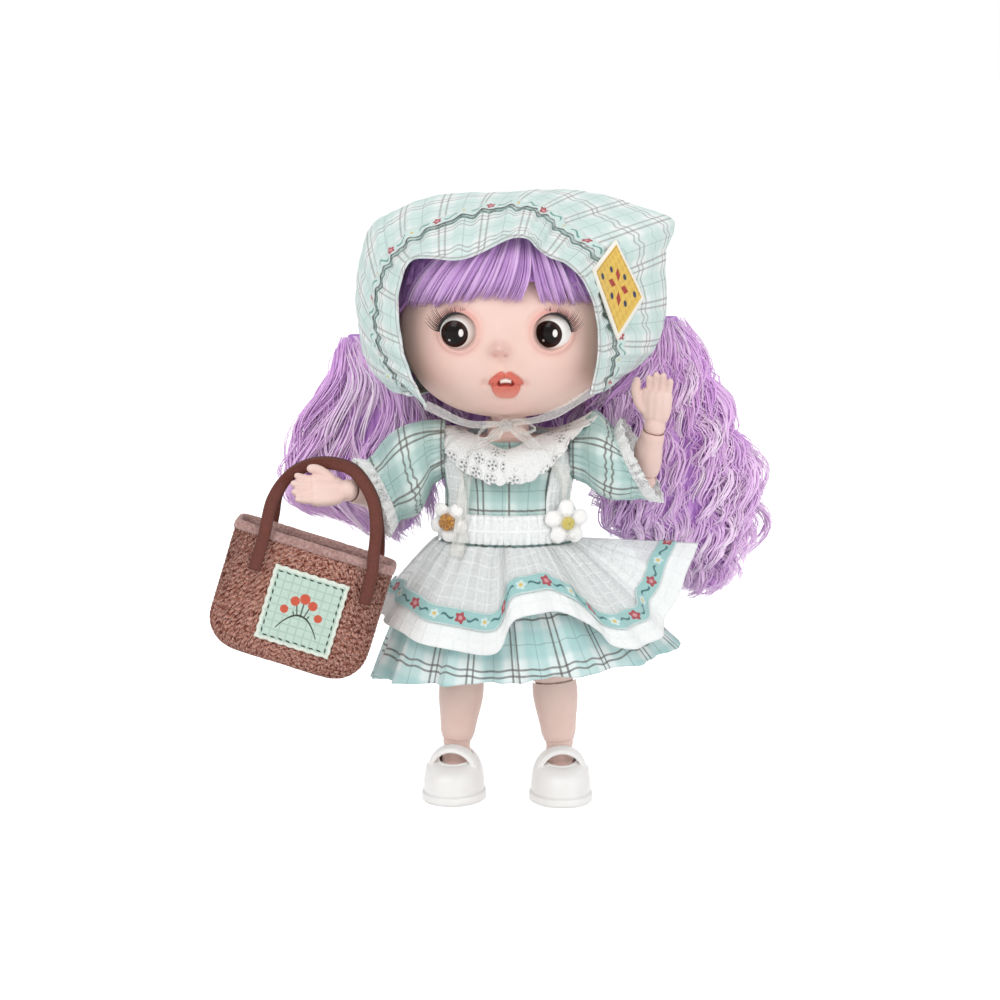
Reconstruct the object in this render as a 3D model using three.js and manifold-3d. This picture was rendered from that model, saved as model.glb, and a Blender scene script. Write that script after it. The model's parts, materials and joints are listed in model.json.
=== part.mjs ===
// Ball-jointed doll about 16 cm tall in a headscarf, dress and apron, carrying a tote bag.
// Millimetres, +Z up. The doll faces -Y and its own left side is +X.
// It stands on Z = 0, posed with the right hand holding the bag and the left hand raised.

import * as THREE from 'three';
import { mergeVertices } from 'three/addons/utils/BufferGeometryUtils.js';
import Module from 'manifold-3d';

const wasm = await Module();
wasm.setup();

// Shared clearances
const runGap = 0.3;
const overrun = 3;
const clothGap = 0.6;
const pinGap = 0.35;

// Place of the doll's own axis in the model frame, whose origin is under the middle of the whole
const axisX = 4.9;
const axisY = -0.2;

// Torso shell
const torsoBase = 50;
const torsoHeight = 48;
const torsoTop = torsoBase + torsoHeight;
const torsoHalfWidth = 17.6;
const torsoHalfDepth = 12.6;
const torsoWall = 2;
const torsoDeck = 2.6;
const cupWall = 1.6;
const legHoleMargin = 0.9;

// Head shell
const headWidth = 57;
const headHeight = 53.5;
const headDepth = 52;
const headY = -2;
const headLift = 5.6;
const headBase = torsoTop + headLift;
const headWall = 2.4;
const headSplitY = 5;
const jawPower = 2.35;
const skullPower = 2.05;
const eyeRadius = 5.6;
const eyeHoleRadius = 4.5;
const eyeSpacing = 25.4;
const eyeRise = 25.8;
const eyeHeight = headBase + eyeRise;
const eyeProud = 0.4;

// Neck, a ball between a cup on the post and a cup in the head
const neckBallRadius = 5.2;
const neckBallLift = 6.6;
const neckBallHeight = torsoTop + neckBallLift;
const neckY = 0;
const neckRadius = 5.7;
const neckCupAngle = 50;
const neckFlangeRadius = 6.6;
const neckFlangeThickness = 2;
const headSocketRadius = 8;
const headSocketHeight = 8.4;

// Arms
const shoulderX = 19.5;
const shoulderDrop = 3.5;
const shoulderZ = torsoTop - shoulderDrop;
const shoulderBallRadius = 4.6;
const upperArmLength = 18;
const upperArmRadius = 4.1;
const elbowBallRadius = 4;
const forearmLength = 15.5;
const forearmRadius = 3.9;
const wristRadius = 3.2;
const wristBallRadius = 2.9;
const armConeAngle = 38;
const palmLength = 8.6;
const palmWidth = 8;
const palmThickness = 4.6;
const fingerRadius = 1.25;
const fingerLength = 5.2;
const thumbLength = 6.6;
const thumbRadius = 1.3;

// Legs
const hipX = 10.5;
const hipRise = 3;
const hipZ = torsoBase + hipRise;
const hipBallRadius = 5.8;
const thighLength = 21;
const thighRadius = 6.1;
const kneeBallRadius = 5.4;
const kneeRadius = 5.9;
const shinLength = 17.2;
const calfRadius = 5.6;
const ankleRadius = 4.3;
const ankleBallRadius = 3.7;
const legConeAngle = 45;

// Tab and pin joints
const tabThickness = 2;
const tabShare = 0.6;
const tabNeckHalf = 1.3;
const pinRadius = 0.7;

// Joint ranges that the shapes make room for, in degrees
const raiseMin = 15;
const raiseMax = 150;
const elbowBendMax = 108;
const spreadMax = 45;
const spreadMin = -5;
const hipBack = 30;
const kneeBendMax = 92;
const bendMargin = 5;

// Feet and shoes
const footLength = 19;
const footWidth = 12.4;
const footHeight = 9;
const soleThickness = 2.4;
const shoeWall = 1.2;
const shoeTop = 10.4;
const strapHeight = 13.6;
const strapWidth = 2.6;
const strapThickness = 1;
const strapForward = 5.2;
const strapFootShare = 0.4;
const heelBack = 6.2;
const toeOutAngle = 8;

// Standing and arm pose of the photographed doll, in degrees, with directions as unit shares
const legSpread = 5;
const leftArmRaise = 64;
const leftArmSwing = 4;
const rightArmRaise = 40;
const rightArmSwing = 22;
const leftForearmShares = [0.21, -0.24, 0.95];
const leftHandShares = [0.05, -0.18, 0.98];
const leftPalmShares = [-0.35, -0.93, 0];
const rightForearmShares = [-0.66, -0.71, 0.24];
const rightHandShares = [-0.96, -0.26, 0.03];
const rightPalmShares = [0.1, -0.88, 0.46];

// Dress
const bodiceThickness = 0.9;
const waistRise = 20.8;
const waistHeight = torsoBase + waistRise;
const armholeRadius = 6.9;
const skirtDrop = 34.3;
const skirtHem = waistHeight - skirtDrop;
const skirtHalfWidth = 41;
const skirtHalfDepth = 27;
const skirtShiftX = 3.6;
const skirtRise = 3.4;
const skirtThickness = 0.9;
const pleatDepth = 1.9;
const pleatCount = 14;
const sleeveThickness = 0.9;
const sleeveHeadRadius = 7.3;
const sleeveStart = 19.4;
const sleevePuff = 3.2;
const leftCuffRadius = 10.7;
const rightCuffRadius = 9.7;
const collarThickness = 0.9;
const collarLift = 1.4;
const collarTop = torsoTop + collarLift;
const collarHalfWidth = 18.8;
const collarHalfDepth = 16;
const collarFrontDrop = 12;
const collarBackDrop = 8;
const collarBulge = 1.2;
const collarFlap = 7;

// Apron
const bandHeight = 7.4;
const bandThickness = 1;
const apronThickness = 0.8;
const apronDrop = 28;
const daisyRadius = 5.2;
const daisyHeartRadius = 2.6;
const daisyThickness = 1.6;
const daisySpacing = 30.6;
const daisyLift = 5.8;
const daisyHeight = waistHeight + daisyLift;
const daisyHeartRise = 1.2;
const petalCount = 5;

// Wig and headscarf
const capThickness = 0.9;
const bangThickness = 1.5;
const bangRise = 33.9;
const bangHeight = 11.5;
const bangFoot = headBase + bangRise;
const bangTop = bangFoot + bangHeight;
const hairThickness = 13;
const hairFrontY = 12.6;
const hairLift = 3.4;
const hairTop = headBase + hairLift;
const scarfHalfWidth = 43.5;
const scarfHeight = 60;
const scarfLift = 0.9;
const scarfFoot = headBase + scarfLift;
const scarfMidY = 4;
const scarfFront = 16.5;
const scarfBack = 28;
const scarfThickness = 1;
const seamAngle = 28;
const napeAngle = 44;
const brimReach = 26.5;
const brimWave = 0.9;
const brimWaves = 18;
const patchThickness = 0.6;
const tieWidth = 3;
const tieThickness = 0.6;
const bowWidth = 14;

// Tote bag
const bagWidth = 43;
const bagHeight = 32;
const bagDepth = 13;
const bagWall = 1.1;
const bagCorner = 9;
const bagTilt = 17;
const bagX = -49.6;
const bagY = -20.5;
const bagDrop = 23.5;
const bagRimZ = shoulderZ - bagDrop;
const rimHeight = 1.8;
const rimThickness = 0.8;
const handleSpan = 30;
const handleRise = 22;
const handleWidth = 3.6;
const handleThickness = 1.1;
const fittingShift = 1.9;
const labelSize = 20.2;
const labelThickness = 0.6;

// Facets
const headColumns = 28;
const headRows = 16;
const crowdShare = 0.32;
const limbSides = 12;
const ballSides = 12;
const smallSides = 8;
const torsoSides = 18;
const footSides = 10;
const stickSides = 6;
const palmSides = 10;
const strapSteps = 12;
const postSteps = 6;

// Outlines and routes as shares, chosen by eye
const rootRoundShare = 0.6;
const tipRoundShare = 0.5;
const palmStartShare = 0.7;
const fingerShares = [-0.36, -0.12, 0.12, 0.36];
const fingerReachShares = [0.8, 1, 0.96, 0.82];
const fingerRootShare = 0.72;
const fingerCurlShare = 0.22;
const fingertipShare = 0.8;
const rootFanShare = 0.9;
const tipFanShare = 1.25;
const thumbRootShares = [0.25, 0.1, 0.3];
const thumbTipShares = [0.72, 0.35];
const footSquareShare = 0.55;
const ankleNeckShare = 0.8;
const thighFullShare = 0.55;
const calfShare = 0.35;
const socketLipShare = 0.1;
const mouthFrontShare = 0.42;
const mouthWidthShare = 0.86;
const mouthBackInset = 1;
const bodiceLiftShare = 0.6;
const armholeInner = 12.4;
const skirtFlareShare = 0.85;
const skirtRows = 5;
const apronRows = 4;
const apronColumns = 34;
const apronHalfAngle = 100;
const apronFlare = 28;
const apronFolds = 7;
const foldDepth = 2;
const strapTurn = 50;
const strapHalfTurn = 10;
const petalShare = 0.26;
const petalEdgeShare = 0.86;
const heartShare = 0.7;
const petalSteps = 4;
const daisyStandOff = 2.7;
const daisyTurn = 20;
const leftCuffShares = [[0.76, -0.05, -0.22], [0.887, -0.05, 0.46]];
const rightCuffShares = [[-0.8, -0.2, -0.66], [-0.87, -0.3, -0.39]];
const sleeveSides = 14;
const sleeveGatherShare = 1.15;
const sleeveRowShares = [0, 0.3, 0.6, 0.85, 1];
const collarRowShares = [0, 0.35, 0.7, 1];
const clothSides = 24;
const collarSagShare = 1.4;
const flapTurn = 72;
const flapSpread = 24;
const flapOutShare = 0.3;
const capSides = 18;
const capRows = 5;
const capGap = 1.2;
const capBackRise = -42;
const capFrontRise = 26;
const capTopRise = 80;
const bangColumns = 14;
const bangHalfAngle = 50;
const hairReach = 64;
const hairSquareShare = 0.7;
const hairLeftShares = [
  [1.2, 0.665, 0.7, 0, 0.4],
  [1.1, 0.645, 0.81, 0, 0.7],
  [1, 0.48, 0.87, 0, 1],
  [0.9, 0.35, 0.96, 0, 1],
  [0.81, 0.357, 1.02, 0, 1],
  [0.71, 0.38, 1.05, 0, 1],
  [0.62, 0.48, 1.04, 0, 1],
  [0.53, 0.62, 1, 0, 0.9],
  [0.475, 0.72, 0.9, 0.1, 0.6],
];
const hairRightShares = [
  [1.15, -0.69, -0.66, 0, 0.4],
  [1.08, -0.74, -0.63, 0, 0.7],
  [1, -0.8, -0.48, 0, 1],
  [0.9, -0.9, -0.331, 0, 1],
  [0.82, -0.97, -0.323, 0, 1],
  [0.74, -0.93, -0.32, 0, 1],
  [0.67, -0.72, -0.33, 0, 1],
  [0.61, -0.55, -0.36, 0, 0.8],
];
const hairBackShares = [
  [1.034, -0.16, 0.16, 0.5, 0.24],
  [1, -0.22, 0.23, 0.4, 0.5],
  [0.9, -0.341, 0.361, 0.34, 0.66],
  [0.8, -0.335, 0.369, 0.3, 0.7],
  [0.69, -0.28, 0.32, 0.37, 0.6],
];
const scarfShares = [
  [1, 0.45], [0.97, 0.7], [1.02, 0.85], [0.8, 0.92], [0.42, 0.975], [0.04, 0.99],
  [-0.36, 0.965], [-0.68, 0.9], [-0.86, 0.84], [-0.92, 0.68], [-0.97, 0.45], [-0.93, 0.26],
  [-0.78, 0.11], [-0.5, 0.03], [0, 0], [0.45, 0.045], [0.74, 0.15], [0.91, 0.28],
];
const scarfColumns = 32;
const scarfRows = 6;
const scarfPoleAngle = 78;
const napeInner = 30;
const napeOuter = 58;
const brimColumns = 36;
const brimRows = 2;
const brimForwardShare = 0.86;
const brimLean = 9;
const brimBulge = 1.2;
const brimStart = 0.868;
const brimEnd = 1.66;
const brimShares = [
  [0.86, 0.13], [0.93, 0.3], [0.91, 0.47], [0.76, 0.64], [0.42, 0.73], [0.2, 0.8],
  [-0.3, 0.73], [-0.84, 0.72], [-1.02, 0.58], [-1.05, 0.36], [-0.98, 0.18], [-0.82, 0.07],
];
const knotForwardShare = 0.28;
const knotDrop = 0.42;
const knotShare = 0.6;
const tieStartShare = 0.06;
const bowEndShares = [[-0.5, -0.13], [0.5, -0.04], [-0.2, -0.8], [0.8, -0.75]];
const patchRows = [0.15, 1, 1.85];
const patchColumns = [5.4, 6, 7, 8, 8.6];
const bagColumns = 16;
const bagFootShare = 0.35;
const bagSquareShare = 0.35;
const bagRowShares = [0, 0.4, 0.74, 0.86, 0.94, 0.985, 1];
const handleSteps = 24;
const handleShares = [
  [-1, -0.41], [-1, 0], [-1.02, 0.16], [-1.06, 0.43], [-0.92, 0.7], [-0.6, 0.9], [-0.2, 0.99],
  [0.14, 0.985], [0.58, 0.76], [0.8, 0.47], [0.92, 0.16], [0.97, 0], [1, -0.41],
];
const frontHandleShares = [-1, -1.02, -0.98, -0.34, 0.6, 0.76, 0.6, 0.34, 0, -0.4, -0.98, -1.02, -1];
const backHandleShares = [1, 1.02, 1.02, 1, 1, 0.99, 0.83, 0.57, 0.26, 0.3, 0.98, 1.02, 1];

const radians = THREE.MathUtils.degToRad;
const lerp = THREE.MathUtils.lerp;
const smoothstep = THREE.MathUtils.smoothstep;
const vec = (x, y, z) => new THREE.Vector3(x, y, z);
const steps = (count) => Array.from({ length: count + 1 }, (_, i) => i / count);

// Faces of an indexed body are turned so that its volume is positive.
function bodyFrom(points, faces) {
  let volume = 0;
  for (const [a, b, c] of faces) {
    volume += points[a].dot(points[b].clone().cross(points[c]));
  }
  const turned = volume < 0 ? faces.map(([a, b, c]) => [a, c, b]) : faces;
  const geometry = new THREE.BufferGeometry();
  geometry.setAttribute('position', new THREE.Float32BufferAttribute(points.flatMap((p) => p.toArray()), 3));
  geometry.setIndex(turned.flat());
  return geometry;
}

function quad(faces, a, b, c, d) {
  faces.push([a, b, c], [a, c, d]);
}

const mean = (list) => list.reduce((sum, p) => sum.add(p), vec(0, 0, 0)).divideScalar(list.length);

// A sheet with a thickness: two grids of points, rows by columns, joined at their edges.
function sheetBody(front, back, wraps = false, shut = false) {
  const rows = front.length;
  const columns = front[0].length;
  const points = [...front.flat(), ...back.flat()];
  const faces = [];
  const at = (side, i, j) => side * rows * columns + i * columns + (j % columns);
  const spans = wraps ? columns : columns - 1;
  for (let i = 0; i < rows - 1; i += 1) {
    for (let j = 0; j < spans; j += 1) {
      quad(faces, at(0, i, j), at(0, i, j + 1), at(0, i + 1, j + 1), at(0, i + 1, j));
      quad(faces, at(1, i, j), at(1, i + 1, j), at(1, i + 1, j + 1), at(1, i, j + 1));
    }
  }
  const poles = [front, back].map((grid) => mean(grid[rows - 1]));
  for (let j = 0; j < spans; j += 1) {
    quad(faces, at(0, 0, j), at(1, 0, j), at(1, 0, j + 1), at(0, 0, j + 1));
    if (shut) {
      faces.push([at(0, rows - 1, j), at(0, rows - 1, j + 1), points.length]);
      faces.push([at(1, rows - 1, j + 1), at(1, rows - 1, j), points.length + 1]);
    } else {
      quad(faces, at(0, rows - 1, j), at(0, rows - 1, j + 1), at(1, rows - 1, j + 1), at(1, rows - 1, j));
    }
  }
  if (shut) points.push(...poles);
  if (!wraps) {
    for (let i = 0; i < rows - 1; i += 1) {
      quad(faces, at(0, i, 0), at(0, i + 1, 0), at(1, i + 1, 0), at(1, i, 0));
      quad(faces, at(0, i, spans), at(1, i, spans), at(1, i + 1, spans), at(0, i + 1, spans));
    }
  }
  return bodyFrom(points, faces);
}

// A solid through closed rings of points, shut at both ends by a fan.
function loftBody(rings) {
  const columns = rings[0].length;
  const points = rings.flat();
  const faces = [];
  for (let i = 0; i < rings.length - 1; i += 1) {
    for (let j = 0; j < columns; j += 1) {
      const k = (j + 1) % columns;
      quad(faces, i * columns + j, i * columns + k, (i + 1) * columns + k, (i + 1) * columns + j);
    }
  }
  for (const end of [0, rings.length - 1]) {
    points.push(mean(rings[end]));
    for (let j = 0; j < columns; j += 1) {
      const k = (j + 1) % columns;
      const edge = [end * columns + j, end * columns + k];
      faces.push(end === 0 ? [edge[1], edge[0], points.length - 1] : [edge[0], edge[1], points.length - 1]);
    }
  }
  return bodyFrom(points, faces);
}

// Moves every point of a sheet's grid outward by an amount, along directions that a function gives.
const shifted = (grid, move) => grid.map((row, i) => row.map((p, j) => p.clone().add(move(p, i, j))));

// Normals of a grid of points from the differences of its neighbours.
function gridNormals(grid, wraps, flip = 1) {
  const rows = grid.length;
  const columns = grid[0].length;
  return grid.map((row, i) => row.map((p, j) => {
    const left = wraps ? row[(j + columns - 1) % columns] : row[Math.max(j - 1, 0)];
    const right = wraps ? row[(j + 1) % columns] : row[Math.min(j + 1, columns - 1)];
    const over = grid[Math.max(i - 1, 0)][j];
    const under = grid[Math.min(i + 1, rows - 1)][j];
    return right.clone().sub(left).cross(under.clone().sub(over)).normalize().multiplyScalar(flip);
  }));
}

function thickened(grid, thickness, wraps, flip = 1) {
  const normals = gridNormals(grid, wraps, flip);
  return sheetBody(grid, shifted(grid, (p, i, j) => normals[i][j].clone().multiplyScalar(thickness)), wraps);
}

// Booleans
function toSolid(geometry) {
  const plain = geometry.clone();
  plain.deleteAttribute('normal');
  plain.deleteAttribute('uv');
  const merged = mergeVertices(plain);
  return new wasm.Manifold(new wasm.Mesh({
    numProp: 3,
    vertProperties: Float32Array.from(merged.attributes.position.array),
    triVerts: Uint32Array.from(merged.index.array),
  }));
}

function fromSolid(solid) {
  const { vertProperties, triVerts } = solid.getMesh();
  const geometry = new THREE.BufferGeometry();
  geometry.setAttribute('position', new THREE.Float32BufferAttribute(vertProperties, 3));
  geometry.setIndex(Array.from(triVerts));
  return geometry;
}

function box(width, depth, height, x = 0, y = 0, z = 0) {
  return toSolid(new THREE.BoxGeometry(width, depth, height).translate(x, y, z));
}

function ball(radius, x = 0, y = 0, z = 0, sides = ballSides) {
  return toSolid(new THREE.SphereGeometry(radius, sides, sides / 2).rotateX(Math.PI / 2).translate(x, y, z));
}

// The hollow that a ball of this radius turns in: its flats clear the ball's corners.
function seat(radius, x = 0, y = 0, z = 0) {
  const flatShare = Math.cos(Math.PI / ballSides) ** 2;
  return ball((radius + runGap) / flatShare, x, y, z);
}

// A cylinder along X, Y or Z
function rod(radius, length, axis, x = 0, y = 0, z = 0, sides = limbSides) {
  const geometry = new THREE.CylinderGeometry(radius, radius, length, sides);
  if (axis === 'x') geometry.rotateZ(Math.PI / 2);
  if (axis === 'z') geometry.rotateX(Math.PI / 2);
  return toSolid(geometry.translate(x, y, z));
}

// A body turned about Z from [radius, height] pairs
function turned(pairs, sides = limbSides) {
  const profile = pairs.map(([r, z]) => new THREE.Vector2(r, z));
  return new THREE.LatheGeometry(profile, sides).rotateX(Math.PI / 2);
}

// Finishes
const finish = (color, roughness, metalness = 0) => ({ color, roughness, metalness });
const skin = finish(0xecd0c8, 0.5);
const skinShade = finish(0xe2c0b6, 0.5);
const eyeGloss = finish(0x2a1a14, 0.1);
const steel = finish(0xb8b8bc, 0.35, 0.9);
const hair = finish(0xb87ed2, 0.6);
const plaid = finish(0xbcdcd4, 0.9);
const lace = finish(0xf4f2ee, 0.95);
const gauze = finish(0xeef2f0, 0.9);
const patchCloth = finish(0xe2bf5a, 0.85);
const shoeVinyl = finish(0xf6f4f2, 0.35);
const tweed = finish(0x8c6256, 0.95);
const strapLeather = finish(0x6a3424, 0.5);
const bindingCloth = finish(0xa8978a, 0.9);
const labelCloth = finish(0xb4d4c6, 0.9);
const daisyFelt = finish(0xf8f8f6, 0.9);

const doll = new THREE.Group();
doll.position.set(axisX, axisY, 0);

// Adds one named piece to a parent group.
function piece(name, geometry, look, parent = doll) {
  const mesh = new THREE.Mesh(geometry, new THREE.MeshStandardMaterial(look));
  mesh.name = name;
  parent.add(mesh);
  return mesh;
}

// A group whose local -Z runs along one direction and whose local X is a hinge axis.
function aimed(centre, down, hinge) {
  const group = new THREE.Group();
  const up = down.clone().negate().normalize();
  const side = hinge.clone().normalize();
  const basis = new THREE.Matrix4().makeBasis(side, up.clone().cross(side), up);
  group.quaternion.setFromRotationMatrix(basis);
  group.position.copy(centre);
  doll.add(group);
  return group;
}

// Head shell. Angle 0 faces -Y and grows toward +X; the second angle is the height above the middle.
const headMiddle = headBase + headHeight / 2;

// Soft bumps of the face as shares of the head: side, rise, reach and push toward the front.
const faceShares = [
  [0, -0.27, 0.1, 0.095],
  [0, -0.58, 0.16, 0.05],
  [0, -0.9, 0.2, 0.05],
  [-0.5, -0.46, 0.3, 0.05],
  [0.5, -0.46, 0.3, 0.05],
  [-0.445, -0.12, 0.19, -0.05],
  [0.445, -0.12, 0.19, -0.05],
];

function headPoint(around, rise, grow = 0, modelled = true) {
  const up = Math.sin(rise);
  const power = up < 0 ? jawPower : skullPower;
  const spread = Math.max(0, 1 - Math.abs(up) ** power) ** (1 / power);
  const x = (headWidth / 2 + grow) * spread * Math.sin(around);
  const z = headMiddle + (headHeight / 2 + grow) * up;
  let y = -(headDepth / 2 + grow) * spread * Math.cos(around);
  if (modelled && Math.cos(around) > 0) {
    for (const [side, lift, reach, push] of faceShares) {
      const away = Math.hypot(x / (headWidth / 2) - side, (z - headMiddle) / (headHeight / 2) - lift) / reach;
      y -= push * (headDepth / 2) * Math.exp(-away * away) * Math.cos(around);
    }
  }
  return vec(x, y + headY, z);
}

function headBody(grow, columns, rows, modelled) {
  const rings = steps(rows).slice(1, -1).map((v) => steps(columns).slice(1).map((u) => {
    const turn = (u - 0.5) * 2 * Math.PI;
    return headPoint(turn - crowdShare * Math.sin(turn), (v - 0.5) * Math.PI, grow, modelled);
  }));
  return loftBody(rings);
}

// Front surface of the head at a place on the face
function faceDepth(x, z, grow = 0) {
  const up = (z - headMiddle) / (headHeight / 2 + grow);
  const rise = Math.asin(THREE.MathUtils.clamp(up, -1, 1));
  const power = up < 0 ? jawPower : skullPower;
  const spread = Math.max(0, 1 - Math.abs(up) ** power) ** (1 / power);
  const share = THREE.MathUtils.clamp(x / ((headWidth / 2 + grow) * spread), -1, 1);
  return headPoint(Math.asin(share), rise, grow).y;
}

const eyeY = faceDepth(eyeSpacing / 2, eyeHeight) + eyeRadius - eyeProud;

function makeHead() {
  let shell = toSolid(headBody(0, headColumns, headRows, true));
  shell = shell.subtract(toSolid(headBody(-headWall, headColumns / 2, headRows / 2, false)));
  const half = headDepth + overrun;
  const cutDepth = half - headSplitY;
  const halfBox = (sign) => box(
    headWidth + overrun, cutDepth + headSplitY * 2, headHeight + 2 * overrun,
    0, headSplitY + runGap / 2 + sign * (cutDepth / 2 + headSplitY + runGap / 2), headMiddle,
  );
  const socketBase = neckBallHeight - neckBallRadius * socketLipShare;
  const socketTop = socketBase + headSocketHeight;
  const socket = rod(headSocketRadius, headSocketHeight, 'z', 0, neckY, (socketBase + socketTop) / 2);
  const room = rod(
    headSocketRadius + runGap, headSocketHeight + 2 * overrun, 'z',
    0, neckY, socketTop + runGap - headSocketHeight / 2 - overrun,
  );
  let face = shell.intersect(halfBox(-1)).subtract(room);
  for (const side of [-1, 1]) {
    const x = side * eyeSpacing / 2;
    face = face.subtract(ball(eyeRadius + runGap, x, eyeY, eyeHeight));
    face = face.subtract(rod(eyeHoleRadius, headDepth / 2, 'y', x, eyeY - headDepth / 4, eyeHeight));
    piece(side < 0 ? 'eye_right' : 'eye_left', fromSolid(ball(eyeRadius, x, eyeY, eyeHeight)), eyeGloss);
  }
  const back = shell.intersect(halfBox(1)).add(socket).subtract(seat(neckBallRadius, 0, neckY, neckBallHeight));
  piece('head_face', fromSolid(face), skin);
  piece('head_back', fromSolid(back), skinShade);
}

// Torso sections as shares of its height, half width and half depth, and a push forward.
const torsoShares = [
  [0, 0.42, 0.5, 0],
  [0.04, 0.7, 0.76, 0],
  [0.12, 0.94, 0.95, 0],
  [0.25, 0.97, 1.02, 0.04],
  [0.42, 0.92, 1, 0.06],
  [0.58, 0.87, 0.95, 0.03],
  [0.72, 0.88, 0.88, 0],
  [0.84, 0.97, 0.78, 0],
  [0.93, 0.98, 0.68, 0],
  [0.97, 0.78, 0.6, 0],
  [1, 0.5, 0.62, 0],
];

function torsoSection(share) {
  const last = torsoShares.length - 1;
  const k = Math.min(last - 1, Math.max(0, torsoShares.findIndex((row) => row[0] > share) - 1));
  const index = share >= 1 ? last - 1 : k;
  const [a, b] = [torsoShares[index], torsoShares[index + 1]];
  const t = THREE.MathUtils.clamp((share - a[0]) / (b[0] - a[0]), 0, 1);
  return [1, 2, 3].map((i) => lerp(a[i], b[i], t));
}

// A point round the torso; angle 0 faces -Y and grows toward +X.
function torsoPoint(turn, height, grow, lift = 0) {
  const [wide, deep, push] = torsoSection((height - torsoBase) / torsoHeight);
  const x = (torsoHalfWidth * wide + grow) * Math.sin(turn);
  const y = -(torsoHalfDepth * deep + grow) * Math.cos(turn) - torsoHalfDepth * push;
  return vec(x, y, height + lift);
}

function torsoRing(height, grow, columns, lift = 0) {
  return steps(columns).slice(1).map((u) => torsoPoint(u * 2 * Math.PI, height, grow, lift));
}

const capHeight = (share) => torsoBase + torsoHeight * share;

// Room that a thigh sweeps from behind to straight forward, beside the crotch
function thighRoom(side) {
  const reach = thighRadius + legHoleMargin;
  const far = torsoHeight;
  const back = radians(hipBack);
  const corner = (along, out) => [
    Math.sin(back) * along + Math.cos(back) * out,
    -Math.cos(back) * along + Math.sin(back) * out,
  ];
  const outline = [
    [0, 0], [-reach, reach], [-far, reach], [-far, -far], [far, -far],
    corner(far, reach), corner(reach, reach),
  ];
  const shape = new THREE.Shape(outline.map(([y, z]) => new THREE.Vector2(y, z)));
  const geometry = new THREE.ExtrudeGeometry(shape, { depth: far, bevelEnabled: false });
  const basis = new THREE.Matrix4().makeBasis(vec(0, 1, 0), vec(0, 0, 1), vec(1, 0, 0));
  geometry.applyMatrix4(basis);
  geometry.translate(hipX - reach, 0, hipZ);
  const room = toSolid(geometry);
  return side > 0 ? room : room.mirror([1, 0, 0]);
}

function makeTorso() {
  const columns = torsoSides;
  const outer = toSolid(loftBody(torsoShares.map((row) => torsoRing(capHeight(row[0]), 0, columns))));
  const innerTop = torsoTop - torsoDeck;
  const innerHeights = torsoShares.slice(2, -2).map((row) => capHeight(row[0]));
  const innerRings = [...innerHeights, innerTop].map((z) => torsoRing(z, -torsoWall, torsoSides * 2 / 3));
  const inner = toSolid(loftBody(innerRings));
  let body = outer.subtract(inner);
  for (const side of [-1, 1]) {
    const seats = [
      [shoulderBallRadius, side * shoulderX, shoulderZ],
      [hipBallRadius, side * hipX, hipZ],
    ];
    for (const [radius, x, z] of seats) {
      body = body.add(seat(radius + cupWall, x, 0, z).intersect(outer));
      body = body.subtract(seat(radius, x, 0, z));
    }
    body = body.subtract(thighRoom(side));
  }
  body = body.subtract(rod(neckRadius + runGap, 2 * torsoDeck + overrun, 'z', 0, neckY, torsoTop));
  const flangeTop = innerTop - runGap;
  const flangeRoom = neckFlangeThickness + 2 * runGap;
  body = body.subtract(rod(neckFlangeRadius + runGap, flangeRoom, 'z', 0, neckY, innerTop - flangeRoom / 2));
  const half = 2 * torsoHalfDepth;
  for (const [name, sign] of [['torso_front', -1], ['torso_back', 1]]) {
    const cut = box(
      3 * torsoHalfWidth, half, 2 * torsoHeight,
      0, sign * (half / 2 + runGap / 2), torsoBase + torsoHeight / 2,
    );
    piece(name, fromSolid(body.intersect(cut)), sign < 0 ? skin : skinShade);
  }
  const cupEdge = (neckBallRadius + runGap) * Math.sin(radians(neckCupAngle));
  const cupZ = neckBallHeight - (neckBallRadius + runGap) * Math.cos(radians(neckCupAngle));
  const post = turned([
    [0, flangeTop - neckFlangeThickness],
    [neckFlangeRadius, flangeTop - neckFlangeThickness],
    [neckFlangeRadius, flangeTop],
    [neckRadius, flangeTop],
    [neckRadius, cupZ - (neckRadius - cupEdge)],
    [cupEdge, cupZ],
    [0, cupZ],
  ]).translate(0, neckY, 0);
  const cup = seat(neckBallRadius, 0, neckY, neckBallHeight);
  piece('neck_post', fromSolid(toSolid(post).subtract(cup)), skin);
  piece('neck_ball', fromSolid(ball(neckBallRadius, 0, neckY, neckBallHeight)), skinShade);
}

// A ball with a slot in which a tab swings from local -Z toward +Y about X.
function slottedBall(radius, from, to, drilled) {
  const halfNeck = tabNeckHalf + runGap;
  const far = 2 * radius;
  const direction = (angle) => [Math.sin(angle), -Math.cos(angle)];
  const normal = (angle) => [Math.cos(angle), Math.sin(angle)];
  const place = (angle, along, out) => new THREE.Vector2(
    direction(angle)[0] * along + normal(angle)[0] * out,
    direction(angle)[1] * along + normal(angle)[1] * out,
  );
  const [start, end] = [radians(from - bendMargin), radians(to + bendMargin)];
  const arc = steps(postSteps).map((t) => place(lerp(start, end, t), far, 0));
  const outline = [
    place(start, 0, -halfNeck), place(start, far, -halfNeck), ...arc.slice(1, -1),
    place(end, far, halfNeck), place(end, 0, halfNeck),
  ];
  const slotWidth = tabThickness + 2 * runGap;
  const fan = new THREE.ExtrudeGeometry(new THREE.Shape(outline), { depth: slotWidth, bevelEnabled: false });
  fan.applyMatrix4(new THREE.Matrix4().makeBasis(vec(0, 1, 0), vec(0, 0, 1), vec(1, 0, 0)));
  fan.translate(-slotWidth / 2, 0, 0);
  let body = ball(radius).subtract(toSolid(fan));
  body = body.subtract(rod(radius * tabShare + runGap, slotWidth, 'x'));
  if (drilled) body = body.subtract(rod(pinRadius + pinGap, 3 * radius, 'x', 0, 0, 0, smallSides));
  return body;
}

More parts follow.
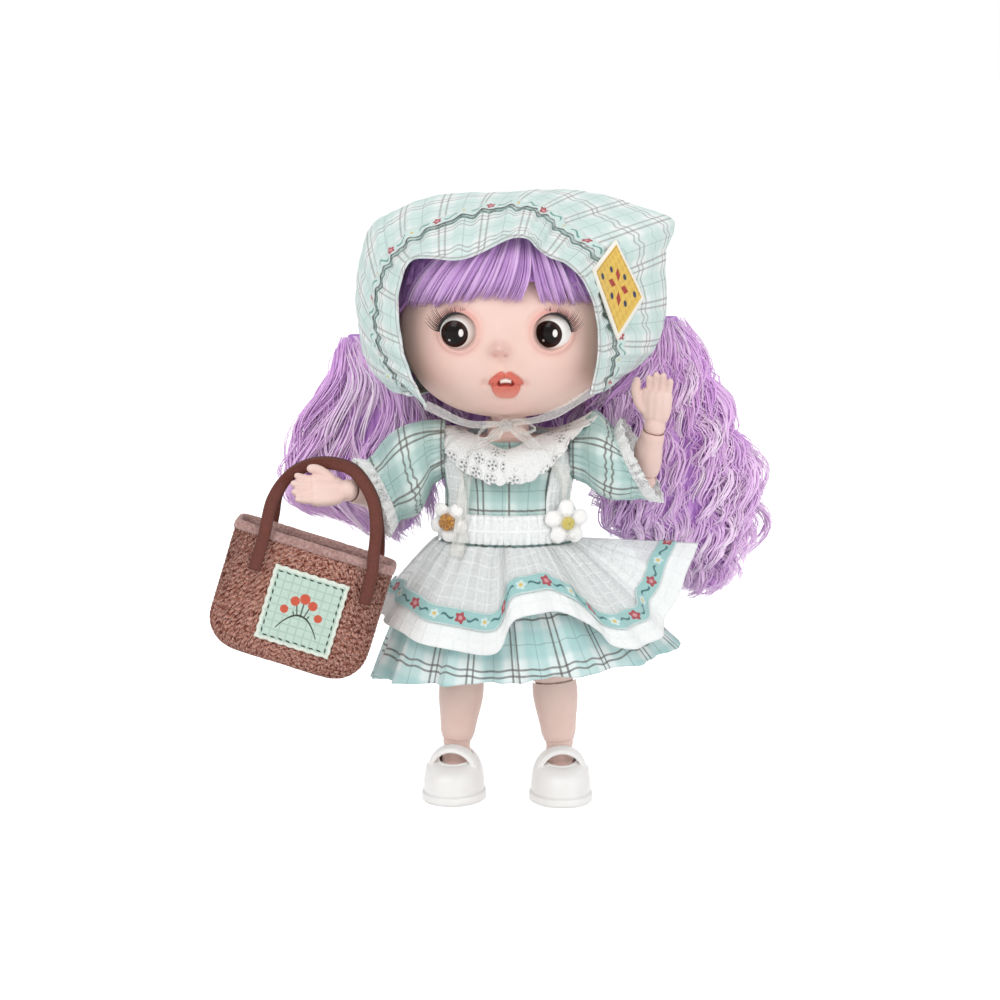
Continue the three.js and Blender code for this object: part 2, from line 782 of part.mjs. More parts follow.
// The tab of a limb that sits in a slotted ball at its origin
function tab(radius, length, drilled) {
  const disc = rod(radius * tabShare, tabThickness, 'x');
  const neck = box(tabThickness, 2 * tabNeckHalf, length, 0, 0, -length / 2);
  const body = disc.add(neck);
  return drilled ? body.subtract(rod(pinRadius + pinGap, 2 * tabThickness, 'x', 0, 0, 0, smallSides)) : body;
}

// Removes what would meet the next piece on the side that it folds to, past a middle plane.
function foldCut(slope, sign, reach) {
  const far = 2 * reach;
  const rise = Math.tan(radians(slope)) * far;
  const flat = sign * runGap / 2;
  const outline = [[-far, flat], [0, flat], [far, flat + sign * rise], [far, -sign * far], [-far, -sign * far]];
  const shape = new THREE.Shape(outline.map(([y, z]) => new THREE.Vector2(y, z)));
  const geometry = new THREE.ExtrudeGeometry(shape, { depth: 2 * far, bevelEnabled: false });
  geometry.applyMatrix4(new THREE.Matrix4().makeBasis(vec(0, 1, 0), vec(0, 0, 1), vec(1, 0, 0)));
  return toSolid(geometry.translate(-far, 0, 0));
}

const coneRun = (radius, angle) => radius / Math.tan(radians(angle));

function makeArm(side) {
  const left = side > 0;
  const name = (word) => `${word}_${left ? 'left' : 'right'}`;
  const raise = radians(left ? leftArmRaise : rightArmRaise);
  const swing = radians(left ? leftArmSwing : rightArmSwing);
  const outward = vec(side, 0, 0);
  const hanging = vec(0, -Math.sin(swing), -Math.cos(swing));
  const along = outward.clone().multiplyScalar(Math.sin(raise)).addScaledVector(hanging, Math.cos(raise));
  const shoulder = vec(side * shoulderX, 0, shoulderZ);
  const elbow = shoulder.clone().addScaledVector(along, upperArmLength);
  const raiseAxis = hanging.clone().cross(outward);
  const forearm = vec(...(left ? leftForearmShares : rightForearmShares)).normalize();
  const wrist = elbow.clone().addScaledVector(forearm, forearmLength);
  const bendAxis = along.clone().cross(forearm).normalize();
  const handLine = vec(...(left ? leftHandShares : rightHandShares)).normalize();
  const palm = vec(...(left ? leftPalmShares : rightPalmShares)).normalize();

  const ballGroup = aimed(shoulder, hanging, raiseAxis);
  const shoulderBall = slottedBall(shoulderBallRadius, raiseMin, raiseMax, false);
  piece(name('shoulder_ball'), fromSolid(shoulderBall), skinShade, ballGroup);

  const cone = armConeAngle;
  const topCup = (shoulderBallRadius + runGap) * Math.sin(radians(cone));
  const endCup = (elbowBallRadius + runGap) * Math.sin(radians(cone));
  const tube = turned([
    [0, -coneRun(topCup, cone)],
    [topCup, -coneRun(topCup, cone)],
    [upperArmRadius, -coneRun(upperArmRadius, cone)],
    [upperArmRadius, -upperArmLength + coneRun(upperArmRadius, cone)],
    [endCup, -upperArmLength + coneRun(endCup, cone)],
    [0, -upperArmLength + coneRun(endCup, cone)],
  ].reverse());
  let upper = toSolid(tube);
  upper = upper.subtract(seat(shoulderBallRadius)).subtract(seat(elbowBallRadius, 0, 0, -upperArmLength));
  upper = upper.add(tab(shoulderBallRadius, shoulderBallRadius + 2 * runGap + tabThickness, false));
  piece(name('upper_arm'), fromSolid(upper), skin, aimed(shoulder, along, raiseAxis));

  const elbowGroup = aimed(elbow, along, bendAxis);
  piece(name('elbow_ball'), fromSolid(slottedBall(elbowBallRadius, 0, elbowBendMax, true)), skinShade, elbowGroup);
  const pinLength = 2 * elbowBallRadius - 2 * runGap - pinRadius;
  piece(name('elbow_pin'), fromSolid(rod(pinRadius, pinLength, 'x', 0, 0, 0, smallSides)), steel, elbowGroup);

  const wristCup = (wristBallRadius + runGap) * Math.sin(radians(legConeAngle));
  const sleeveEnd = -forearmLength + coneRun(wristCup, legConeAngle);
  let lower = toSolid(turned([
    [0, 0],
    [forearmRadius, 0],
    [forearmRadius, -forearmLength / 2],
    [wristRadius, sleeveEnd + wristRadius],
    [wristRadius, sleeveEnd + (wristRadius - wristCup)],
    [wristCup, sleeveEnd],
    [0, sleeveEnd],
  ].reverse()));
  const elbowSlope = elbowBendMax + cone + bendMargin - 90;
  lower = lower.subtract(foldCut(elbowSlope, -1, forearmRadius + elbowBallRadius));
  lower = lower.subtract(seat(elbowBallRadius)).subtract(seat(wristBallRadius, 0, 0, -forearmLength));
  lower = lower.add(tab(elbowBallRadius, elbowBallRadius + 2 * runGap + tabThickness, true));
  piece(name('forearm'), fromSolid(lower), skin, aimed(elbow, forearm, bendAxis));

  piece(name('hand'), fromSolid(handSolid(side)), skin, aimed(wrist, handLine, palm.clone().cross(handLine)));
}

// A rounded stick from one point toward another
function stick(from, to, radius, tipShare) {
  const length = from.distanceTo(to);
  const geometry = turned([
    [0, -radius * rootRoundShare], [radius, 0], [radius * tipShare, length - radius * tipRoundShare], [0, length],
  ], stickSides);
  const turn = new THREE.Quaternion().setFromUnitVectors(vec(0, 0, 1), to.clone().sub(from).normalize());
  geometry.applyQuaternion(turn).translate(from.x, from.y, from.z);
  return toSolid(geometry);
}

// A small open hand: local -Z along the fingers, palm toward -Y, thumb beside the palm.
function handSolid(side) {
  const wristCap = ball(wristBallRadius, 0, 0, 0, smallSides);
  const palmStart = wristBallRadius * palmStartShare;
  const palmMiddle = palmStart + palmLength / 2;
  const palmBody = toSolid(
    new THREE.SphereGeometry(1 / 2, palmSides, stickSides).scale(palmWidth, palmThickness, palmLength + palmStart)
      .translate(0, 0, -palmMiddle),
  );
  let body = wristCap.add(palmBody);
  fingerShares.forEach((share, i) => {
    const root = vec(share * palmWidth * rootFanShare, 0, -palmStart - palmLength * fingerRootShare);
    const reach = fingerLength * fingerReachShares[i] + palmLength * (1 - fingerRootShare);
    const tip = vec(share * palmWidth * tipFanShare, -reach * fingerCurlShare, root.z - reach);
    body = body.add(stick(root, tip, fingerRadius, fingertipShare));
  });
  const [rootX, rootY, rootZ] = thumbRootShares;
  const [tipX, tipY] = thumbTipShares;
  const thumbRoot = vec(side * palmWidth * rootX, -palmThickness * rootY, -palmStart - palmLength * rootZ);
  const thumbTip = vec(side * palmWidth * tipX, -palmThickness * tipY, thumbRoot.z - thumbLength);
  return body.add(stick(thumbRoot, thumbTip, thumbRadius, fingertipShare));
}

function makeLeg(side) {
  const left = side > 0;
  const name = (word) => `${word}_${left ? 'left' : 'right'}`;
  const spread = radians(legSpread);
  const outward = vec(side, 0, 0);
  const straight = vec(0, 0, -1);
  const along = outward.clone().multiplyScalar(Math.sin(spread)).addScaledVector(straight, Math.cos(spread));
  const spreadAxis = straight.clone().cross(outward);
  const bendAxis = vec(1, 0, 0).applyAxisAngle(spreadAxis, spread);
  const hip = vec(side * hipX, 0, hipZ);
  const knee = hip.clone().addScaledVector(along, thighLength);
  const ankle = knee.clone().addScaledVector(along, shinLength);

  const hipBall = slottedBall(hipBallRadius, spreadMin, spreadMax, false);
  piece(name('hip_ball'), fromSolid(hipBall), skinShade, aimed(hip, straight, spreadAxis));

  const topCup = (hipBallRadius + runGap) * Math.sin(radians(legConeAngle));
  let thigh = toSolid(turned([
    [0, -coneRun(topCup, legConeAngle)],
    [topCup, -coneRun(topCup, legConeAngle)],
    [thighRadius, -coneRun(thighRadius, legConeAngle)],
    [thighRadius, -thighLength * thighFullShare],
    [kneeRadius, -thighLength],
    [0, -thighLength],
  ].reverse()));
  const kneeSlope = kneeBendMax / 2 + bendMargin;
  const bendCut = foldCut(kneeSlope, 1, kneeRadius + kneeBallRadius).translate([0, 0, -thighLength]);
  thigh = thigh.subtract(bendCut);
  thigh = thigh.subtract(seat(hipBallRadius)).subtract(seat(kneeBallRadius, 0, 0, -thighLength));
  const hipTab = tab(hipBallRadius, hipBallRadius + 2 * runGap + tabThickness, false).rotate([0, 0, 90]);
  piece(name('thigh'), fromSolid(thigh.add(hipTab)), skin, aimed(hip, along, bendAxis));

  const kneeGroup = aimed(knee, along, bendAxis);
  piece(name('knee_ball'), fromSolid(slottedBall(kneeBallRadius, 0, kneeBendMax, true)), skinShade, kneeGroup);
  const pinLength = 2 * kneeBallRadius - 2 * runGap - pinRadius;
  piece(name('knee_pin'), fromSolid(rod(pinRadius, pinLength, 'x', 0, 0, 0, smallSides)), steel, kneeGroup);

  const ankleCup = (ankleBallRadius + runGap) * Math.sin(radians(legConeAngle));
  const shinEnd = -shinLength + coneRun(ankleCup, legConeAngle);
  let shin = toSolid(turned([
    [0, 0],
    [kneeRadius, 0],
    [calfRadius, -shinLength * calfShare],
    [ankleRadius, shinEnd + (ankleRadius - ankleCup)],
    [ankleCup, shinEnd],
    [0, shinEnd],
  ].reverse()));
  shin = shin.subtract(foldCut(kneeSlope, -1, kneeRadius + kneeBallRadius));
  shin = shin.subtract(seat(kneeBallRadius)).subtract(seat(ankleBallRadius, 0, 0, -shinLength));
  shin = shin.add(tab(kneeBallRadius, kneeBallRadius + 2 * runGap + tabThickness, true));
  piece(name('shin'), fromSolid(shin), skin, kneeGroup);

  const footGroup = new THREE.Group();
  footGroup.position.copy(ankle);
  footGroup.rotation.z = radians(side * toeOutAngle);
  doll.add(footGroup);
  makeFoot(name, ankle.z, footGroup);
}

// Foot outline along its length: share of length from the heel, half width and height shares.
const footShares = [
  [0, 0.42, 0.5],
  [0.06, 0.68, 0.8],
  [0.22, 0.82, 1],
  [0.42, 0.86, 0.98],
  [0.62, 0.97, 0.78],
  [0.8, 1, 0.66],
  [0.93, 0.82, 0.56],
  [1, 0.46, 0.4],
];

// Half ovals with a flat sole, from the heel to the toe; grow widens them all round.
function footRings(grow, sole, top, columns) {
  return footShares.map(([share, wide, tall]) => {
    const end = share === 0 ? grow : -grow;
    const y = heelBack - share * footLength + (share === 0 || share === 1 ? end : 0);
    return steps(columns).slice(1).map((u) => {
      const turn = u * 2 * Math.PI;
      const lift = Math.cos(turn);
      const across = Math.sign(Math.sin(turn)) * Math.abs(Math.sin(turn)) ** footSquareShare;
      const height = lift < 0 ? sole : lerp(sole, sole + (top - sole) * tall, lift ** footSquareShare);
      return vec((footWidth / 2 * wide + grow) * across, y, height);
    });
  });
}

function makeFoot(name, ankleZ, group) {
  const ground = -ankleZ;
  const insole = ground + soleThickness;
  const footTop = insole + footHeight;
  const body = toSolid(loftBody(footRings(0, insole + runGap, footTop, footSides)));
  const neckLength = -footTop;
  const neck = rod(ankleBallRadius * ankleNeckShare, neckLength + footHeight / 2, 'z', 0, 0, (footTop - footHeight / 2) / 2);
  piece(name('foot'), fromSolid(body.add(neck).add(ball(ankleBallRadius))), skin, group);

  const outer = toSolid(loftBody(footRings(shoeWall + runGap, ground, footTop + shoeWall + runGap, footSides + 2)));
  const inner = toSolid(loftBody(footRings(runGap, insole, footTop + runGap, footSides)));
  const mouthBack = heelBack - mouthBackInset;
  const mouthFront = -footLength * mouthFrontShare;
  const mouthWidth = footWidth * mouthWidthShare;
  const mouthZ = ground + shoeTop;
  const mouth = toSolid(new THREE.CylinderGeometry(1 / 2, 1 / 2, footHeight, limbSides).rotateX(Math.PI / 2)
    .scale(mouthWidth, mouthBack - mouthFront, 1)
    .translate(0, (mouthBack + mouthFront) / 2, mouthZ - overrun + footHeight / 2));
  const level = box(3 * footWidth, 3 * footLength, footHeight, 0, 0, mouthZ + footHeight / 2);
  let shoe = outer.subtract(level).subtract(inner).subtract(mouth);
  const halfSpan = footWidth / 2;
  const grid = [-strapWidth / 2, strapWidth / 2].map((y) => steps(strapSteps).map((u) => {
    const turn = (u - 0.5) * Math.PI;
    const foot = shoeTop * strapFootShare;
    return vec(halfSpan * Math.sin(turn), y - strapForward, ground + foot + (strapHeight - foot) * Math.cos(turn));
  }));
  const strap = toSolid(thickened(grid, strapThickness, false));
  shoe = shoe.add(strap.subtract(toSolid(loftBody(footRings(runGap, insole, footTop + runGap, footSides)))));
  piece(name('shoe'), fromSolid(shoe), shoeVinyl, group);
}

// Bodice over the torso, cut away round each shoulder
function makeBodice() {
  const heights = [waistHeight, ...torsoShares.slice(5).map((row) => capHeight(row[0]))];
  const rows = (grow) => heights.map((z) => {
    const lift = grow * bodiceLiftShare * smoothstep(z, capHeight(torsoShares[7][0]), torsoTop);
    return torsoRing(z, grow, clothSides, lift);
  });
  let body = toSolid(sheetBody(rows(clothGap), rows(clothGap + bodiceThickness), true));
  const reach = torsoHalfWidth;
  for (const side of [-1, 1]) {
    body = body.subtract(rod(armholeRadius, reach, 'x', side * (reach / 2 + armholeInner), 0, shoulderZ));
  }
  piece('dress_bodice', fromSolid(body), plaid);
}

// A point of the skirt: v runs from the waist to the hem, and grow is added all round.
function skirtPoint(turn, v, grow) {
  const [wide, deep] = torsoSection((waistHeight - torsoBase) / torsoHeight);
  const flare = v ** skirtFlareShare;
  const pleat = pleatDepth * v * Math.cos(pleatCount * turn);
  const halfWidth = lerp(torsoHalfWidth * wide + clothGap, skirtHalfWidth - pleatDepth, flare);
  const halfDepth = lerp(torsoHalfDepth * deep + clothGap, skirtHalfDepth - pleatDepth, flare);
  const rise = skirtRise * v * Math.sin(turn);
  return vec(
    skirtShiftX * v + (halfWidth + pleat + grow) * Math.sin(turn),
    -torsoHalfDepth * torsoShares[4][3] * (1 - v) - (halfDepth + pleat + grow) * Math.cos(turn),
    lerp(waistHeight - runGap, skirtHem + rise, v),
  );
}

function makeSkirt() {
  const grid = (grow) => steps(skirtRows).map((v) => (
    steps(pleatCount * 3).slice(1).map((u) => skirtPoint(u * 2 * Math.PI, v, grow))
  ));
  piece('dress_skirt', sheetBody(grid(0), grid(skirtThickness), true), plaid);
}

// Apron hem from its right side to its left: turn, drop and flare as shares.
const apronShares = [
  [-1, 0.72, 0.06],
  [-0.62, 0.74, 0.03],
  [-0.34, 0.88, 0.02],
  [-0.08, 0.92, 0.03],
  [0.03, 0.6, 0.06],
  [0.2, 0.55, 0.06],
  [0.33, 0.66, 0.04],
  [0.42, 0.9, 0.06],
  [0.6, 0.85, 0.14],
  [0.8, 0.58, 0.36],
  [1, 0.08, 1],
];

function makeApron() {
  const curve = new THREE.CatmullRomCurve3(apronShares.map((row) => vec(...row)));
  const top = waistHeight - runGap;
  const grid = steps(apronRows).map((v) => steps(apronColumns).map((u) => {
    const { x, y, z } = curve.getPoint(u);
    const turn = x * radians(apronHalfAngle);
    const drop = apronDrop * y * v;
    const down = drop / (top - skirtHem);
    const fold = foldDepth * v * (1 + Math.cos(apronFolds * turn)) / 2;
    const grow = skirtThickness + 2 * clothGap + pleatDepth * 2 * down + fold + apronFlare * z * v;
    return skirtPoint(turn, down, grow - pleatDepth * down * Math.cos(pleatCount * turn)).setZ(top - drop);
  }));
  piece('apron_skirt', thickened(grid, apronThickness, false, 1), gauze);

  const bandBase = waistHeight + runGap;
  const bandIn = clothGap + bodiceThickness + runGap;
  const bandOut = bandIn + bandThickness;
  const bandHeights = [bandBase, bandBase + bandHeight];
  const rings = (grow) => bandHeights.map((z) => torsoRing(z, grow, clothSides));
  let yoke = toSolid(sheetBody(rings(bandIn), rings(bandOut), true));
  const strapTop = capHeight(torsoShares[8][0]);
  const strapHeights = [bandBase + bandHeight / 2, ...torsoShares.slice(5, 9).map((row) => capHeight(row[0]))];
  for (const side of [-1, 1]) {
    const turns = [strapTurn - strapHalfTurn, strapTurn, strapTurn + strapHalfTurn].map((a) => radians(side * a));
    const strap = (grow) => strapHeights.map((z) => (
      turns.map((turn) => torsoPoint(turn, Math.min(z, strapTop), grow))
    ));
    yoke = yoke.add(toSolid(sheetBody(strap(bandIn), strap(bandOut))));
  }
  piece('apron_yoke', fromSolid(yoke), gauze);

  for (const side of [-1, 1]) {
    const petals = (share, depth) => steps(petalCount * petalSteps).slice(1).map((u) => {
      const turn = u * 2 * Math.PI;
      const reach = share * daisyRadius * (1 - petalShare * (1 - Math.cos(petalCount * turn)) / 2);
      return vec(reach * Math.cos(turn), -depth, reach * Math.sin(turn));
    });
    const round = (radius, depth) => steps(petalCount * petalSteps).slice(1).map((u) => {
      const turn = u * 2 * Math.PI;
      return vec(radius * Math.cos(turn), -depth, radius * Math.sin(turn));
    });
    const flower = loftBody([
      petals(petalEdgeShare, 0),
      petals(1, daisyThickness / 2),
      petals(petalEdgeShare, daisyThickness),
      round(daisyHeartRadius, daisyThickness),
      round(daisyHeartRadius * heartShare, daisyThickness + daisyHeartRise),
    ]);
    const x = side * daisySpacing / 2;
    const [wide, deep, push] = torsoSection((daisyHeight - torsoBase) / torsoHeight);
    const face = torsoHalfDepth * (deep + push) + bandOut;
    const y = -face * Math.sqrt(1 - (x / (torsoHalfWidth * wide + bandOut)) ** 2) - daisyStandOff;
    const group = new THREE.Group();
    group.position.set(x, y, daisyHeight);
    group.rotation.z = radians(side * daisyTurn);
    doll.add(group);
    piece(side < 0 ? 'daisy_right' : 'daisy_left', flower, daisyFelt, group);
  }
}

// A tube of cloth between two rings given by centre, axis and radius, puffed between them
function makeSleeve(side) {
  const left = side > 0;
  const shares = left ? leftCuffShares : rightCuffShares;
  const start = vec(side * sleeveStart, 0, shoulderZ);
  const end = vec(side * shoulderX, 0, shoulderZ).add(vec(...shares[0]).multiplyScalar(upperArmLength));
  const startAxis = vec(side, 0, 0);
  const endAxis = vec(...shares[1]).normalize();
  const endRadius = left ? leftCuffRadius : rightCuffRadius;
  const ring = (v, grow) => {
    const centre = start.clone().lerp(end, v);
    const axis = startAxis.clone().lerp(endAxis, v).normalize();
    const across = axis.clone().cross(vec(0, 1, 0)).normalize();
    const over = axis.clone().cross(across);
    const puff = sleevePuff * Math.sin(Math.PI * Math.min(1, v * sleeveGatherShare));
    const radius = lerp(sleeveHeadRadius, endRadius, v) + Math.max(0, puff) + grow;
    return steps(sleeveSides).slice(1).map((u) => {
      const turn = u * 2 * Math.PI;
      const side = across.clone().multiplyScalar(radius * Math.cos(turn));
      return centre.clone().add(side).addScaledVector(over, radius * Math.sin(turn));
    });
  };
  const grid = (grow) => sleeveRowShares.map((v) => ring(v, grow));
  piece(left ? 'sleeve_left' : 'sleeve_right', sheetBody(grid(-sleeveThickness), grid(0), true), plaid);
}

// Lace collar over the chest, shoulders and back, with a corner that stands up at the left shoulder
function makeCollar() {
  const under = clothGap + bodiceThickness + clothGap;
  const grid = collarRowShares.map((v) => steps(clothSides).slice(1).map((u) => {
    const turn = u * 2 * Math.PI;
    const inner = torsoPoint(turn, torsoTop, under).setZ(collarTop);
    const sag = Math.abs(Math.cos(turn)) ** collarSagShare;
    const drop = Math.cos(turn) > 0 ? collarFrontDrop : collarBackDrop;
    const outer = vec(collarHalfWidth * Math.sin(turn), -collarHalfDepth * Math.cos(turn), collarTop - drop * sag);
    const away = Math.atan2(Math.sin(turn - radians(flapTurn)), Math.cos(turn - radians(flapTurn)));
    const flap = collarFlap * Math.exp(-((away / radians(flapSpread)) ** 2));
    const bulge = collarBulge * Math.sin(Math.PI * v);
    const p = inner.lerp(outer, v).add(vec(bulge * Math.sin(turn), -bulge * Math.cos(turn), bulge));
    return p.add(vec(flap * flapOutShare, 0, flap).multiplyScalar(v * v));
  }));
  piece('collar', thickened(grid, collarThickness, true, -1), lace);
}

// Wig: a cap on the skull, a fringe and three lengths of hair behind the arms
function makeWig() {
  const cap = (grow) => steps(capRows).map((v) => steps(capSides).slice(1).map((u) => {
    const turn = u * 2 * Math.PI;
    const low = lerp(radians(capBackRise), radians(capFrontRise), (1 + Math.cos(turn)) / 2);
    return headPoint(turn, lerp(low, radians(capTopRise), v), grow, false);
  }));
  piece('wig_cap', sheetBody(cap(capGap), cap(capGap + capThickness), true), hair);

  const riseOf = (z) => Math.asin((z - headMiddle) / (headHeight / 2));
  const inner = capGap + capThickness + clothGap;
  const fringe = (grow) => [bangFoot, (bangFoot + bangTop) / 2, bangTop].map((z) => (
    steps(bangColumns).map((u) => headPoint(radians(bangHalfAngle) * (2 * u - 1), riseOf(z), grow, false))
  ));
  piece('hair_fringe', sheetBody(fringe(inner), fringe(inner + bangThickness)), hair);

  const lengths = { hair_left: hairLeftShares, hair_back: hairBackShares, hair_right: hairRightShares };
  for (const [name, shares] of Object.entries(lengths)) {
    const rings = shares.map(([height, near, far, start, depth]) => {
      const z = hairTop * height;
      const middle = vec(hairReach * (near + far) / 2, hairFrontY + hairThickness * (start + depth / 2), z);
      const half = [Math.abs(hairReach * (far - near) / 2), hairThickness * depth / 2];
      return steps(smallSides).slice(1).map((u) => {
        const turn = u * 2 * Math.PI;
        const x = half[0] * Math.sign(Math.sin(turn)) * Math.abs(Math.sin(turn)) ** hairSquareShare;
        const y = half[1] * Math.sign(Math.cos(turn)) * Math.abs(Math.cos(turn)) ** hairSquareShare;
        return vec(middle.x + x, middle.y + y, z);
      });
    });
    piece(name, loftBody(rings), hair);
  }
}

// Headscarf crown: an eared outline, seen from the front, that rounds over to the back
const scarfCurve = new THREE.CatmullRomCurve3(
  scarfShares.map(([x, z]) => vec(x * scarfHalfWidth, 0, scarfFoot + z * scarfHeight)),
  true,
);
const scarfMiddle = vec(0, 0, scarfFoot + scarfHeight * 0.45);

function scarfPoint(u, tilt, grow) {
  const out = scarfCurve.getPoint(u).sub(scarfMiddle);
  out.setLength(out.length() - grow);
  const reach = tilt < 0 ? scarfFront / Math.sin(radians(seamAngle)) : scarfBack - grow;
  const p = scarfMiddle.clone().addScaledVector(out, Math.cos(tilt));
  return p.setY(scarfMidY + reach * Math.sin(tilt));
}

// How far the front edge has passed behind the neck at a place of the outline: 0 above, 1 at the nape
function napeShare(u) {
  const p = scarfCurve.getPoint(u).sub(scarfMiddle);
  const down = Math.atan2(Math.abs(p.x), -p.z);
  return 1 - smoothstep(down, radians(napeInner), radians(napeOuter));
}

function makeScarf() {
  const crown = (grow) => steps(scarfRows).map((v) => steps(scarfColumns).slice(1).map((u) => {
    const start = lerp(-radians(seamAngle), radians(napeAngle), napeShare(u));
    return scarfPoint(u, lerp(start, radians(scarfPoleAngle), v), grow);
  }));
  piece('headscarf_crown', sheetBody(crown(scarfThickness), crown(0), true, true), plaid);

  const curve = new THREE.CatmullRomCurve3(brimShares.map(([x, z]) => (
    vec(x * brimReach, headY - headDepth / 2 * brimForwardShare, scarfFoot + z * scarfHeight)
  )));
  const grid = steps(brimRows).map((v) => steps(brimColumns).map((u) => {
    const edge = curve.getPoint(u);
    edge.y -= brimLean * smoothstep(edge.z, scarfMiddle.z, scarfFoot + scarfHeight);
    const seam = scarfPoint(lerp(brimStart, brimEnd, u), -radians(seamAngle), scarfThickness / 2);
    seam.y -= scarfThickness / 2 + runGap;
    const p = seam.lerp(edge, v);
    p.y -= brimWave * Math.sin(brimWaves * 2 * Math.PI * u) * v + brimBulge * Math.sin(Math.PI * v);
    return p;
  }));
  piece('headscarf_brim', thickened(grid, scarfThickness, false, 1), plaid);

  const normals = gridNormals(grid, false, 1);
  const place = (source, i, j) => {
    const [a, b] = [Math.min(brimRows - 1, Math.floor(i)), Math.min(brimColumns - 1, Math.floor(j))];
    const upper = source[a][b].clone().lerp(source[a][b + 1], j - b);
    return upper.lerp(source[a + 1][b].clone().lerp(source[a + 1][b + 1], j - b), i - a);
  };
  const patch = (grow) => patchRows.map((i) => patchColumns.map((j) => (
    place(grid, i, j).addScaledVector(place(normals, i, j).normalize(), grow)
  )));
  const patchBase = scarfThickness + 2 * runGap;
  piece('headscarf_patch', sheetBody(patch(patchBase), patch(patchBase + patchThickness)), patchCloth);

  const knot = vec(0, headY - headDepth * knotForwardShare, headBase - knotDrop);
  const jaws = [grid[brimRows][0], grid[brimRows][brimColumns]].map((p) => (
    p.clone().add(vec(0, -2 * runGap, -tieWidth / 2))
  ));
  const bow = jaws.map((jaw) => strip(jaw.clone().lerp(knot, tieStartShare), knot));
  for (const [x, z] of bowEndShares) bow.push(strip(knot, knot.clone().add(vec(x, 0, z).multiplyScalar(bowWidth))));
  const knotBall = new THREE.SphereGeometry(tieWidth * knotShare, smallSides, palmSides / 2);
  bow.push(toSolid(knotBall.translate(knot.x, knot.y, knot.z)));
  piece('headscarf_tie', fromSolid(bow.reduce((a, b) => a.add(b))), gauze);
}

// A flat band from one point to another, its width upright
function strip(from, to) {
  const length = from.distanceTo(to);
  const line = to.clone().sub(from).normalize();
  const side = line.clone().cross(vec(0, 1, 0)).normalize();
  const geometry = new THREE.BoxGeometry(tieWidth, tieThickness, length).translate(0, 0, length / 2);
  geometry.applyMatrix4(new THREE.Matrix4().makeBasis(side, line.clone().cross(side), line));
  return toSolid(geometry.translate(from.x, from.y, from.z));
}

// Tote bag: local origin at the middle of the rim, tilted about Y
function makeBag() {
  const bag = new THREE.Group();
  bag.position.set(bagX, bagY, bagRimZ);
  bag.rotation.y = radians(bagTilt);
  doll.add(bag);
  const ring = (height, grow) => {
    const above = Math.min(bagCorner, bagHeight + height);
    const drawn = bagCorner - Math.sqrt(bagCorner ** 2 - (bagCorner - above) ** 2);
    const half = [bagWidth / 2 - drawn + grow, bagDepth / 2 - drawn * bagFootShare + grow];
    return steps(bagColumns).slice(1).map((u) => {
      const turn = (u - 0.5 / bagColumns) * 2 * Math.PI;
      const square = (value) => Math.sign(value) * Math.abs(value) ** bagSquareShare;
      return vec(half[0] * square(Math.sin(turn)), half[1] * square(Math.cos(turn)), height);
    });
  };
  const heights = bagRowShares.map((share) => -share * bagHeight);
  const outer = heights.map((z) => ring(z, 0));
  const inner = heights.map((z) => ring(Math.max(z, bagWall - bagHeight), -bagWall));
  inner.forEach((row, i) => row.forEach((p) => { p.z = heights[i] * (bagHeight - bagWall) / bagHeight; }));
  piece('bag_body', sheetBody(inner, outer, true, true), tweed, bag);
  const lift = [runGap, runGap + rimHeight];
  const rim = (grow) => lift.map((z) => ring(0, grow).map((p) => p.setZ(z)));
  piece('bag_rim', sheetBody(rim(-bagWall - rimThickness / 2), rim(rimThickness / 2), true), bindingCloth, bag);

  const wall = bagDepth / 2 + 2 * runGap + handleThickness / 2 + rimThickness / 2;
  for (const [name, depths] of [['bag_handle_front', frontHandleShares], ['bag_handle_back', backHandleShares]]) {
    const middle = handleShares.map(([x, z], i) => (
      vec(fittingShift + x * handleSpan / 2, depths[i] * wall, z * handleRise)
    ));
    const curve = new THREE.CatmullRomCurve3(middle);
    const rows = steps(handleSteps).map((u) => {
      const p = curve.getPoint(u);
      const tangent = curve.getTangent(u);
      const side = tangent.clone().cross(vec(0, 1, 0)).normalize().multiplyScalar(handleWidth / 2);
      return [p.clone().add(side), p.clone().sub(side)];
    });
    const grid = (shift) => rows.map((row) => row.map((p) => p.clone().add(vec(0, shift, 0))));
    piece(name, sheetBody(grid(-handleThickness / 2), grid(handleThickness / 2)), strapLeather, bag);
  }
  const label = new THREE.BoxGeometry(labelSize, labelThickness, labelSize);
  label.translate(fittingShift, -bagDepth / 2 - runGap - labelThickness / 2, -bagHeight / 2);
  piece('bag_label', label, labelCloth, bag);
}

makeHead();
makeTorso();
makeArm(-1);
makeArm(1);
makeLeg(-1);
makeLeg(1);
makeBodice();
makeSkirt();
makeApron();
makeSleeve(-1);
makeSleeve(1);
makeCollar();
makeWig();
makeScarf();
makeBag();

export default doll;
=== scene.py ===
"""Looks of a ball-jointed doll in a checked headscarf, dress and apron, with a tote bag."""

import json
import logging
import math
from dataclasses import dataclass, field
from enum import Enum
from typing import Sequence

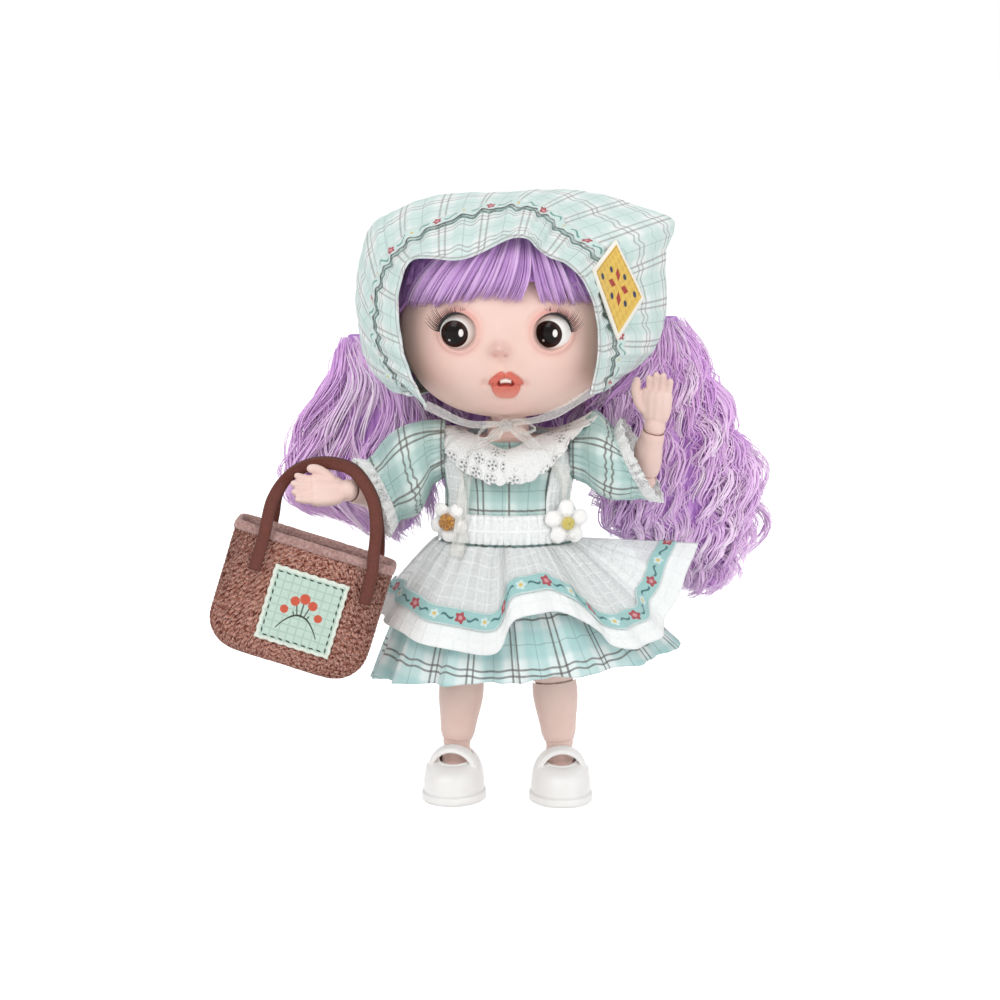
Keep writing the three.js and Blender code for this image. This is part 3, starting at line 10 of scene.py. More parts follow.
import bmesh
import bpy
import numpy as np
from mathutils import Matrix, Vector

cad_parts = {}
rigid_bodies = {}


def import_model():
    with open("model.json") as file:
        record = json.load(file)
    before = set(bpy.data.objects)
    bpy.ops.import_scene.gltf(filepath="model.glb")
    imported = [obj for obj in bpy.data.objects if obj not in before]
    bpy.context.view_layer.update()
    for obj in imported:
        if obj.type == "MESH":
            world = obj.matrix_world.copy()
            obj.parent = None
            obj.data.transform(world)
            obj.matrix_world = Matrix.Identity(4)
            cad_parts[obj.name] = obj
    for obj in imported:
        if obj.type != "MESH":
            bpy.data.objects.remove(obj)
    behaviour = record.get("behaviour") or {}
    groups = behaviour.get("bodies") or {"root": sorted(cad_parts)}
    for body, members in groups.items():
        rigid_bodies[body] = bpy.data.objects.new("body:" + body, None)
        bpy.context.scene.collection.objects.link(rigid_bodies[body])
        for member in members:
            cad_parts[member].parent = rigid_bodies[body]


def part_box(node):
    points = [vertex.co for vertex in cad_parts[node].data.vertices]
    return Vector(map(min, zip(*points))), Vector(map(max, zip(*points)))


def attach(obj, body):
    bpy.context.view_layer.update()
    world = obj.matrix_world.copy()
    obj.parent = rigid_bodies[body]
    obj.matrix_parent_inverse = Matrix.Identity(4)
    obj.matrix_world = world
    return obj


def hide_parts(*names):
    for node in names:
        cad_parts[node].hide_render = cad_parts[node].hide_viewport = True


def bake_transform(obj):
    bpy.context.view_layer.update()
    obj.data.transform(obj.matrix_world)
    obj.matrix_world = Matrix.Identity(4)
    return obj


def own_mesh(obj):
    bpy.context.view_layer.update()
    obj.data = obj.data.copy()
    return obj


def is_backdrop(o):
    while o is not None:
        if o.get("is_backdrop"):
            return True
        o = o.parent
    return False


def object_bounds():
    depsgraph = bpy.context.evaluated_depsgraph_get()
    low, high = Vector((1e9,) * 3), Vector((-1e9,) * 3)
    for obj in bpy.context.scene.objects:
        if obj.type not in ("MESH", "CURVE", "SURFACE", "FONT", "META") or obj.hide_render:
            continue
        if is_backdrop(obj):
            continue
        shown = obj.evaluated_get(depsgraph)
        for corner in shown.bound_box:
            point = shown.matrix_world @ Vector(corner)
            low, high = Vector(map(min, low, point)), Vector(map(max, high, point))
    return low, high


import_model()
CAD_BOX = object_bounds()
LOG = logging.getLogger("doll")
MM = 0.001
AXIS = np.array([4.9, -0.2, 0.0])
LEANING = np.array([0.31, 0.93, 0.17])
TAU = 2 * math.pi
Array = np.ndarray
Number = np.ndarray | float
Colour = tuple[float, float, float]
Place = tuple[float, float, float]
Piece = bpy.types.Object


class Held(Enum):
    """How a sheet of cloth is held."""

    DRAPED = "draped"
    GATHERED = "gathered"
    HUNG = "hung"
    STRETCHED = "stretched"


class Side(Enum):
    """The doll's own left, toward +X, and right."""

    LEFT = 1
    RIGHT = -1

    @property
    def word(self) -> str:
        """Name the side as the bodies do."""
        return self.name.lower()


@dataclass(frozen=True)
class Bend:
    """Two bodies that a piece lies between, and the places where it starts and ends."""

    first: str
    second: str
    start: Place
    end: Place


def display(red: int, green: int, blue: int) -> Colour:
    """Turn a display colour of 0 to 255 into the linear one that a shader takes."""
    shares = (red / 255, green / 255, blue / 255)
    return tuple(c / 12.92 if c <= 0.04045 else ((c + 0.055) / 1.055) ** 2.4 for c in shares)


def vec(x: float, y: float, z: float) -> Array:
    """Return a point in millimetres on the doll's own axis."""
    return np.array([x, y, z], float)


def unit(v: Array) -> Array:
    """Scale vectors along the last axis to length one."""
    return v / np.maximum(np.linalg.norm(v, axis=-1, keepdims=True), 1e-9)


def ease(x: Array, low: float, high: float) -> Array:
    """Rise smoothly from 0 at low to 1 at high: three t squared less two t cubed."""
    t = np.clip((x - low) / (high - low), 0, 1)
    return t * t * (3 - 2 * t)


def mix(a: Number, b: Number, t: Number) -> Number:
    """Go straight from a to b by the share t."""
    return a + (b - a) * t


def bell(x: Number, width: float) -> Number:
    """Fall off round 0: e to minus the square of x over the width."""
    return np.exp(-(x / width) ** 2)


def squared(w: Array, power: float) -> Array:
    """Raise a sine or cosine to a power and keep its sign, which squares an oval's corners."""
    return np.sign(w) * np.abs(w) ** power


def even(count: int) -> Array:
    """Give even shares from 0 to 1."""
    return np.linspace(0, 1, count)


def circle(count: int) -> Array:
    """Give even angles once round, the last at the first one's place."""
    return np.linspace(0, TAU, count)


def points(x: Number, y: Number, z: Number) -> Array:
    """Join coordinates, spread over one another, into points."""
    return np.stack(np.broadcast_arrays(x, y, z), -1)


def capped(grid: Array) -> Array:
    """Shut a grid at the middles of its first and last rows."""
    first, last = (np.broadcast_to(grid[k].mean(0), (1, *grid.shape[1:])) for k in (0, -1))
    return np.concatenate([first, grid, last])


def swept(line: Array, side: Array, over: Array, x: Array, y: Array) -> Array:
    """Carry an outline, x to the side and y over it, along a line."""
    return line[..., None, :] + side[..., None, :] * x[..., None] + over[..., None, :] * y[..., None]


def axes(line: Array, helper: Array, along: int = 0) -> tuple[Array, Array]:
    """Give the two directions across a line: its own crossed with a helper, and the two crossed."""
    tangent = unit(np.gradient(line, axis=along))
    side = unit(np.cross(tangent, helper))
    return side, np.cross(tangent, side)


def ball_grid(centre: Array, radii: Sequence[float], columns: int, rows: int) -> Array:
    """Give a ball as rings: cosine of the rise by sine and cosine round it, and the rise's sine."""
    turn, rise = circle(columns), np.linspace(-math.pi / 2, math.pi / 2, rows)[:, None]
    spread = np.cos(rise)
    return centre + np.array(radii) * points(spread * np.sin(turn), spread * np.cos(turn), np.sin(rise))


def turned(p: Array, axis: Array, angle: float) -> Array:
    """Turn vectors about an axis.

    The part along the axis stays, and the rest is mixed with its cross product by cosine and sine.

    Args:
        p: Vectors to turn.
        axis: Unit axis.
        angle: Angle in radians.

    Returns:
        The turned vectors.
    """
    along = (p @ axis)[..., None] * axis
    return along + (p - along) * math.cos(angle) + np.cross(axis, p) * math.sin(angle)


def route(rows: Sequence, shares: Array, closed: bool = False) -> Array:
    """Follow a centripetal spline through points.

    Each span is a cubic whose end slopes come from its neighbours, weighted by the fourth root of
    the squared distances between the points.

    Args:
        rows: Points or table rows that the curve passes.
        shares: Places along it from 0 to 1.
        closed: Whether the last point leads back to the first.

    Returns:
        One row for each share.
    """
    p = np.asarray(rows, float)
    count = len(p)
    s = np.asarray(shares, float) * (count if closed else count - 1)
    i = np.floor(s).astype(int)
    if closed:
        p0, p1, p2, p3 = (p[(i + k) % count] for k in (-1, 0, 1, 2))
    else:
        i = np.clip(i, 0, count - 2)
        padded = np.vstack([2 * p[0] - p[1], p, 2 * p[-1] - p[-2]])
        p0, p1, p2, p3 = (padded[i + k] for k in range(4))
    spans = (p1 - p0, p2 - p1, p3 - p2)
    d0, d1, d2 = (np.sum(span ** 2, axis=-1, keepdims=True) ** 0.25 for span in spans)
    d1 = np.where(d1 < 1e-4, 1, d1)
    d0, d2 = np.where(d0 < 1e-4, d1, d0), np.where(d2 < 1e-4, d1, d2)
    t1 = ((p1 - p0) / d0 - (p2 - p0) / (d0 + d1) + (p2 - p1) / d1) * d1
    t2 = ((p2 - p1) / d1 - (p3 - p1) / (d1 + d2) + (p3 - p2) / d2) * d1
    w = (s - i)[..., None]
    return p1 + t1 * w + (3 * (p2 - p1) - 2 * t1 - t2) * w ** 2 + (2 * (p1 - p2) + t1 + t2) * w ** 3


def smoothed(values: Sequence[float], shares: Array) -> Array:
    """Read a table of evenly spaced numbers at shares of its length, eased between them."""
    return route(np.stack([np.arange(len(values)), values], -1), shares)[..., 1]


def grid_normals(grid: Array, wrap: bool) -> Array:
    """Cross the differences along a grid's rows and columns to get its unit normals.

    Args:
        grid: Points, rows by columns by 3.
        wrap: Whether the last column repeats the first.

    Returns:
        Normals in the same layout.
    """
    if wrap:
        ring = grid[:, :-1]
        across = np.roll(ring, -1, 1) - np.roll(ring, 1, 1)
        across = np.concatenate([across, across[:, :1]], 1)
    else:
        across = np.gradient(grid, axis=1)
    return unit(np.cross(across, np.gradient(grid, axis=0)))


def grid_faces(rows: int, columns: int) -> Array:
    """List the four corners of each face of a grid whose points are numbered row by row."""
    i, j = np.meshgrid(np.arange(rows - 1), np.arange(columns - 1), indexing="ij")
    a = (i * columns + j).ravel()
    return np.stack([a, a + 1, a + columns + 1, a + columns], -1)


def volume(p: Array, faces: Array) -> float:
    """Add the signed volumes of the cones from the origin to each half face."""
    a, b, c, d = (p[faces[:, k]] for k in range(4))
    return float(np.sum(a * np.cross(b, c)) + np.sum(a * np.cross(c, d)))


def smooth_faces(mesh: bpy.types.Mesh) -> None:
    """Shade every face smoothly."""
    mesh.polygons.foreach_set("use_smooth", np.ones(len(mesh.polygons), dtype=bool))


def mesh_piece(
    name: str, p: Array, faces: Array, uv: Array | None = None, tones: dict[str, Array] | None = None,
    turn: bool = True,
) -> Piece:
    """Make an object of four-sided faces, with its place in its mesh and points at one place merged.

    Args:
        name: Name of the piece.
        p: Points in millimetres on the doll's axis.
        faces: Four point numbers for each face.
        uv: Two cloth coordinates in millimetres for each point.
        tones: Numbers for each point, kept as named attributes.
        turn: Whether the faces are turned so that the volume inside is positive.

    Returns:
        The new object.
    """
    if turn and volume(p, faces) < 0:
        faces = faces[:, ::-1]
    mesh = bpy.data.meshes.new(name)
    count = len(faces)
    mesh.vertices.add(len(p))
    mesh.vertices.foreach_set("co", ((p + AXIS) * MM).astype(np.float32).ravel())
    mesh.loops.add(4 * count)
    mesh.loops.foreach_set("vertex_index", faces.astype(np.int32).ravel())
    mesh.polygons.add(count)
    mesh.polygons.foreach_set("loop_start", np.arange(0, 4 * count, 4, dtype=np.int32))
    mesh.polygons.foreach_set("loop_total", np.full(count, 4, dtype=np.int32))
    if uv is not None:
        mesh.uv_layers.new(name="cloth").data.foreach_set("uv", uv[faces].astype(np.float32).ravel())
    for tone, values in (tones or {}).items():
        mesh.attributes.new(tone, "FLOAT", "POINT").data.foreach_set("value", values.astype(np.float32).ravel())
    mesh.update(calc_edges=True)
    mesh.validate()
    work = bmesh.new()
    work.from_mesh(mesh)
    bmesh.ops.remove_doubles(work, verts=work.verts, dist=1e-7)
    bmesh.ops.dissolve_degenerate(work, edges=work.edges, dist=1e-7)
    work.to_mesh(mesh)
    work.free()
    smooth_faces(mesh)
    piece = bpy.data.objects.new(name, mesh)
    bpy.context.scene.collection.objects.link(piece)
    return piece


def grid_uv(grid: Array) -> Array:
    """Measure a grid's cloth coordinates.

    Across is each point's mean distance along its row, and down is its distance from the first row
    along its own column, both in millimetres.

    Args:
        grid: Points, rows by columns by 3.

    Returns:
        Two coordinates for each point.
    """
    across = np.linalg.norm(np.diff(grid, axis=1), axis=-1).mean(0)
    down = np.linalg.norm(np.diff(grid, axis=0), axis=-1)
    v = np.concatenate([np.zeros((1, grid.shape[1])), np.cumsum(down, 0)])
    return np.stack([np.broadcast_to(np.concatenate([[0], np.cumsum(across)]), v.shape), v], -1)


def row_lengths(row: Array) -> Array:
    """Add up the distances along one row, from 0."""
    return np.concatenate([[0], np.cumsum(np.linalg.norm(np.diff(row, axis=0), axis=-1))])


def closed_grid(
    name: str, grid: Array, uv: Array | None = None, tones: dict[str, Array] | None = None,
) -> Piece:
    """Make a closed body from a grid whose ends already meet or shut in a point."""
    flat = None if uv is None else uv.reshape(-1, 2)
    return mesh_piece(name, grid.reshape(-1, 3), grid_faces(*grid.shape[:2]), flat, tones)


def cloth(
    name: str, grid: Array, thickness: float = 0.4, wrap: bool = False, uv: Array | None = None,
    flip: bool = False,
) -> Piece:
    """Make a sheet with a thickness from a grid of points.

    The second side is the first moved along its normals, and a narrow face joins the two along
    each free edge.

    Args:
        name: Name of the piece.
        grid: Points of one side, rows by columns by 3.
        thickness: Thickness in millimetres.
        wrap: Whether the last column repeats the first.
        uv: Cloth coordinates, measured from the grid when left out.
        flip: Whether the second side lies against the normals.

    Returns:
        The new object.
    """
    rows, columns = grid.shape[:2]
    uv = grid_uv(grid) if uv is None else uv
    shift = grid_normals(grid, wrap) * (-thickness if flip else thickness)
    size = rows * columns
    front = grid_faces(rows, columns)
    faces = [front[:, ::-1], front + size]
    index = np.arange(size).reshape(rows, columns)
    edges = [index[0], index[-1][::-1]] + ([] if wrap else [index[::-1, 0], index[:, -1]])
    faces += [np.stack([edge[:-1], edge[1:], edge[1:] + size, edge[:-1] + size], -1) for edge in edges]
    both = np.concatenate([grid.reshape(-1, 3), (grid + shift).reshape(-1, 3)])
    return mesh_piece(name, both, np.concatenate(faces), np.tile(uv.reshape(-1, 2), (2, 1)))


def strands(name: str, paths: Array, radii: Array, tones: Array | None = None) -> Piece:
    """Make many thin closed tubes in one mesh.

    Round each path lie rings of four points at cosine and sine of even turns, in the plane across
    the path's direction; one face shuts each end.

    Args:
        name: Name of the piece.
        paths: Strands by points by 3.
        radii: Strands by points.
        tones: One number for each strand.

    Returns:
        The new object.
    """
    count, steps = paths.shape[:2]
    corners = np.arange(4)
    turn = (corners + 0.5) * TAU / 4
    side, over = axes(paths, LEANING, 1)
    grid = swept(paths, side, over, radii[..., None] * np.cos(turn), radii[..., None] * np.sin(turn))
    base = (np.arange(count)[:, None, None] * steps + np.arange(steps - 1)[:, None]) * 4
    after = (corners + 1) % 4
    faces = np.stack([base + corners, base + after, base + after + 4, base + corners + 4], -1).reshape(-1, 4)
    first = np.arange(count)[:, None] * steps * 4
    along = np.tile(np.repeat(even(steps), 4), count)
    tone = (np.zeros(count) if tones is None else tones)[np.repeat(np.arange(count), steps * 4)]
    faces = np.concatenate([faces, first + corners[::-1], first + (steps - 1) * 4 + corners])
    tones = {"tone": tone, "along": along}
    return mesh_piece(name, grid.reshape(-1, 3), faces, np.stack([tone, along], -1), tones, False)


def tube(name: str, path: Array, radius: Number, sides: int = 20) -> Piece:
    """Make one closed tube along a path, with both ends drawn in to a point.

    Args:
        name: Name of the piece.
        path: Points by 3.
        radius: A radius for each point, or one for all.
        sides: Corners of each ring.

    Returns:
        The new object.
    """
    turn = circle(sides + 1)
    radius = np.broadcast_to(radius, len(path))[:, None]
    grid = swept(path, *axes(path, LEANING), radius * np.cos(turn), radius * np.sin(turn))
    ends = [np.broadcast_to(path[k], (1, sides + 1, 3)) for k in (0, -1)]
    grid = np.concatenate([ends[0], grid, ends[1]])
    return closed_grid(name, grid, grid_uv(grid))


def evaluated(piece: Piece) -> None:
    """Apply a piece's modifiers to its mesh, which keeps its place."""
    graph = bpy.context.evaluated_depsgraph_get()
    mesh = bpy.data.meshes.new_from_object(piece.evaluated_get(graph))
    piece.modifiers.clear()
    piece.data = mesh
    smooth_faces(mesh)


def fused(name: str, parts: Sequence[Piece], voxel: float, rounds: int) -> Piece:
    """Join closed bodies, fuse them by voxels and smooth the joins.

    Args:
        name: Name of the new piece.
        parts: Bodies that overlap, which go into the new piece.
        voxel: Voxel size in millimetres.
        rounds: Rounds of smoothing.

    Returns:
        The new object.
    """
    work = bmesh.new()
    for part in parts:
        work.from_mesh(part.data)
        bpy.data.objects.remove(part)
    mesh = bpy.data.meshes.new(name)
    work.to_mesh(mesh)
    work.free()
    piece = bpy.data.objects.new(name, mesh)
    bpy.context.scene.collection.objects.link(piece)
    fuse = piece.modifiers.new("fuse", "REMESH")
    fuse.mode = "VOXEL"
    fuse.voxel_size = voxel * MM
    piece.modifiers.new("soften", "SMOOTH").iterations = rounds
    evaluated(piece)
    return piece


def down_columns(grid: Array, distances: Array) -> Array:
    """Read a grid's columns at distances from their first point.

    Lengths are summed down each column and the two points that enclose the distance are mixed.

    Args:
        grid: Points, rows by columns.
        distances: One distance in millimetres for each row of the result.

    Returns:
        A row of points for each distance.
    """
    distance = np.broadcast_to(distances[:, None], (len(distances), grid.shape[1]))
    steps = np.linalg.norm(np.diff(grid, axis=0), axis=-1)
    length = np.concatenate([np.zeros((1, grid.shape[1])), np.cumsum(steps, 0)])
    i = np.clip((length[None] <= distance[:, None]).sum(1) - 1, 0, grid.shape[0] - 2)
    j = np.broadcast_to(np.arange(grid.shape[1]), i.shape)
    share = (distance - length[i, j]) / np.maximum(length[i + 1, j] - length[i, j], 1e-9)
    return mix(grid[i, j], grid[i + 1, j], np.clip(share, 0, 1)[..., None])


def declare_sheet(
    piece: Piece, grid: Array, held: Held,
) -> None:
    """Log a sheet of cloth's size, measured on the grid that it was made from.

    Its flat width is the longest row, its length the longest column, and its area the sum of the
    grid's faces.

    Args:
        piece: The finished piece.
        grid: Points of one side in millimetres.
        held: Not used.
    """
    width, length = (np.linalg.norm(np.diff(grid, axis=k), axis=-1).sum(k).max() * MM for k in (1, 0))
    a, b, c, d = grid[:-1, :-1], grid[:-1, 1:], grid[1:, 1:], grid[1:, :-1]
    halves = np.linalg.norm(np.cross(b - a, c - a), axis=-1) + np.linalg.norm(np.cross(c - a, d - a), axis=-1)
    area = min(float(halves.sum() / 2 * MM * MM), float(width * length))
    float(max(width, 0.01))
    float(max(length, 0.01))
    LOG.info("sheet %s: %.0f x %.0f mm, %.0f mm2", piece.name, width / MM, length / MM, area / MM / MM)


def dress(piece: Piece, look: "Finish", slot: str, body: str | Bend, *nodes: str) -> Piece:
    """Give a piece its finish, fix it to its body or bake its place when it lies between two, and hide the CAD
    nodes that it stands for.

    Args:
        piece: The new piece.
        look: Its finish.
        slot: Not used.
        body: The body that it rides, or the two that it lies between, which leave its place baked.
        *nodes: CAD nodes that it stands for.

    Returns:
        The same piece.
    """
    look.on(piece)
    if isinstance(body, Bend):
        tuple(body.start)
        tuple(body.end)
        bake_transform(piece)
    else:
        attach(piece, body)
    if nodes:
        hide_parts(*nodes)
    return piece


def press_up(piece: Piece, side: Side) -> None:
    """Give a piece its own copy of its mesh."""
    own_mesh(piece)


class Socket:
    """A number on its way through a finish's nodes, used in plain sums."""

    def __init__(self, shader: "Shader", out: bpy.types.NodeSocket) -> None:
        """Keep the shader and the output that carries the number."""
        self.shader = shader
        self.out = out

    def math(self, operation: str, *others: "Socket | float") -> "Socket":
        """Add one Math node with this number first."""
        return self.shader.math(operation, self, *others)

    def __add__(self, other: "Socket | float") -> "Socket":
        """Add."""
        return self.math("ADD", other)

    __radd__ = __add__

    def __sub__(self, other: "Socket | float") -> "Socket":
        """Take away."""
        return self.math("SUBTRACT", other)

    def __rsub__(self, other: float) -> "Socket":
        """Take this from a number."""
        return self.shader.math("SUBTRACT", other, self)

    def __mul__(self, other: "Socket | float") -> "Socket":
        """Multiply."""
        return self.math("MULTIPLY", other)

    __rmul__ = __mul__

    def __truediv__(self, other: "Socket | float") -> "Socket":
        """Divide."""
        return self.math("DIVIDE", other)

    def __mod__(self, other: float) -> "Socket":
        """Give what is left over a whole number of periods."""
        return self.math("FLOORED_MODULO", other)

    def __abs__(self) -> "Socket":
        """Drop the sign."""
        return self.math("ABSOLUTE")

    def sine(self, period: float | None = None) -> "Socket":
        """Give the sine of an angle, or of a length that comes back every period."""
        return (self if period is None else self * (TAU / period)).math("SINE")

    def hypot(self, other: "Socket") -> "Socket":
        """Give the root of the sum of two squares."""
        return (self * self + other * other).math("SQRT")

    def least(self, other: "Socket | float") -> "Socket":
        """Give the smaller of two."""
        return self.math("MINIMUM", other)

    def most(self, other: "Socket | float") -> "Socket":
        """Give the larger of two."""
        return self.math("MAXIMUM", other)

    def rise(self, low: float, high: float) -> "Socket":
        """Rise smoothly from 0 at low to 1 at high."""
        ends = (0.0, 1.0) if low <= high else (1.0, 0.0)
        values = {0: self, 1: min(low, high), 2: max(low, high), 3: ends[0], 4: ends[1]}
        return self.shader.node("ShaderNodeMapRange", {"interpolation_type": "SMOOTHSTEP"}, values)

    def nearest(self, place: float, period: float) -> "Socket":
        """Give the distance past the nearest of the places that come back every period."""
        return (self - (place - period / 2)) % period - period / 2

    def line(self, centre: float, width: float, period: float, soft: float = 0.12) -> "Socket":
        """Mark a line that comes back every period.

        Args:
            centre: Place of the line's middle.
            width: Width of the line.
            period: Distance to the next line.
            soft: Half width of its soft edge.

        Returns:
            1 on the line and 0 off it.
        """
        return abs(self.nearest(centre, period)).rise(width / 2 + soft, width / 2 - soft)


class Shader:
    """The node tree of one finish, or of the world."""

    def __init__(self, owner: bpy.types.Material | bpy.types.World) -> None:
        """Start the empty tree of a new material or world."""
        self.owner = owner
        owner.use_nodes = True
        self.tree = owner.node_tree
        self.tree.nodes.clear()

    def node(
        self, kind: str, settings: dict | None = None, values: dict | None = None, output: int | str = 0,
    ) -> Socket:
        """Add one node.

        Args:
            kind: Node type.
            settings: Options of the node, set first; "stops" fills a ramp.
            values: Numbers, colours or sockets for its inputs.
            output: Which output to give back.

        Returns:
            The chosen output.
        """
        made = self.tree.nodes.new(kind)
        settings = dict(settings or {})
        stops = settings.pop("stops", ())
        for _ in stops[2:]:
            made.color_ramp.elements.new(1.0)
        for element, (place, colour) in zip(made.color_ramp.elements if stops else (), stops):
            element.position = place
            element.color = (*colour, 1.0)
        for key, value in settings.items():
            setattr(made, key, value)
        for key, value in (values or {}).items():
            if isinstance(value, Socket):
                self.tree.links.new(value.out, made.inputs[key])
            elif isinstance(value, tuple) and made.inputs[key].type == "RGBA":
                made.inputs[key].default_value = (*value, 1.0)
            else:
                made.inputs[key].default_value = value
        return Socket(self, made.outputs[output] if made.outputs else None)

    def math(self, operation: str, *numbers: Socket | float) -> Socket:
        """Add one Math node."""
        return self.node("ShaderNodeMath", {"operation": operation}, dict(enumerate(numbers)))

    def place(self) -> Socket:
        """Give the place on the object in millimetres."""
        where = self.node("ShaderNodeTexCoord", output="Object")
        return self.node("ShaderNodeVectorMath", {"operation": "SCALE"}, {0: where, "Scale": 1 / MM})

    def weave(self) -> Socket:
        """Give the cloth coordinates in millimetres."""
        return self.node("ShaderNodeUVMap", {"uv_map": "cloth"}, output="UV")

    def tone(self, name: str) -> Socket:
        """Read a number kept on the mesh."""
        return self.node("ShaderNodeAttribute", {"attribute_name": name}, output="Fac")

    def split(self, vector: Socket) -> tuple[Socket, Socket, Socket]:
        """Take a vector's three parts."""
        first = self.node("ShaderNodeSeparateXYZ", values={0: vector})
        return tuple(Socket(self, out) for out in first.out.node.outputs)

    def across(self) -> tuple[Socket, Socket]:
        """Give both cloth coordinates."""
        return self.split(self.weave())[:2]

    def noise(self, vector: Socket, scale: float, detail: float = 3.0, rough: float = 0.55) -> Socket:
        """Give soft random values of a given scale per unit."""
        values = {"Vector": vector, "Scale": scale, "Detail": detail, "Roughness": rough}
        return self.node("ShaderNodeTexNoise", values=values)

    def slub(self, scale: float) -> Socket:
        """Give the unevenness of the cloth's threads."""
        return self.noise(self.weave(), scale)

    def blend(self, factor: Socket | float, a: Socket | Colour, b: Socket | Colour) -> Socket:
        """Mix two colours by the share of the second."""
        return self.node("ShaderNodeMix", {"data_type": "RGBA"}, {0: factor, 6: a, 7: b}, output=2)

    def ramp(self, number: Socket, *stops: tuple[float, Colour]) -> Socket:
        """Pick a colour by a number, between stops of a place and a colour."""
        return self.node("ShaderNodeValToRGB", {"stops": stops}, {0: number})

    def seen(self) -> Socket:
        """Tell whether a ray comes from the camera or off a gloss."""
        path = "ShaderNodeLightPath"
        return self.node(path, output="Is Camera Ray").most(self.node(path, output="Is Glossy Ray"))

    def bump(self, height: Socket) -> Socket:
        """Turn a height in millimetres into a normal."""
        return self.node("ShaderNodeBump", values={"Strength": 1.0, "Distance": MM, "Height": height})

    def finish(
        self, colour: Socket | Colour, roughness: Socket | float, height: Socket | None = None,
        alpha: Socket | float | None = None, **constants: Socket | float,
    ) -> bpy.types.Material:
        """Close the tree with its surface.

        Args:
            colour: Base colour.
            roughness: Roughness.
            height: Height in millimetres that gives the normal.
            alpha: Share that isn't see-through.
            **constants: Other sockets by name, with low lines for spaces.

        Returns:
            The material.
        """
        values = {"Base Color": colour, "Roughness": roughness}
        if height is not None:
            values["Normal"] = self.bump(height)
        if alpha is not None:
            values["Alpha"] = alpha
        values.update({key.replace("_", " "): value for key, value in constants.items()})
        surface = self.node("ShaderNodeBsdfPrincipled", values=values)
        self.node("ShaderNodeOutputMaterial", values={"Surface": surface})
        return self.owner


class Finish:
    """A finish that is made into a material once and then shared."""

    name: str
    made: dict = {}

    def start(self) -> Shader:
        """Start the tree of a new material."""
        return Shader(bpy.data.materials.new(self.name))

    def build(self) -> bpy.types.Material:
        """Make the material."""
        raise NotImplementedError

    def on(self, piece: Piece) -> None:
        """Put the finish on a piece in place of what it has."""
        if self not in Finish.made:
            Finish.made[self] = self.build()
        piece.data.materials.clear()
        piece.data.materials.append(Finish.made[self])


@dataclass(frozen=True)
class Vinyl(Finish):
    """Smooth doll vinyl with a faint mottle and a soft gloss."""

    name: str = "vinyl"
    base: Colour = display(239, 210, 200)
    deep: Colour = display(224, 179, 167)
    gloss: float = 0.42

    def build(self) -> bpy.types.Material:
        """Mottle the base with its deeper tone by two sizes of noise."""
        s = self.start()
        where = s.place()
        mottle = s.noise(where, 0.09, 4.0).rise(0.35, 0.8) * 0.35 + s.noise(where, 0.9, 2.0) * 0.1
        grain = s.noise(where, 3.0)
        colour = s.blend(mottle, self.base, self.deep)
        return s.finish(colour, grain * 0.1 + self.gloss, grain * 0.02, Sheen_Weight=0.12, Sheen_Roughness=0.5)


@dataclass(frozen=True)
class FacePaint(Finish):
    """Face vinyl with blush, painted lips, brow shade, painted shade under the nose and inside the eye wells,
    and fine lid lines, placed by the mesh's tones.
    """

    name: str = "face_paint"
    base: Colour = display(239, 206, 194)
    shade: Colour = display(220, 170, 158)
    blush: Colour = display(226, 150, 140)
    lips: Colour = display(218, 108, 90)
    lip_light: Colour = display(240, 156, 138)
    deep_lips: Colour = display(176, 64, 52)
    teeth: Colour = display(246, 232, 222)
    lash: Colour = display(34, 24, 24)

    def build(self) -> bpy.types.Material:
        """Lay the paints over the vinyl, one above the other."""
        s = self.start()
        where = s.place()
        streaks = s.noise(where, 1.6)
        lips = s.blend(streaks.rise(0.35, 0.75) * 0.55, self.lips, self.deep_lips)
        lips = s.blend(s.split(where)[2].rise(115.2, 111.4) * 0.6, lips, self.lip_light)
        colour = s.blend(s.noise(where, 0.08, 4.0).rise(0.4, 0.85) * 0.3, self.base, self.shade)
        # The liner tone holds the lid lines and the painted shade inside the eye wells; the blush tone holds
        # the blush and the painted shade under the nose.
        paints = {
            "blush": self.blush, "lips": lips, "mouth": self.deep_lips, "teeth": self.teeth, "liner": self.lash,
        }
        for tone, paint in paints.items():
            colour = s.blend(s.tone(tone), colour, paint)
        grain, gloss = s.noise(where, 3.0), s.tone("lips")
        return s.finish(colour, gloss * -0.2 + 0.46 + grain * 0.06, grain * 0.02 + streaks * gloss * 0.08)


@dataclass(frozen=True)
class EyeGloss(Finish):
    """A glossy white ball with a dark iris that has a brown rim and a painted light."""

    name: str
    middle: tuple[float, float]
    radius: float = 3.55
    white: Colour = display(247, 244, 240)
    dark: Colour = display(16, 8, 8)
    brown: Colour = display(64, 30, 22)
    # Place of the painted highlight, measured from the iris's middle.
    light: tuple[float, float] = (1.75, 0.35)

    def build(self) -> bpy.types.Material:
        """Measure the distance from the iris's middle across the front and pick the paint by it."""
        s = self.start()
        x, _, z = s.split(s.place())
        across, up = x - self.middle[0], z - self.middle[1]
        away = across.hypot(up)
        ring = away.rise(self.radius * 0.62, self.radius * 0.9) * away.rise(self.radius, self.radius * 0.86)
        iris = s.blend(ring * (s.noise(s.place(), 1.4, 2.0) * 0.7 + 0.25), self.dark, self.brown)
        colour = s.blend(away.rise(self.radius + 0.12, self.radius - 0.12), self.white, iris)
        # Painted highlights: a white spot at the highlight's place and a smaller one below and beside the
        # iris's middle.
        wide, tall = (across - self.light[0]) / 0.62, (up - self.light[1]) / 0.98
        low = (across + 1.3).hypot(up + 1.6).rise(0.42, 0.2) * 0.5
        colour = s.blend(wide.hypot(tall).rise(1.15, 0.85).most(low) * 0.93, colour, self.white)
        return s.finish(colour, 0.12, Coat_Weight=0.08, Coat_Roughness=0.03, Specular_IOR_Level=0.12)


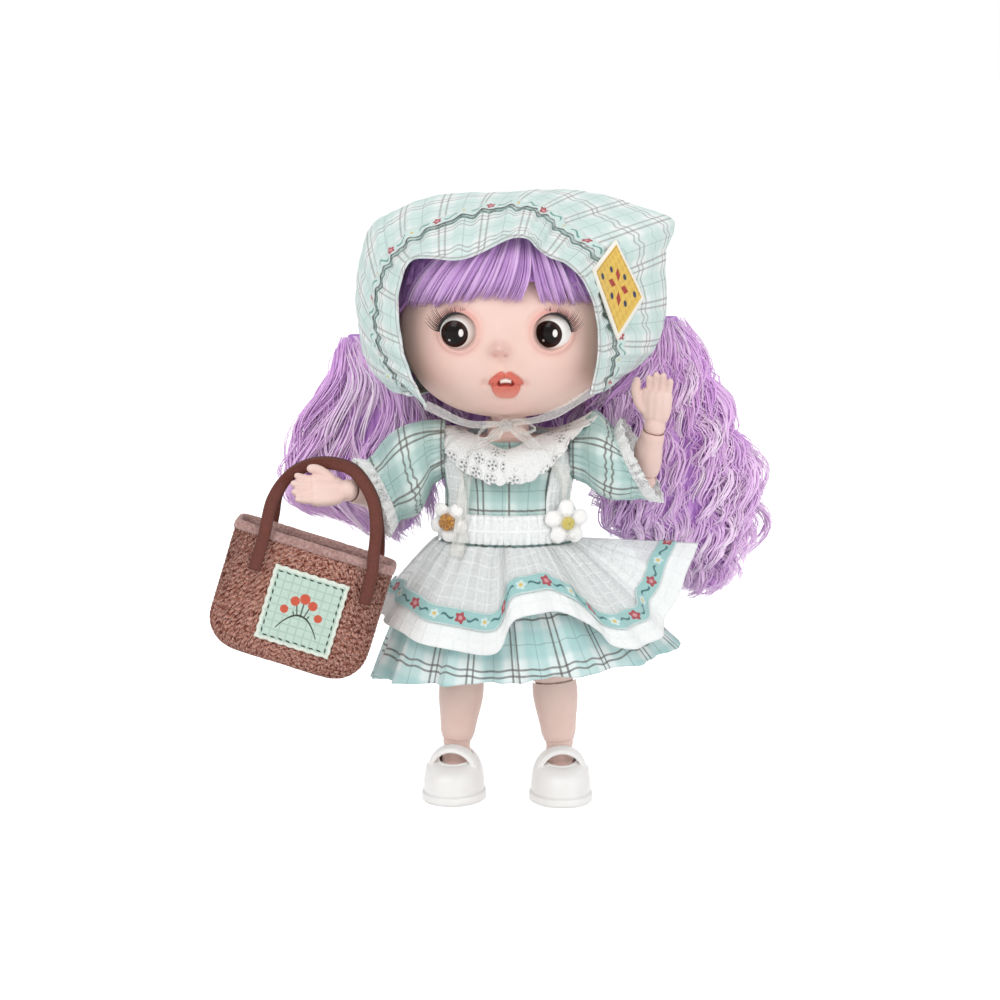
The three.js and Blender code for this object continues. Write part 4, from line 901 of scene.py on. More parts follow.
@dataclass(frozen=True)
class Fibre(Finish):
    """Doll hair whose strands vary in tone, darker at the root side as painted shade under the scarf, and
    lighter toward the tip.
    """

    name: str
    dark: Colour = display(218, 162, 232)
    middle: Colour = display(247, 202, 253)
    light: Colour = display(255, 240, 255)
    tip: float = 0.3

    def build(self) -> bpy.types.Material:
        """Pick the tone by the strand's number and lift it along its length."""
        s = self.start()
        tone = s.tone("tone")
        colour = s.ramp(tone, (0.0, self.dark), (0.5, self.middle), (1.0, self.light))
        # Painted shade: the roots, which lie under the scarf, keep the darker tone and the tips lift toward the
        # light one.
        colour = s.blend(s.tone("along").rise(0.1, 1.0) * self.tip, colour, self.light)
        colour = s.blend(s.noise(s.place(), 0.12, 2.0).rise(0.45, 0.75) * 0.25, colour, self.dark)
        return s.finish(colour, 0.5 - tone * 0.08, Sheen_Weight=0.08, Specular_IOR_Level=0.25)


@dataclass(frozen=True)
class HairMass(Finish):
    """The inside of the hair, darker than the strands as painted shade, with streaks that run down it."""

    name: str = "hair_mass"
    dark: Colour = display(172, 114, 198)
    light: Colour = display(224, 172, 240)

    def build(self) -> bpy.types.Material:
        """Stretch noise along the height for streaks."""
        s = self.start()
        where = s.node("ShaderNodeVectorMath", {"operation": "MULTIPLY"}, {0: s.place(), 1: (1.0, 1.0, 0.09)})
        streak = s.noise(where, 1.1, 4.0)
        return s.finish(s.blend(streak.rise(0.35, 0.68), self.dark, self.light), 0.6, streak * 0.8)


@dataclass(frozen=True)
class Checked(Finish):
    """Woven check: mint bands, double grey-brown lines and a thin teal line, both ways."""

    name: str
    ground: Colour = display(226, 240, 238)
    band: Colour = display(150, 196, 190)
    brown: Colour = display(112, 98, 94)
    teal: Colour = display(104, 140, 140)
    period: tuple[float, float] = (12.0, 12.0)
    shift: tuple[float, float] = (0.0, 0.0)
    strength: float = 0.85
    thread: float = 0.42
    apart: float = 0.85

    def build(self) -> bpy.types.Material:
        """Lay the bands of both directions over the ground, then the lines, broken by the weave."""
        s = self.start()
        u, v = s.across()
        colour, doubles, thins = self.ground, [], []
        for t, period, shift in zip((u, v), self.period, self.shift):
            band = t.line(shift + period / 2, period * 0.5, period, period * 0.06)
            colour = s.blend(band * 0.45, colour, self.band)
            near, far = (t.line(shift + away, 0.55, period) for away in (-self.apart, self.apart))
            doubles.append(near.most(far))
            thins.append(t.line(shift + period * 0.5, 0.28, period, 0.1))
        threads = u.sine(self.thread) * v.sine(self.thread)
        worn = s.slub(0.8) * 0.5 + 0.62
        grip = (threads * 0.18 + self.strength) * worn
        colour = s.blend((thins[0].most(thins[1]) * 0.5 * worn).least(1.0), colour, self.teal)
        for double in doubles:
            colour = s.blend((double * grip).least(1.0), colour, self.brown)
        slub = s.slub(2.6)
        colour = s.blend(slub.rise(0.5, 0.8) * 0.25, colour, self.ground)
        return s.finish(colour, 0.88, threads * 0.03 + slub * 0.1, Sheen_Weight=0.2, Specular_IOR_Level=0.25)


@dataclass(frozen=True)
class Gauze(Finish):
    """Sheer white cotton with thicker threads at intervals, thick at its hem."""

    name: str
    sheer: float = 0.62
    hem: float = 0.0
    tint: Colour = display(253, 254, 254)
    shade: Colour = display(240, 246, 245)
    thread: float = 4.6

    def build(self) -> bpy.types.Material:
        """Thin the cloth between threads; the second coordinate is the height above the hem."""
        s = self.start()
        u, v = s.across()
        heavy = u.line(0.0, 0.5, self.thread, 0.25).most(v.line(0.0, 0.5, self.thread, 0.25))
        fine = u.sine(0.5) * v.sine(0.5)
        slub = s.slub(1.3)
        alpha = self.sheer + heavy * 0.2 + fine * 0.05 + (slub - 0.5) * 0.3
        if self.hem:
            alpha = alpha.most(v.rise(self.hem + 0.15, self.hem - 0.15) * 0.97)
        colour = s.blend(slub.rise(0.3, 0.8), self.shade, self.tint)
        height = heavy * 0.12 + fine * 0.03 + slub * 0.1
        return s.finish(colour, 0.85, height, alpha.least(1.0), Sheen_Weight=0.3, Specular_IOR_Level=0.3)


@dataclass(frozen=True)
class Lace(Finish):
    """White lace with eyelet flowers cut through it and raised stitching round them."""

    name: str
    cell: float = 4.4
    tint: Colour = display(253, 253, 252)
    shade: Colour = display(238, 240, 239)
    base: float = 0.98
    spots: float = 0.26
    flower: float = 1.15

    def build(self) -> bpy.types.Material:
        """In every cell a ring of five holes turns round a middle hole."""
        s = self.start()
        u, v = s.across()
        x, y = ((t % self.cell) - self.cell / 2 for t in (u, v))
        away = x.hypot(y) * (4.4 / self.cell)
        off = abs(away - self.flower)
        petal = (s.math("ARCTAN2", y, x) * 5.0).math("COSINE")
        ring = off.rise(self.spots + 0.08, self.spots - 0.08) * petal.rise(0.05, 0.4)
        worked = s.noise(s.weave(), 0.07, 1.0).rise(0.46, 0.54)
        holes = ring.most(away.rise(0.36, 0.22)) * worked
        stitch = off.rise(0.85, 0.5) * (1.0 - holes) * (worked * 0.75 + 0.25)
        slub = s.slub(1.8)
        height = stitch * 0.35 + u.sine(0.7) * v.sine(0.7) * 0.06 + slub * 0.12
        return s.finish(s.blend(slub.rise(0.3, 0.75), self.shade, self.tint), 0.9, height,
                        ((1.0 - holes * 0.9) * self.base).least(1.0), Sheen_Weight=0.25, Specular_IOR_Level=0.3)


@dataclass(frozen=True)
class FlowerRibbon(Finish):
    """Woven ribbon with roses, small yellow flowers and leaf sprigs between them."""

    name: str
    width: float
    period: float = 14.6
    bloom: float = 1.7
    ground: Colour = display(164, 208, 206)
    edge: Colour = display(222, 240, 238)
    rose: Colour = display(176, 62, 74)
    pink: Colour = display(226, 170, 176)
    yellow: Colour = display(226, 196, 110)
    leaf: Colour = display(58, 104, 108)
    second: bool = True

    def flower(self, s: Shader, u: Socket, v: Socket, centre: float, radius: float) -> tuple[Socket, Socket]:
        """Give the petals and the middle of a flower that comes back every period."""
        x = u.nearest(centre, self.period)
        away = x.hypot(v)
        petal = (s.math("ARCTAN2", v, x) * 5.0).math("COSINE") * (0.16 * radius) + radius * 0.84
        return (petal - away).rise(-0.1, 0.1), away.rise(radius * 0.45, radius * 0.25)

    def build(self) -> bpy.types.Material:
        """Lay sprigs, then the flowers, over the ground, with a picot edge on both sides."""
        s = self.start()
        u, raw = s.across()
        v = raw - self.width / 2
        colour = s.blend(abs(v).rise(self.width * 0.4, self.width * 0.47), self.ground, self.edge)
        quarter = self.period / 4
        for place, tilt in ((quarter, 0.5), (3 * quarter, -0.5)):
            x = u.nearest(place, self.period)
            vine = abs(v - (x * 1.6).sine() * tilt)
            leaf = vine.rise(0.42, 0.22) * abs(x).rise(quarter * 0.52, quarter * 0.42)
            colour = s.blend(leaf * 0.9, colour, self.leaf)
        petals, middle = self.flower(s, u, v, 0.0, self.bloom)
        colour = s.blend(petals * 0.95, colour, self.rose)
        colour = s.blend(middle * 0.8, colour, self.pink)
        petals, middle = self.flower(s, u, v, self.period / 2, self.bloom * (0.85 if self.second else 0.4))
        colour = s.blend(petals * 0.85, colour, self.edge if self.second else self.yellow)
        colour = s.blend(middle, colour, self.yellow)
        height = u.sine(0.5) * 0.04 + s.slub(2.4) * 0.12
        return s.finish(colour, 0.72, height, Sheen_Weight=0.3, Specular_IOR_Level=0.3)


@dataclass(frozen=True)
class PatchCloth(Finish):
    """Yellow diamond patch: white edge, small checks and a star of four lozenges with corner knots."""

    name: str = "patch_cloth"
    white: Colour = display(248, 244, 234)
    yellow: Colour = display(232, 196, 96)
    ochre: Colour = display(214, 166, 66)
    red: Colour = display(170, 60, 50)
    navy: Colour = display(52, 60, 84)
    star: float = 0.24
    knots: tuple = ((0.26, 0.26), (-0.26, 0.26), (0.26, -0.26), (-0.26, -0.26), (0.0, 0.62), (0.0, -0.62))

    def build(self) -> bpy.types.Material:
        """Coordinates run from -1 to 1 along both diagonals of the diamond."""
        s = self.start()
        u, v = s.across()
        edge = abs(u) + abs(v)
        check = (u * 26.0).sine() * (v * 26.0).sine()
        colour = s.blend(check.rise(-0.2, 0.4) * 0.55, self.yellow, self.ochre)
        for x, y in ((0.0, self.star), (0.0, -self.star), (self.star, 0.0), (-self.star, 0.0)):
            lozenge = abs((u - x) * (1.0 if x else 1.7)) + abs((v - y) * (1.7 if x else 1.0))
            colour = s.blend(lozenge.rise(0.17, 0.13), colour, self.red)
        for x, y in self.knots:
            colour = s.blend((u - x).hypot(v - y).rise(0.075, 0.05), colour, self.navy)
        stitch = abs(edge - 0.84).rise(0.025, 0.012) * ((u - v) * 40.0).sine().rise(-0.1, 0.3)
        colour = s.blend(stitch * 0.7, colour, self.ochre)
        colour = s.blend(edge.rise(0.87, 0.9), colour, self.white)
        return s.finish(colour, 0.85, s.noise(s.place(), 2.0) * 0.2 + stitch * 0.2, Sheen_Weight=0.2)


@dataclass(frozen=True)
class LabelCloth(Finish):
    """Mint label with a pale edge, a running stitch, a fine grid and three stems with round berries."""

    name: str = "label_cloth"
    size: float = 20.2
    mint: Colour = display(196, 218, 205)
    pale: Colour = display(228, 234, 222)
    grid: Colour = display(164, 194, 180)
    coral: Colour = display(208, 92, 68)
    stem: Colour = display(58, 66, 56)
    berries: tuple = ((-4.6, -0.6, 1.2), (-2.4, 2.2, 1.35), (0.0, 3.4, 1.5), (2.4, 2.2, 1.35), (4.6, -0.6, 1.2))

    def build(self) -> bpy.types.Material:
        """Coordinates run in millimetres from the label's middle."""
        s = self.start()
        u, v = s.across()
        edge = abs(u).most(abs(v))
        net = u.line(0.0, 0.3, 2.2).most(v.line(0.0, 0.3, 2.2))
        colour = s.blend(net * 0.6, self.mint, self.grid)
        arch = abs(v + 1.2 + u * u * 0.16)
        colour = s.blend(arch.rise(0.34, 0.2) * abs(u).rise(5.6, 5.4), colour, self.stem)
        for x, y, radius in self.berries:
            stalk = abs(u - v * (x / 9.0) - x * 0.55).rise(0.26, 0.14) * (v + 1.6).rise(-0.1, 0.1)
            colour = s.blend(stalk * (y - v).rise(-0.1, 0.1) * 0.85, colour, self.stem)
            colour = s.blend((u - x).hypot(v - y).rise(radius, radius - 0.2), colour, self.coral)
        stitch = abs(edge - self.size * 0.43).rise(0.22, 0.12) * ((u + v) * 3.0).sine().rise(-0.2, 0.2)
        colour = s.blend(stitch, colour, self.stem)
        slub = s.noise(s.weave(), 1.5, 4.0)
        frayed = (edge + slub * 1.2).rise(self.size * 0.46 + 0.4, self.size * 0.47 + 0.6)
        colour = s.blend(frayed, colour, self.pale)
        return s.finish(colour, 0.9, slub * 0.25 + stitch * 0.3 + net * 0.08, Sheen_Weight=0.2)


@dataclass(frozen=True)
class Tweed(Finish):
    """Chunky flecked weave of rose-brown, cream and dark threads."""

    name: str = "tweed"
    dark: Colour = display(84, 36, 28)
    rose: Colour = display(182, 108, 88)
    pale: Colour = display(236, 190, 174)

    def build(self) -> bpy.types.Material:
        """Lay slanted stitch rows over flecks of three tones, darker in the rows' troughs as painted shade."""
        s = self.start()
        u, v = s.across()
        slant = s.node("ShaderNodeCombineXYZ", {}, {0: (u + v) * 0.95, 1: (v - u) * 0.42})
        fleck = s.noise(slant, 0.95, 3.0, 0.75)
        fine = s.noise(s.place(), 1.7, 4.0, 0.75)
        knit = (v * (TAU / 1.5) + u.sine(1.9) * 1.4).sine()
        colour = s.ramp(fleck * 0.75 + fine * 0.25, (0.4, self.dark), (0.47, self.rose), (0.54, self.pale),
                        (0.59, self.rose), (0.66, self.dark))
        # Painted shade: darker in the troughs of the stitch rows, where the bump is lowest.
        colour = s.blend(knit.rise(-0.3, -0.95) * 0.5, colour, self.dark)
        height = knit * 0.3 + fine * 0.4 + fleck * 0.45
        return s.finish(colour, 0.95, height, Sheen_Weight=0.1, Specular_IOR_Level=0.2)


@dataclass(frozen=True)
class Leather(Finish):
    """Brown leather strap with a darker painted edge, a stitch line and creases."""

    name: str = "strap_leather"
    width: float = 3.6
    base: Colour = display(104, 44, 27)
    dark: Colour = display(62, 25, 16)

    def build(self) -> bpy.types.Material:
        """The first coordinate runs across the strap and the second along it."""
        s = self.start()
        u, v = s.across()
        off = abs(u - self.width / 2)
        pores = s.noise(s.place(), 2.2, 5.0, 0.7)
        colour = s.blend(pores.rise(0.4, 0.75) * 0.6, self.base, self.dark)
        colour = s.blend(off.rise(self.width * 0.44, self.width * 0.5), colour, self.dark)
        stitch = abs(off - self.width * 0.33).rise(0.16, 0.08) * v.line(0.0, 1.0, 1.5, 0.1)
        colour = s.blend(stitch * 0.35, colour, self.base)
        return s.finish(colour, pores * 0.25 + 0.4, pores * 0.3 + stitch * 0.15)


@dataclass(frozen=True)
class Plain(Finish):
    """A cloth, felt or metal of one tone with its own grain."""

    name: str
    base: Colour
    shade: Colour
    rough: float = 0.85
    scale: float = 1.2
    height: float = 0.2
    sheen: float = 0.2
    metal: float = 0.0

    def build(self) -> bpy.types.Material:
        """Mix the two tones by noise, which also gives the grain."""
        s = self.start()
        grain = s.noise(s.place(), self.scale, 4.0)
        colour = s.blend(grain.rise(0.3, 0.75), self.shade, self.base)
        rough = grain * 0.15 + (self.rough - 0.07)
        return s.finish(colour, rough, grain * self.height, Sheen_Weight=self.sheen, Metallic=self.metal)


@dataclass(frozen=True)
class DaisyFelt(Finish):
    """White petals round a stitched middle, told apart by the mesh's tone, greyer in the creases between petals
    and round the middle as painted shade.
    """

    name: str
    heart: Colour
    heart_shade: Colour
    petal: Colour = display(250, 249, 247)
    fold: Colour = display(222, 222, 222)

    def build(self) -> bpy.types.Material:
        """Take the middle's colours where the tone is 1, with knots over it."""
        s = self.start()
        where = s.place()
        knots, fuzz = s.noise(where, 1.9, 2.0), s.noise(where, 3.5, 4.0)
        petals = s.blend(s.tone("fold"), self.petal, self.fold)
        middle, inside = s.blend(knots.rise(0.4, 0.62), self.heart_shade, self.heart), s.tone("heart")
        height = fuzz * 0.15 + knots * inside * 0.9
        return s.finish(s.blend(inside, petals, middle), 0.92, height, Sheen_Weight=0.5)


@dataclass(frozen=True)
class FloorWhite(Finish):
    """White floor whose glow only the camera and glosses see."""

    name: str = "floor_white"
    base: Colour = display(252, 252, 252)
    shade: Colour = display(248, 248, 248)
    glow: float = 0.42

    def build(self) -> bpy.types.Material:
        """Mix two whites by wide noise, and black and white by what sees them for the glow."""
        s = self.start()
        glow = s.blend(s.seen(), display(0, 0, 0), display(255, 255, 255))
        colour = s.blend(s.noise(s.place(), 0.004, 2.0), self.base, self.shade)
        return s.finish(colour, 0.9, Specular_IOR_Level=0.1, Emission_Color=glow, Emission_Strength=self.glow)


SKIN = Vinyl()
# A slightly darker copy of the skin vinyl: painted shade on the joint balls between the parts and on the
# torso's back.
SKIN_SHADE = Vinyl("vinyl_shade", display(238, 208, 198), display(220, 176, 164))
SHOE = Vinyl("shoe_vinyl", display(249, 247, 245), display(232, 228, 226), 0.3)
STEEL = Plain("pin_steel", display(196, 196, 200), display(150, 150, 156), 0.35, 2.0, 0.05, 0.0, 0.9)
LASH = Plain("lash_black", display(26, 18, 18), display(14, 10, 10), 0.5, 3.0, 0.02, 0.0)
HAIR = Fibre("hair_fibre")
# A darker copy of the hair fibre: painted shade under the scarf's brim.
SHADED_FRINGE = Fibre("fringe_fibre", display(156, 106, 178), display(208, 160, 224), display(240, 208, 246))
# Darker than the strands: painted shade of the hair's inside, also on the fringe's inside and the wig cap.
HAIR_MASS = HairMass()
SCARF = Checked("scarf_check", display(241, 248, 246), display(198, 227, 221), display(134, 126, 124),
                display(140, 164, 164), (11.8, 11.8), (2.0, 3.0), 0.62)
SCARF_RIBBON = FlowerRibbon("scarf_ribbon", 2.9, 15.2, 1.25, display(214, 234, 230), display(236, 244, 242),
                            leaf=display(110, 160, 150), second=False)
# Dark grey-teal of the thin tube along the brim's seam: painted shadow of the seam.
SCARF_SEAM_SHADOW = Plain("scarf_seam", display(158, 180, 176), display(96, 116, 112), 0.9)
DRESS = Checked("dress_check", display(220, 236, 232), display(152, 194, 188), display(92, 82, 78))
SKIRT = Checked("skirt_check", display(236, 247, 246), display(150, 208, 206), display(92, 84, 80),
                period=(13.5, 15.0), shift=(0.0, 4.0))
ORGANZA = Gauze("organza", 0.3, tint=display(252, 251, 248), shade=display(238, 236, 230), thread=40.0)
APRON_GAUZE = Gauze("apron_gauze", 0.6, 6.4, shade=display(248, 252, 251), thread=3.4)
BAND_GAUZE = Gauze("band_gauze", 0.88, shade=display(246, 250, 249), thread=3.4)
LACE = Lace("collar_lace", 3.9)
CUFF_LACE = Lace("cuff_lace", 2.6, spots=0.16)
BINDING = Plain("binding_cloth", display(196, 160, 154), display(156, 118, 112), 0.9, 1.4, 0.4)
THREAD = Plain("stitch_thread", display(88, 48, 38), display(60, 30, 24), 0.7, 3.0, 0.05)


@dataclass
class Torso:
    """Body under the dress: its CAD halves stay, and a smooth neck replaces the post."""

    base: float = 50.0
    height: float = 48.0
    half_width: float = 17.6
    half_depth: float = 12.6
    neck_foot: float = 94.5
    neck_top: float = 102.2
    neck_radius: float = 5.6
    neck_flare: float = 3.4
    rows: tuple = (
        (0, 0.42, 0.5, 0), (0.04, 0.7, 0.76, 0), (0.12, 0.94, 0.95, 0), (0.25, 0.97, 1.02, 0.04),
        (0.42, 0.92, 1, 0.06), (0.58, 0.87, 0.95, 0.03), (0.72, 0.88, 0.88, 0), (0.84, 0.97, 0.78, 0),
        (0.93, 0.98, 0.68, 0), (0.97, 0.78, 0.6, 0), (1, 0.5, 0.62, 0),
    )

    def point(self, turn: Number, z: Number, grow: Number) -> Array:
        """Give points round the torso.

        X is the half width share plus growth times the sine of the turn, and Y the half depth share
        plus growth times its cosine, toward the front, with a push of the chest.

        Args:
            turn: Angle from the front toward +X.
            z: Height.
            grow: Distance outside the torso.

        Returns:
            Points in millimetres.
        """
        turn, z, grow = np.broadcast_arrays(turn, z, grow)
        table = np.asarray(self.rows)
        share = np.clip((z - self.base) / self.height, 0, 1)
        wide, deep, push = (np.interp(share, table[:, 0], table[:, k]) for k in (1, 2, 3))
        x = (self.half_width * wide + grow) * np.sin(turn)
        return points(x, -(self.half_depth * deep + grow) * np.cos(turn) - self.half_depth * push, z)

    def build(self) -> list[Piece]:
        """Build the neck as rings whose radius flares into the shoulders."""
        z = np.linspace(self.neck_foot, self.neck_top, 24)[:, None]
        flare = self.neck_flare * (1 - ease(z, self.neck_foot, self.neck_foot + 4.1))
        radius = self.neck_radius + flare + 0.12 * np.sin((z - 98) * 2.2)
        turn = circle(65)
        neck = closed_grid("neck_skin", capped(points(radius * np.sin(turn), -radius * np.cos(turn), z)))
        return [dress(neck, SKIN, "skin_vinyl", "torso", "neck_post")]


TORSO = Torso()


@dataclass
class Head:
    """Head with its painted face, glossy eyes and lashes.

    The rows of cheeks and brow hold a place as shares of the half width and height, a reach and a
    push as a share of the half depth; the rows of features and blush hold X, Z, the reach both ways
    and the height or share.
    """

    half_width: float = 28.5
    half_height: float = 26.75
    half_depth: float = 26.0
    middle: float = 130.35
    forward: float = -2.0
    jaw_power: float = 2.35
    skull_power: float = 2.05
    eye_radius: float = 5.6
    eye_x: float = 12.1
    eye_middle: float = 0.45
    eye_z: float = 128.2
    lid: float = 4.7
    lid_back: float = 0.55
    neck_ball: float = 5.75
    columns: int = 300
    rows: int = 230
    cheeks: tuple = (
        (0, -0.58, 0.16, 0.035), (0, -0.9, 0.2, 0.05), (-0.5, -0.46, 0.3, 0.05), (0.5, -0.46, 0.3, 0.05),
        (-0.445, -0.12, 0.19, -0.05), (0.445, -0.12, 0.19, -0.05),
    )
    features: tuple = (
        (-0.9, 124.6, 1.95, 1.75, 3.7), (-0.8, 127.6, 2.2, 3.0, 0.9), (-3.1, 123.8, 1.2, 1.15, 0.95),
        (1.3, 123.8, 1.2, 1.15, 0.95), (-2.1, 122.6, 0.65, 0.5, -1.15), (0.5, 122.6, 0.65, 0.5, -1.15),
        (-0.4, 120.6, 0.9, 1.2, -0.4), (0.6, 114.6, 4.6, 3.6, 1.2), (0.3, 110.3, 3.2, 0.9, -0.8),
        (5.6, 114.9, 0.9, 1.1, -0.75), (-4.9, 114.9, 0.9, 1.1, -0.75),
    )
    # The first row, on the underside of the nose, is painted shade; the other rows blush the chin, the mouth's
    # corners and the cheeks.
    blushes: tuple = (
        (-0.8, 123.6, 2.6, 2.1, 0.3), (0.2, 108.6, 6.0, 2.6, 0.2), (5.7, 114.9, 1.1, 1.2, 0.25),
        (-5.1, 114.9, 1.1, 1.2, 0.25), (17.5, 118.5, 6.5, 5.5, 0.17), (-17.5, 118.5, 6.5, 5.5, 0.17),
    )

    lip_heights: dict = field(default_factory=lambda: {
        "upper": 1.25, "lower": 1.35, "mouth": -1.25, "line": -0.7, "teeth": 0.85,
    })

    def eye_at(self, side: Side) -> float:
        """Give X of an eye's middle."""
        return self.eye_middle + side.value * self.eye_x

    def from_eye(self, side: Side, x: Array, z: Array) -> Array:
        """Measure the distance from an eye's middle across the front."""
        return np.hypot(x - self.eye_at(side), z - self.eye_z)

    def ball(self, around: Number, rise: Number, grow: Number = 0.0) -> Array:
        """Give points of the bare skull.

        Height follows the sine of the rise; the spread at that height is one less its power, to the
        inverse power, squarer below the middle; X and Y are the spread times sine and cosine.

        Args:
            around: Angle from the front toward +X.
            rise: Angle above the middle.
            grow: Distance outside the head.

        Returns:
            Points in millimetres.
        """
        up = np.sin(rise)
        power = np.where(up < 0, self.jaw_power, self.skull_power)
        spread = np.clip(1 - np.abs(up) ** power, 0, 1) ** (1 / power)
        y = -(self.half_depth + grow) * spread * np.cos(around) + self.forward
        z = self.middle + (self.half_height + grow) * up
        return points((self.half_width + grow) * spread * np.sin(around), y, z)

    def bells(self, x: Array, z: Array, rows: Sequence) -> Array:
        """Add bells over the face by rows of X, Z, the reach both ways and the height."""
        return sum(height * bell(x - cx, wide) * bell(z - cz, tall) for cx, cz, wide, tall, height in rows)

    def modelled(self, p: Array) -> Array:
        """Push the skull's front into a face.

        Each feature is a bell of the distance from its middle across the front, times its height:
        cheeks, brow, chin, a button nose with wings and nostrils, lips with a parted middle, eye
        wells with a raised lid, and dimples beside the mouth.

        Args:
            p: Points of the bare skull.

        Returns:
            The modelled points.
        """
        x, z = p[..., 0], p[..., 2]
        front = np.clip(-(p[..., 1] - self.forward) / self.half_depth, 0, 1)
        push = self.bells(x, z, self.features)
        for side, lift, reach, share in self.cheeks:
            away = np.hypot(x / self.half_width - side, (z - self.middle) / self.half_height - lift)
            push += share * self.half_depth * bell(away, reach)
        lips = self.lip_shapes(x, z)
        push += sum(lips[name] * height for name, height in self.lip_heights.items())
        for side in Side:
            d = np.hypot(x - self.eye_at(side), (z - self.eye_z) * 1.02) - self.lid
            push -= 3.4 * (1 - ease(d, -0.75, 0.1))
            push += 0.75 * bell(d - 0.5, 0.6) - 0.3 * bell(d - 2.1, 0.7) * ease(z, self.eye_z, self.eye_z + 4)
        out = p.copy()
        out[..., 1] -= push * ease(front, 0.08, 0.45)
        return out

    def lip_shapes(self, x: Array, z: Array) -> dict[str, Array]:
        """Give soft masks of the lips: the two lips, their meeting line, the open middle and the teeth.

        The upper lip is a bow whose top is two bumps and a dip; the lower one is a half ellipse.

        Args:
            x: Places across.
            z: Heights.

        Returns:
            A mask from 0 to 1 for each name.
        """
        u = x - 0.7
        line = 115.1 - 0.016 * u ** 2 + 0.25 * np.cos(u * 1.1)
        reach = np.clip(1 - np.abs(u / 4.7) ** 2.3, 0, 1)
        top = line + 3.5 * reach ** 0.66 - 0.85 * bell(u, 0.85) * reach
        foot = line - 4.5 * np.clip(1 - np.abs(u / 3.9) ** 2, 0, 1) ** 0.62
        ends = ease(reach, 0.0, 0.12)
        gap = np.exp(-(u / 2.15) ** 4)
        mouth = ease(1.0 - np.abs(z - line - 0.3) / (1.15 * gap + 1e-3), -0.1, 0.3) * ease(gap, 0.25, 0.6)
        teeth = ease(1.0 - np.abs(z - line - 0.62) / 0.62, -0.1, 0.35)
        teeth = teeth * ease(np.exp(-(u / 1.5) ** 4), 0.25, 0.6)
        return {
            "upper": ease(top - z, -0.18, 0.18) * ease(z - line, -0.18, 0.18) * ends,
            "lower": ease(z - foot, -0.2, 0.2) * ease(line - z, -0.18, 0.18) * ends,
            "line": bell(z - line, 0.26) * ease(reach, 0.02, 0.2), "mouth": mouth, "teeth": teeth,
        }

    def paints(self, p: Array) -> dict[str, Array]:
        """Give the face paint's tones at points of the head."""
        x, z, front = p[..., 0], p[..., 2], ease(-p[..., 1], 4, 12)
        lips = self.lip_shapes(x, z)
        blush = self.bells(x, z, self.blushes) + 0.35 * lips["line"]
        liner, inside = np.zeros_like(x), np.zeros_like(x)
        for side in Side:
            d = self.from_eye(side, x, z) - self.lid
            blush += 0.62 * bell(d - 0.7, 1.25) * (0.55 + 0.45 * ease(z, self.eye_z - 1, self.eye_z + 5))
            turn = np.arctan2(z - self.eye_z, (x - self.eye_at(side)) * side.value)
            weight = ease(turn, -0.35, 0.5) * (1 - ease(turn, 2.4, 3.0))
            width = 0.12 + 0.3 * ease(turn, 0.0, 0.9) * (1 - ease(turn, 1.3, 2.6))
            liner += ease(width - np.abs(d - 0.05 - width * 0.4), -0.12, 0.12) * weight
            # Painted shade inside each eye well, round the eyeball; it goes into the liner tone at 0.35 of its
            # strength.
            inside += 1 - ease(d, -0.5, -0.1)
        tones = {
            "lips": lips["upper"] + lips["lower"], "mouth": lips["mouth"], "teeth": lips["teeth"],
            "blush": blush, "liner": np.maximum(liner, inside * 0.35),
        }
        return {key: np.clip(value, 0, 1) * front for key, value in tones.items()}

    def depth(self, x: Array, z: Array, grow: Number = 0.0) -> Array:
        """Give Y of the bare skull's front at a place across and up."""
        up = np.clip((z - self.middle) / (self.half_height + grow), -0.999, 0.999)
        power = np.where(up < 0, self.jaw_power, self.skull_power)
        spread = (1 - np.abs(up) ** power) ** (1 / power)
        share = np.clip(x / ((self.half_width + grow) * spread), -0.999, 0.999)
        return self.ball(np.arcsin(share), np.arcsin(up), grow)[..., 1]

    def build(self) -> list[Piece]:
        """Build the head, the eyes and the lashes."""
        u = np.linspace(-1, 1, self.columns + 1)
        t = np.linspace(-1, 1, self.rows)[:, None]
        rise = np.pi / 2 * (0.62 * (t + 0.06 * (1 - t ** 2)) + 0.38 * t ** 3)
        raw = self.ball(np.pi * (0.42 * u + 0.58 * u ** 3), rise)
        skin = self.modelled(raw)
        well = np.hypot(skin[..., 0], skin[..., 1])
        lift = 104.6 + np.sqrt(np.clip(self.neck_ball ** 2 - well ** 2, 0, None))
        low = (skin[..., 2] < 112) & (well < self.neck_ball)
        skin[..., 2] = np.where(low, np.maximum(skin[..., 2], lift), skin[..., 2])
        face = closed_grid("face", skin, grid_uv(raw), self.paints(skin))
        pieces = [dress(face, FacePaint(), "skin_vinyl", "head", "head_face", "head_back")]
        for side in reversed(Side):
            x = self.eye_at(side)
            y = float(self.depth(np.array(x), np.array(self.eye_z))) + 0.05 * self.half_depth * 0.55
            pieces.append(self.eye(f"eye_{side.word}", x, y + self.eye_radius - 0.95))
            pieces += self.lashes(side, x, y)
        return pieces

    def eye(self, name: str, x: float, y: float) -> Piece:
        """Build one eyeball, which looks a little toward the doll's right."""
        grid = ball_grid(vec(x, y, self.eye_z), (self.eye_radius, -self.eye_radius, self.eye_radius), 73, 49)
        look = EyeGloss(f"eye_gloss_{name}", (x - 1.0 + AXIS[0], self.eye_z - 0.5))
        return dress(closed_grid(f"{name}_ball", grid), look, "eye_gloss", "head", name)

    def lid_rim(self, side: Side, x: float, y: float, turn: Array) -> Array:
        """Give places on the upper lid's rim at angles round the eye."""
        radius = self.lid + 0.12
        back = y - self.lid_back + self.lid_back * np.cos(turn) ** 2
        return points(x + side.value * radius * np.cos(turn), back, self.eye_z + radius * 0.99 * np.sin(turn))

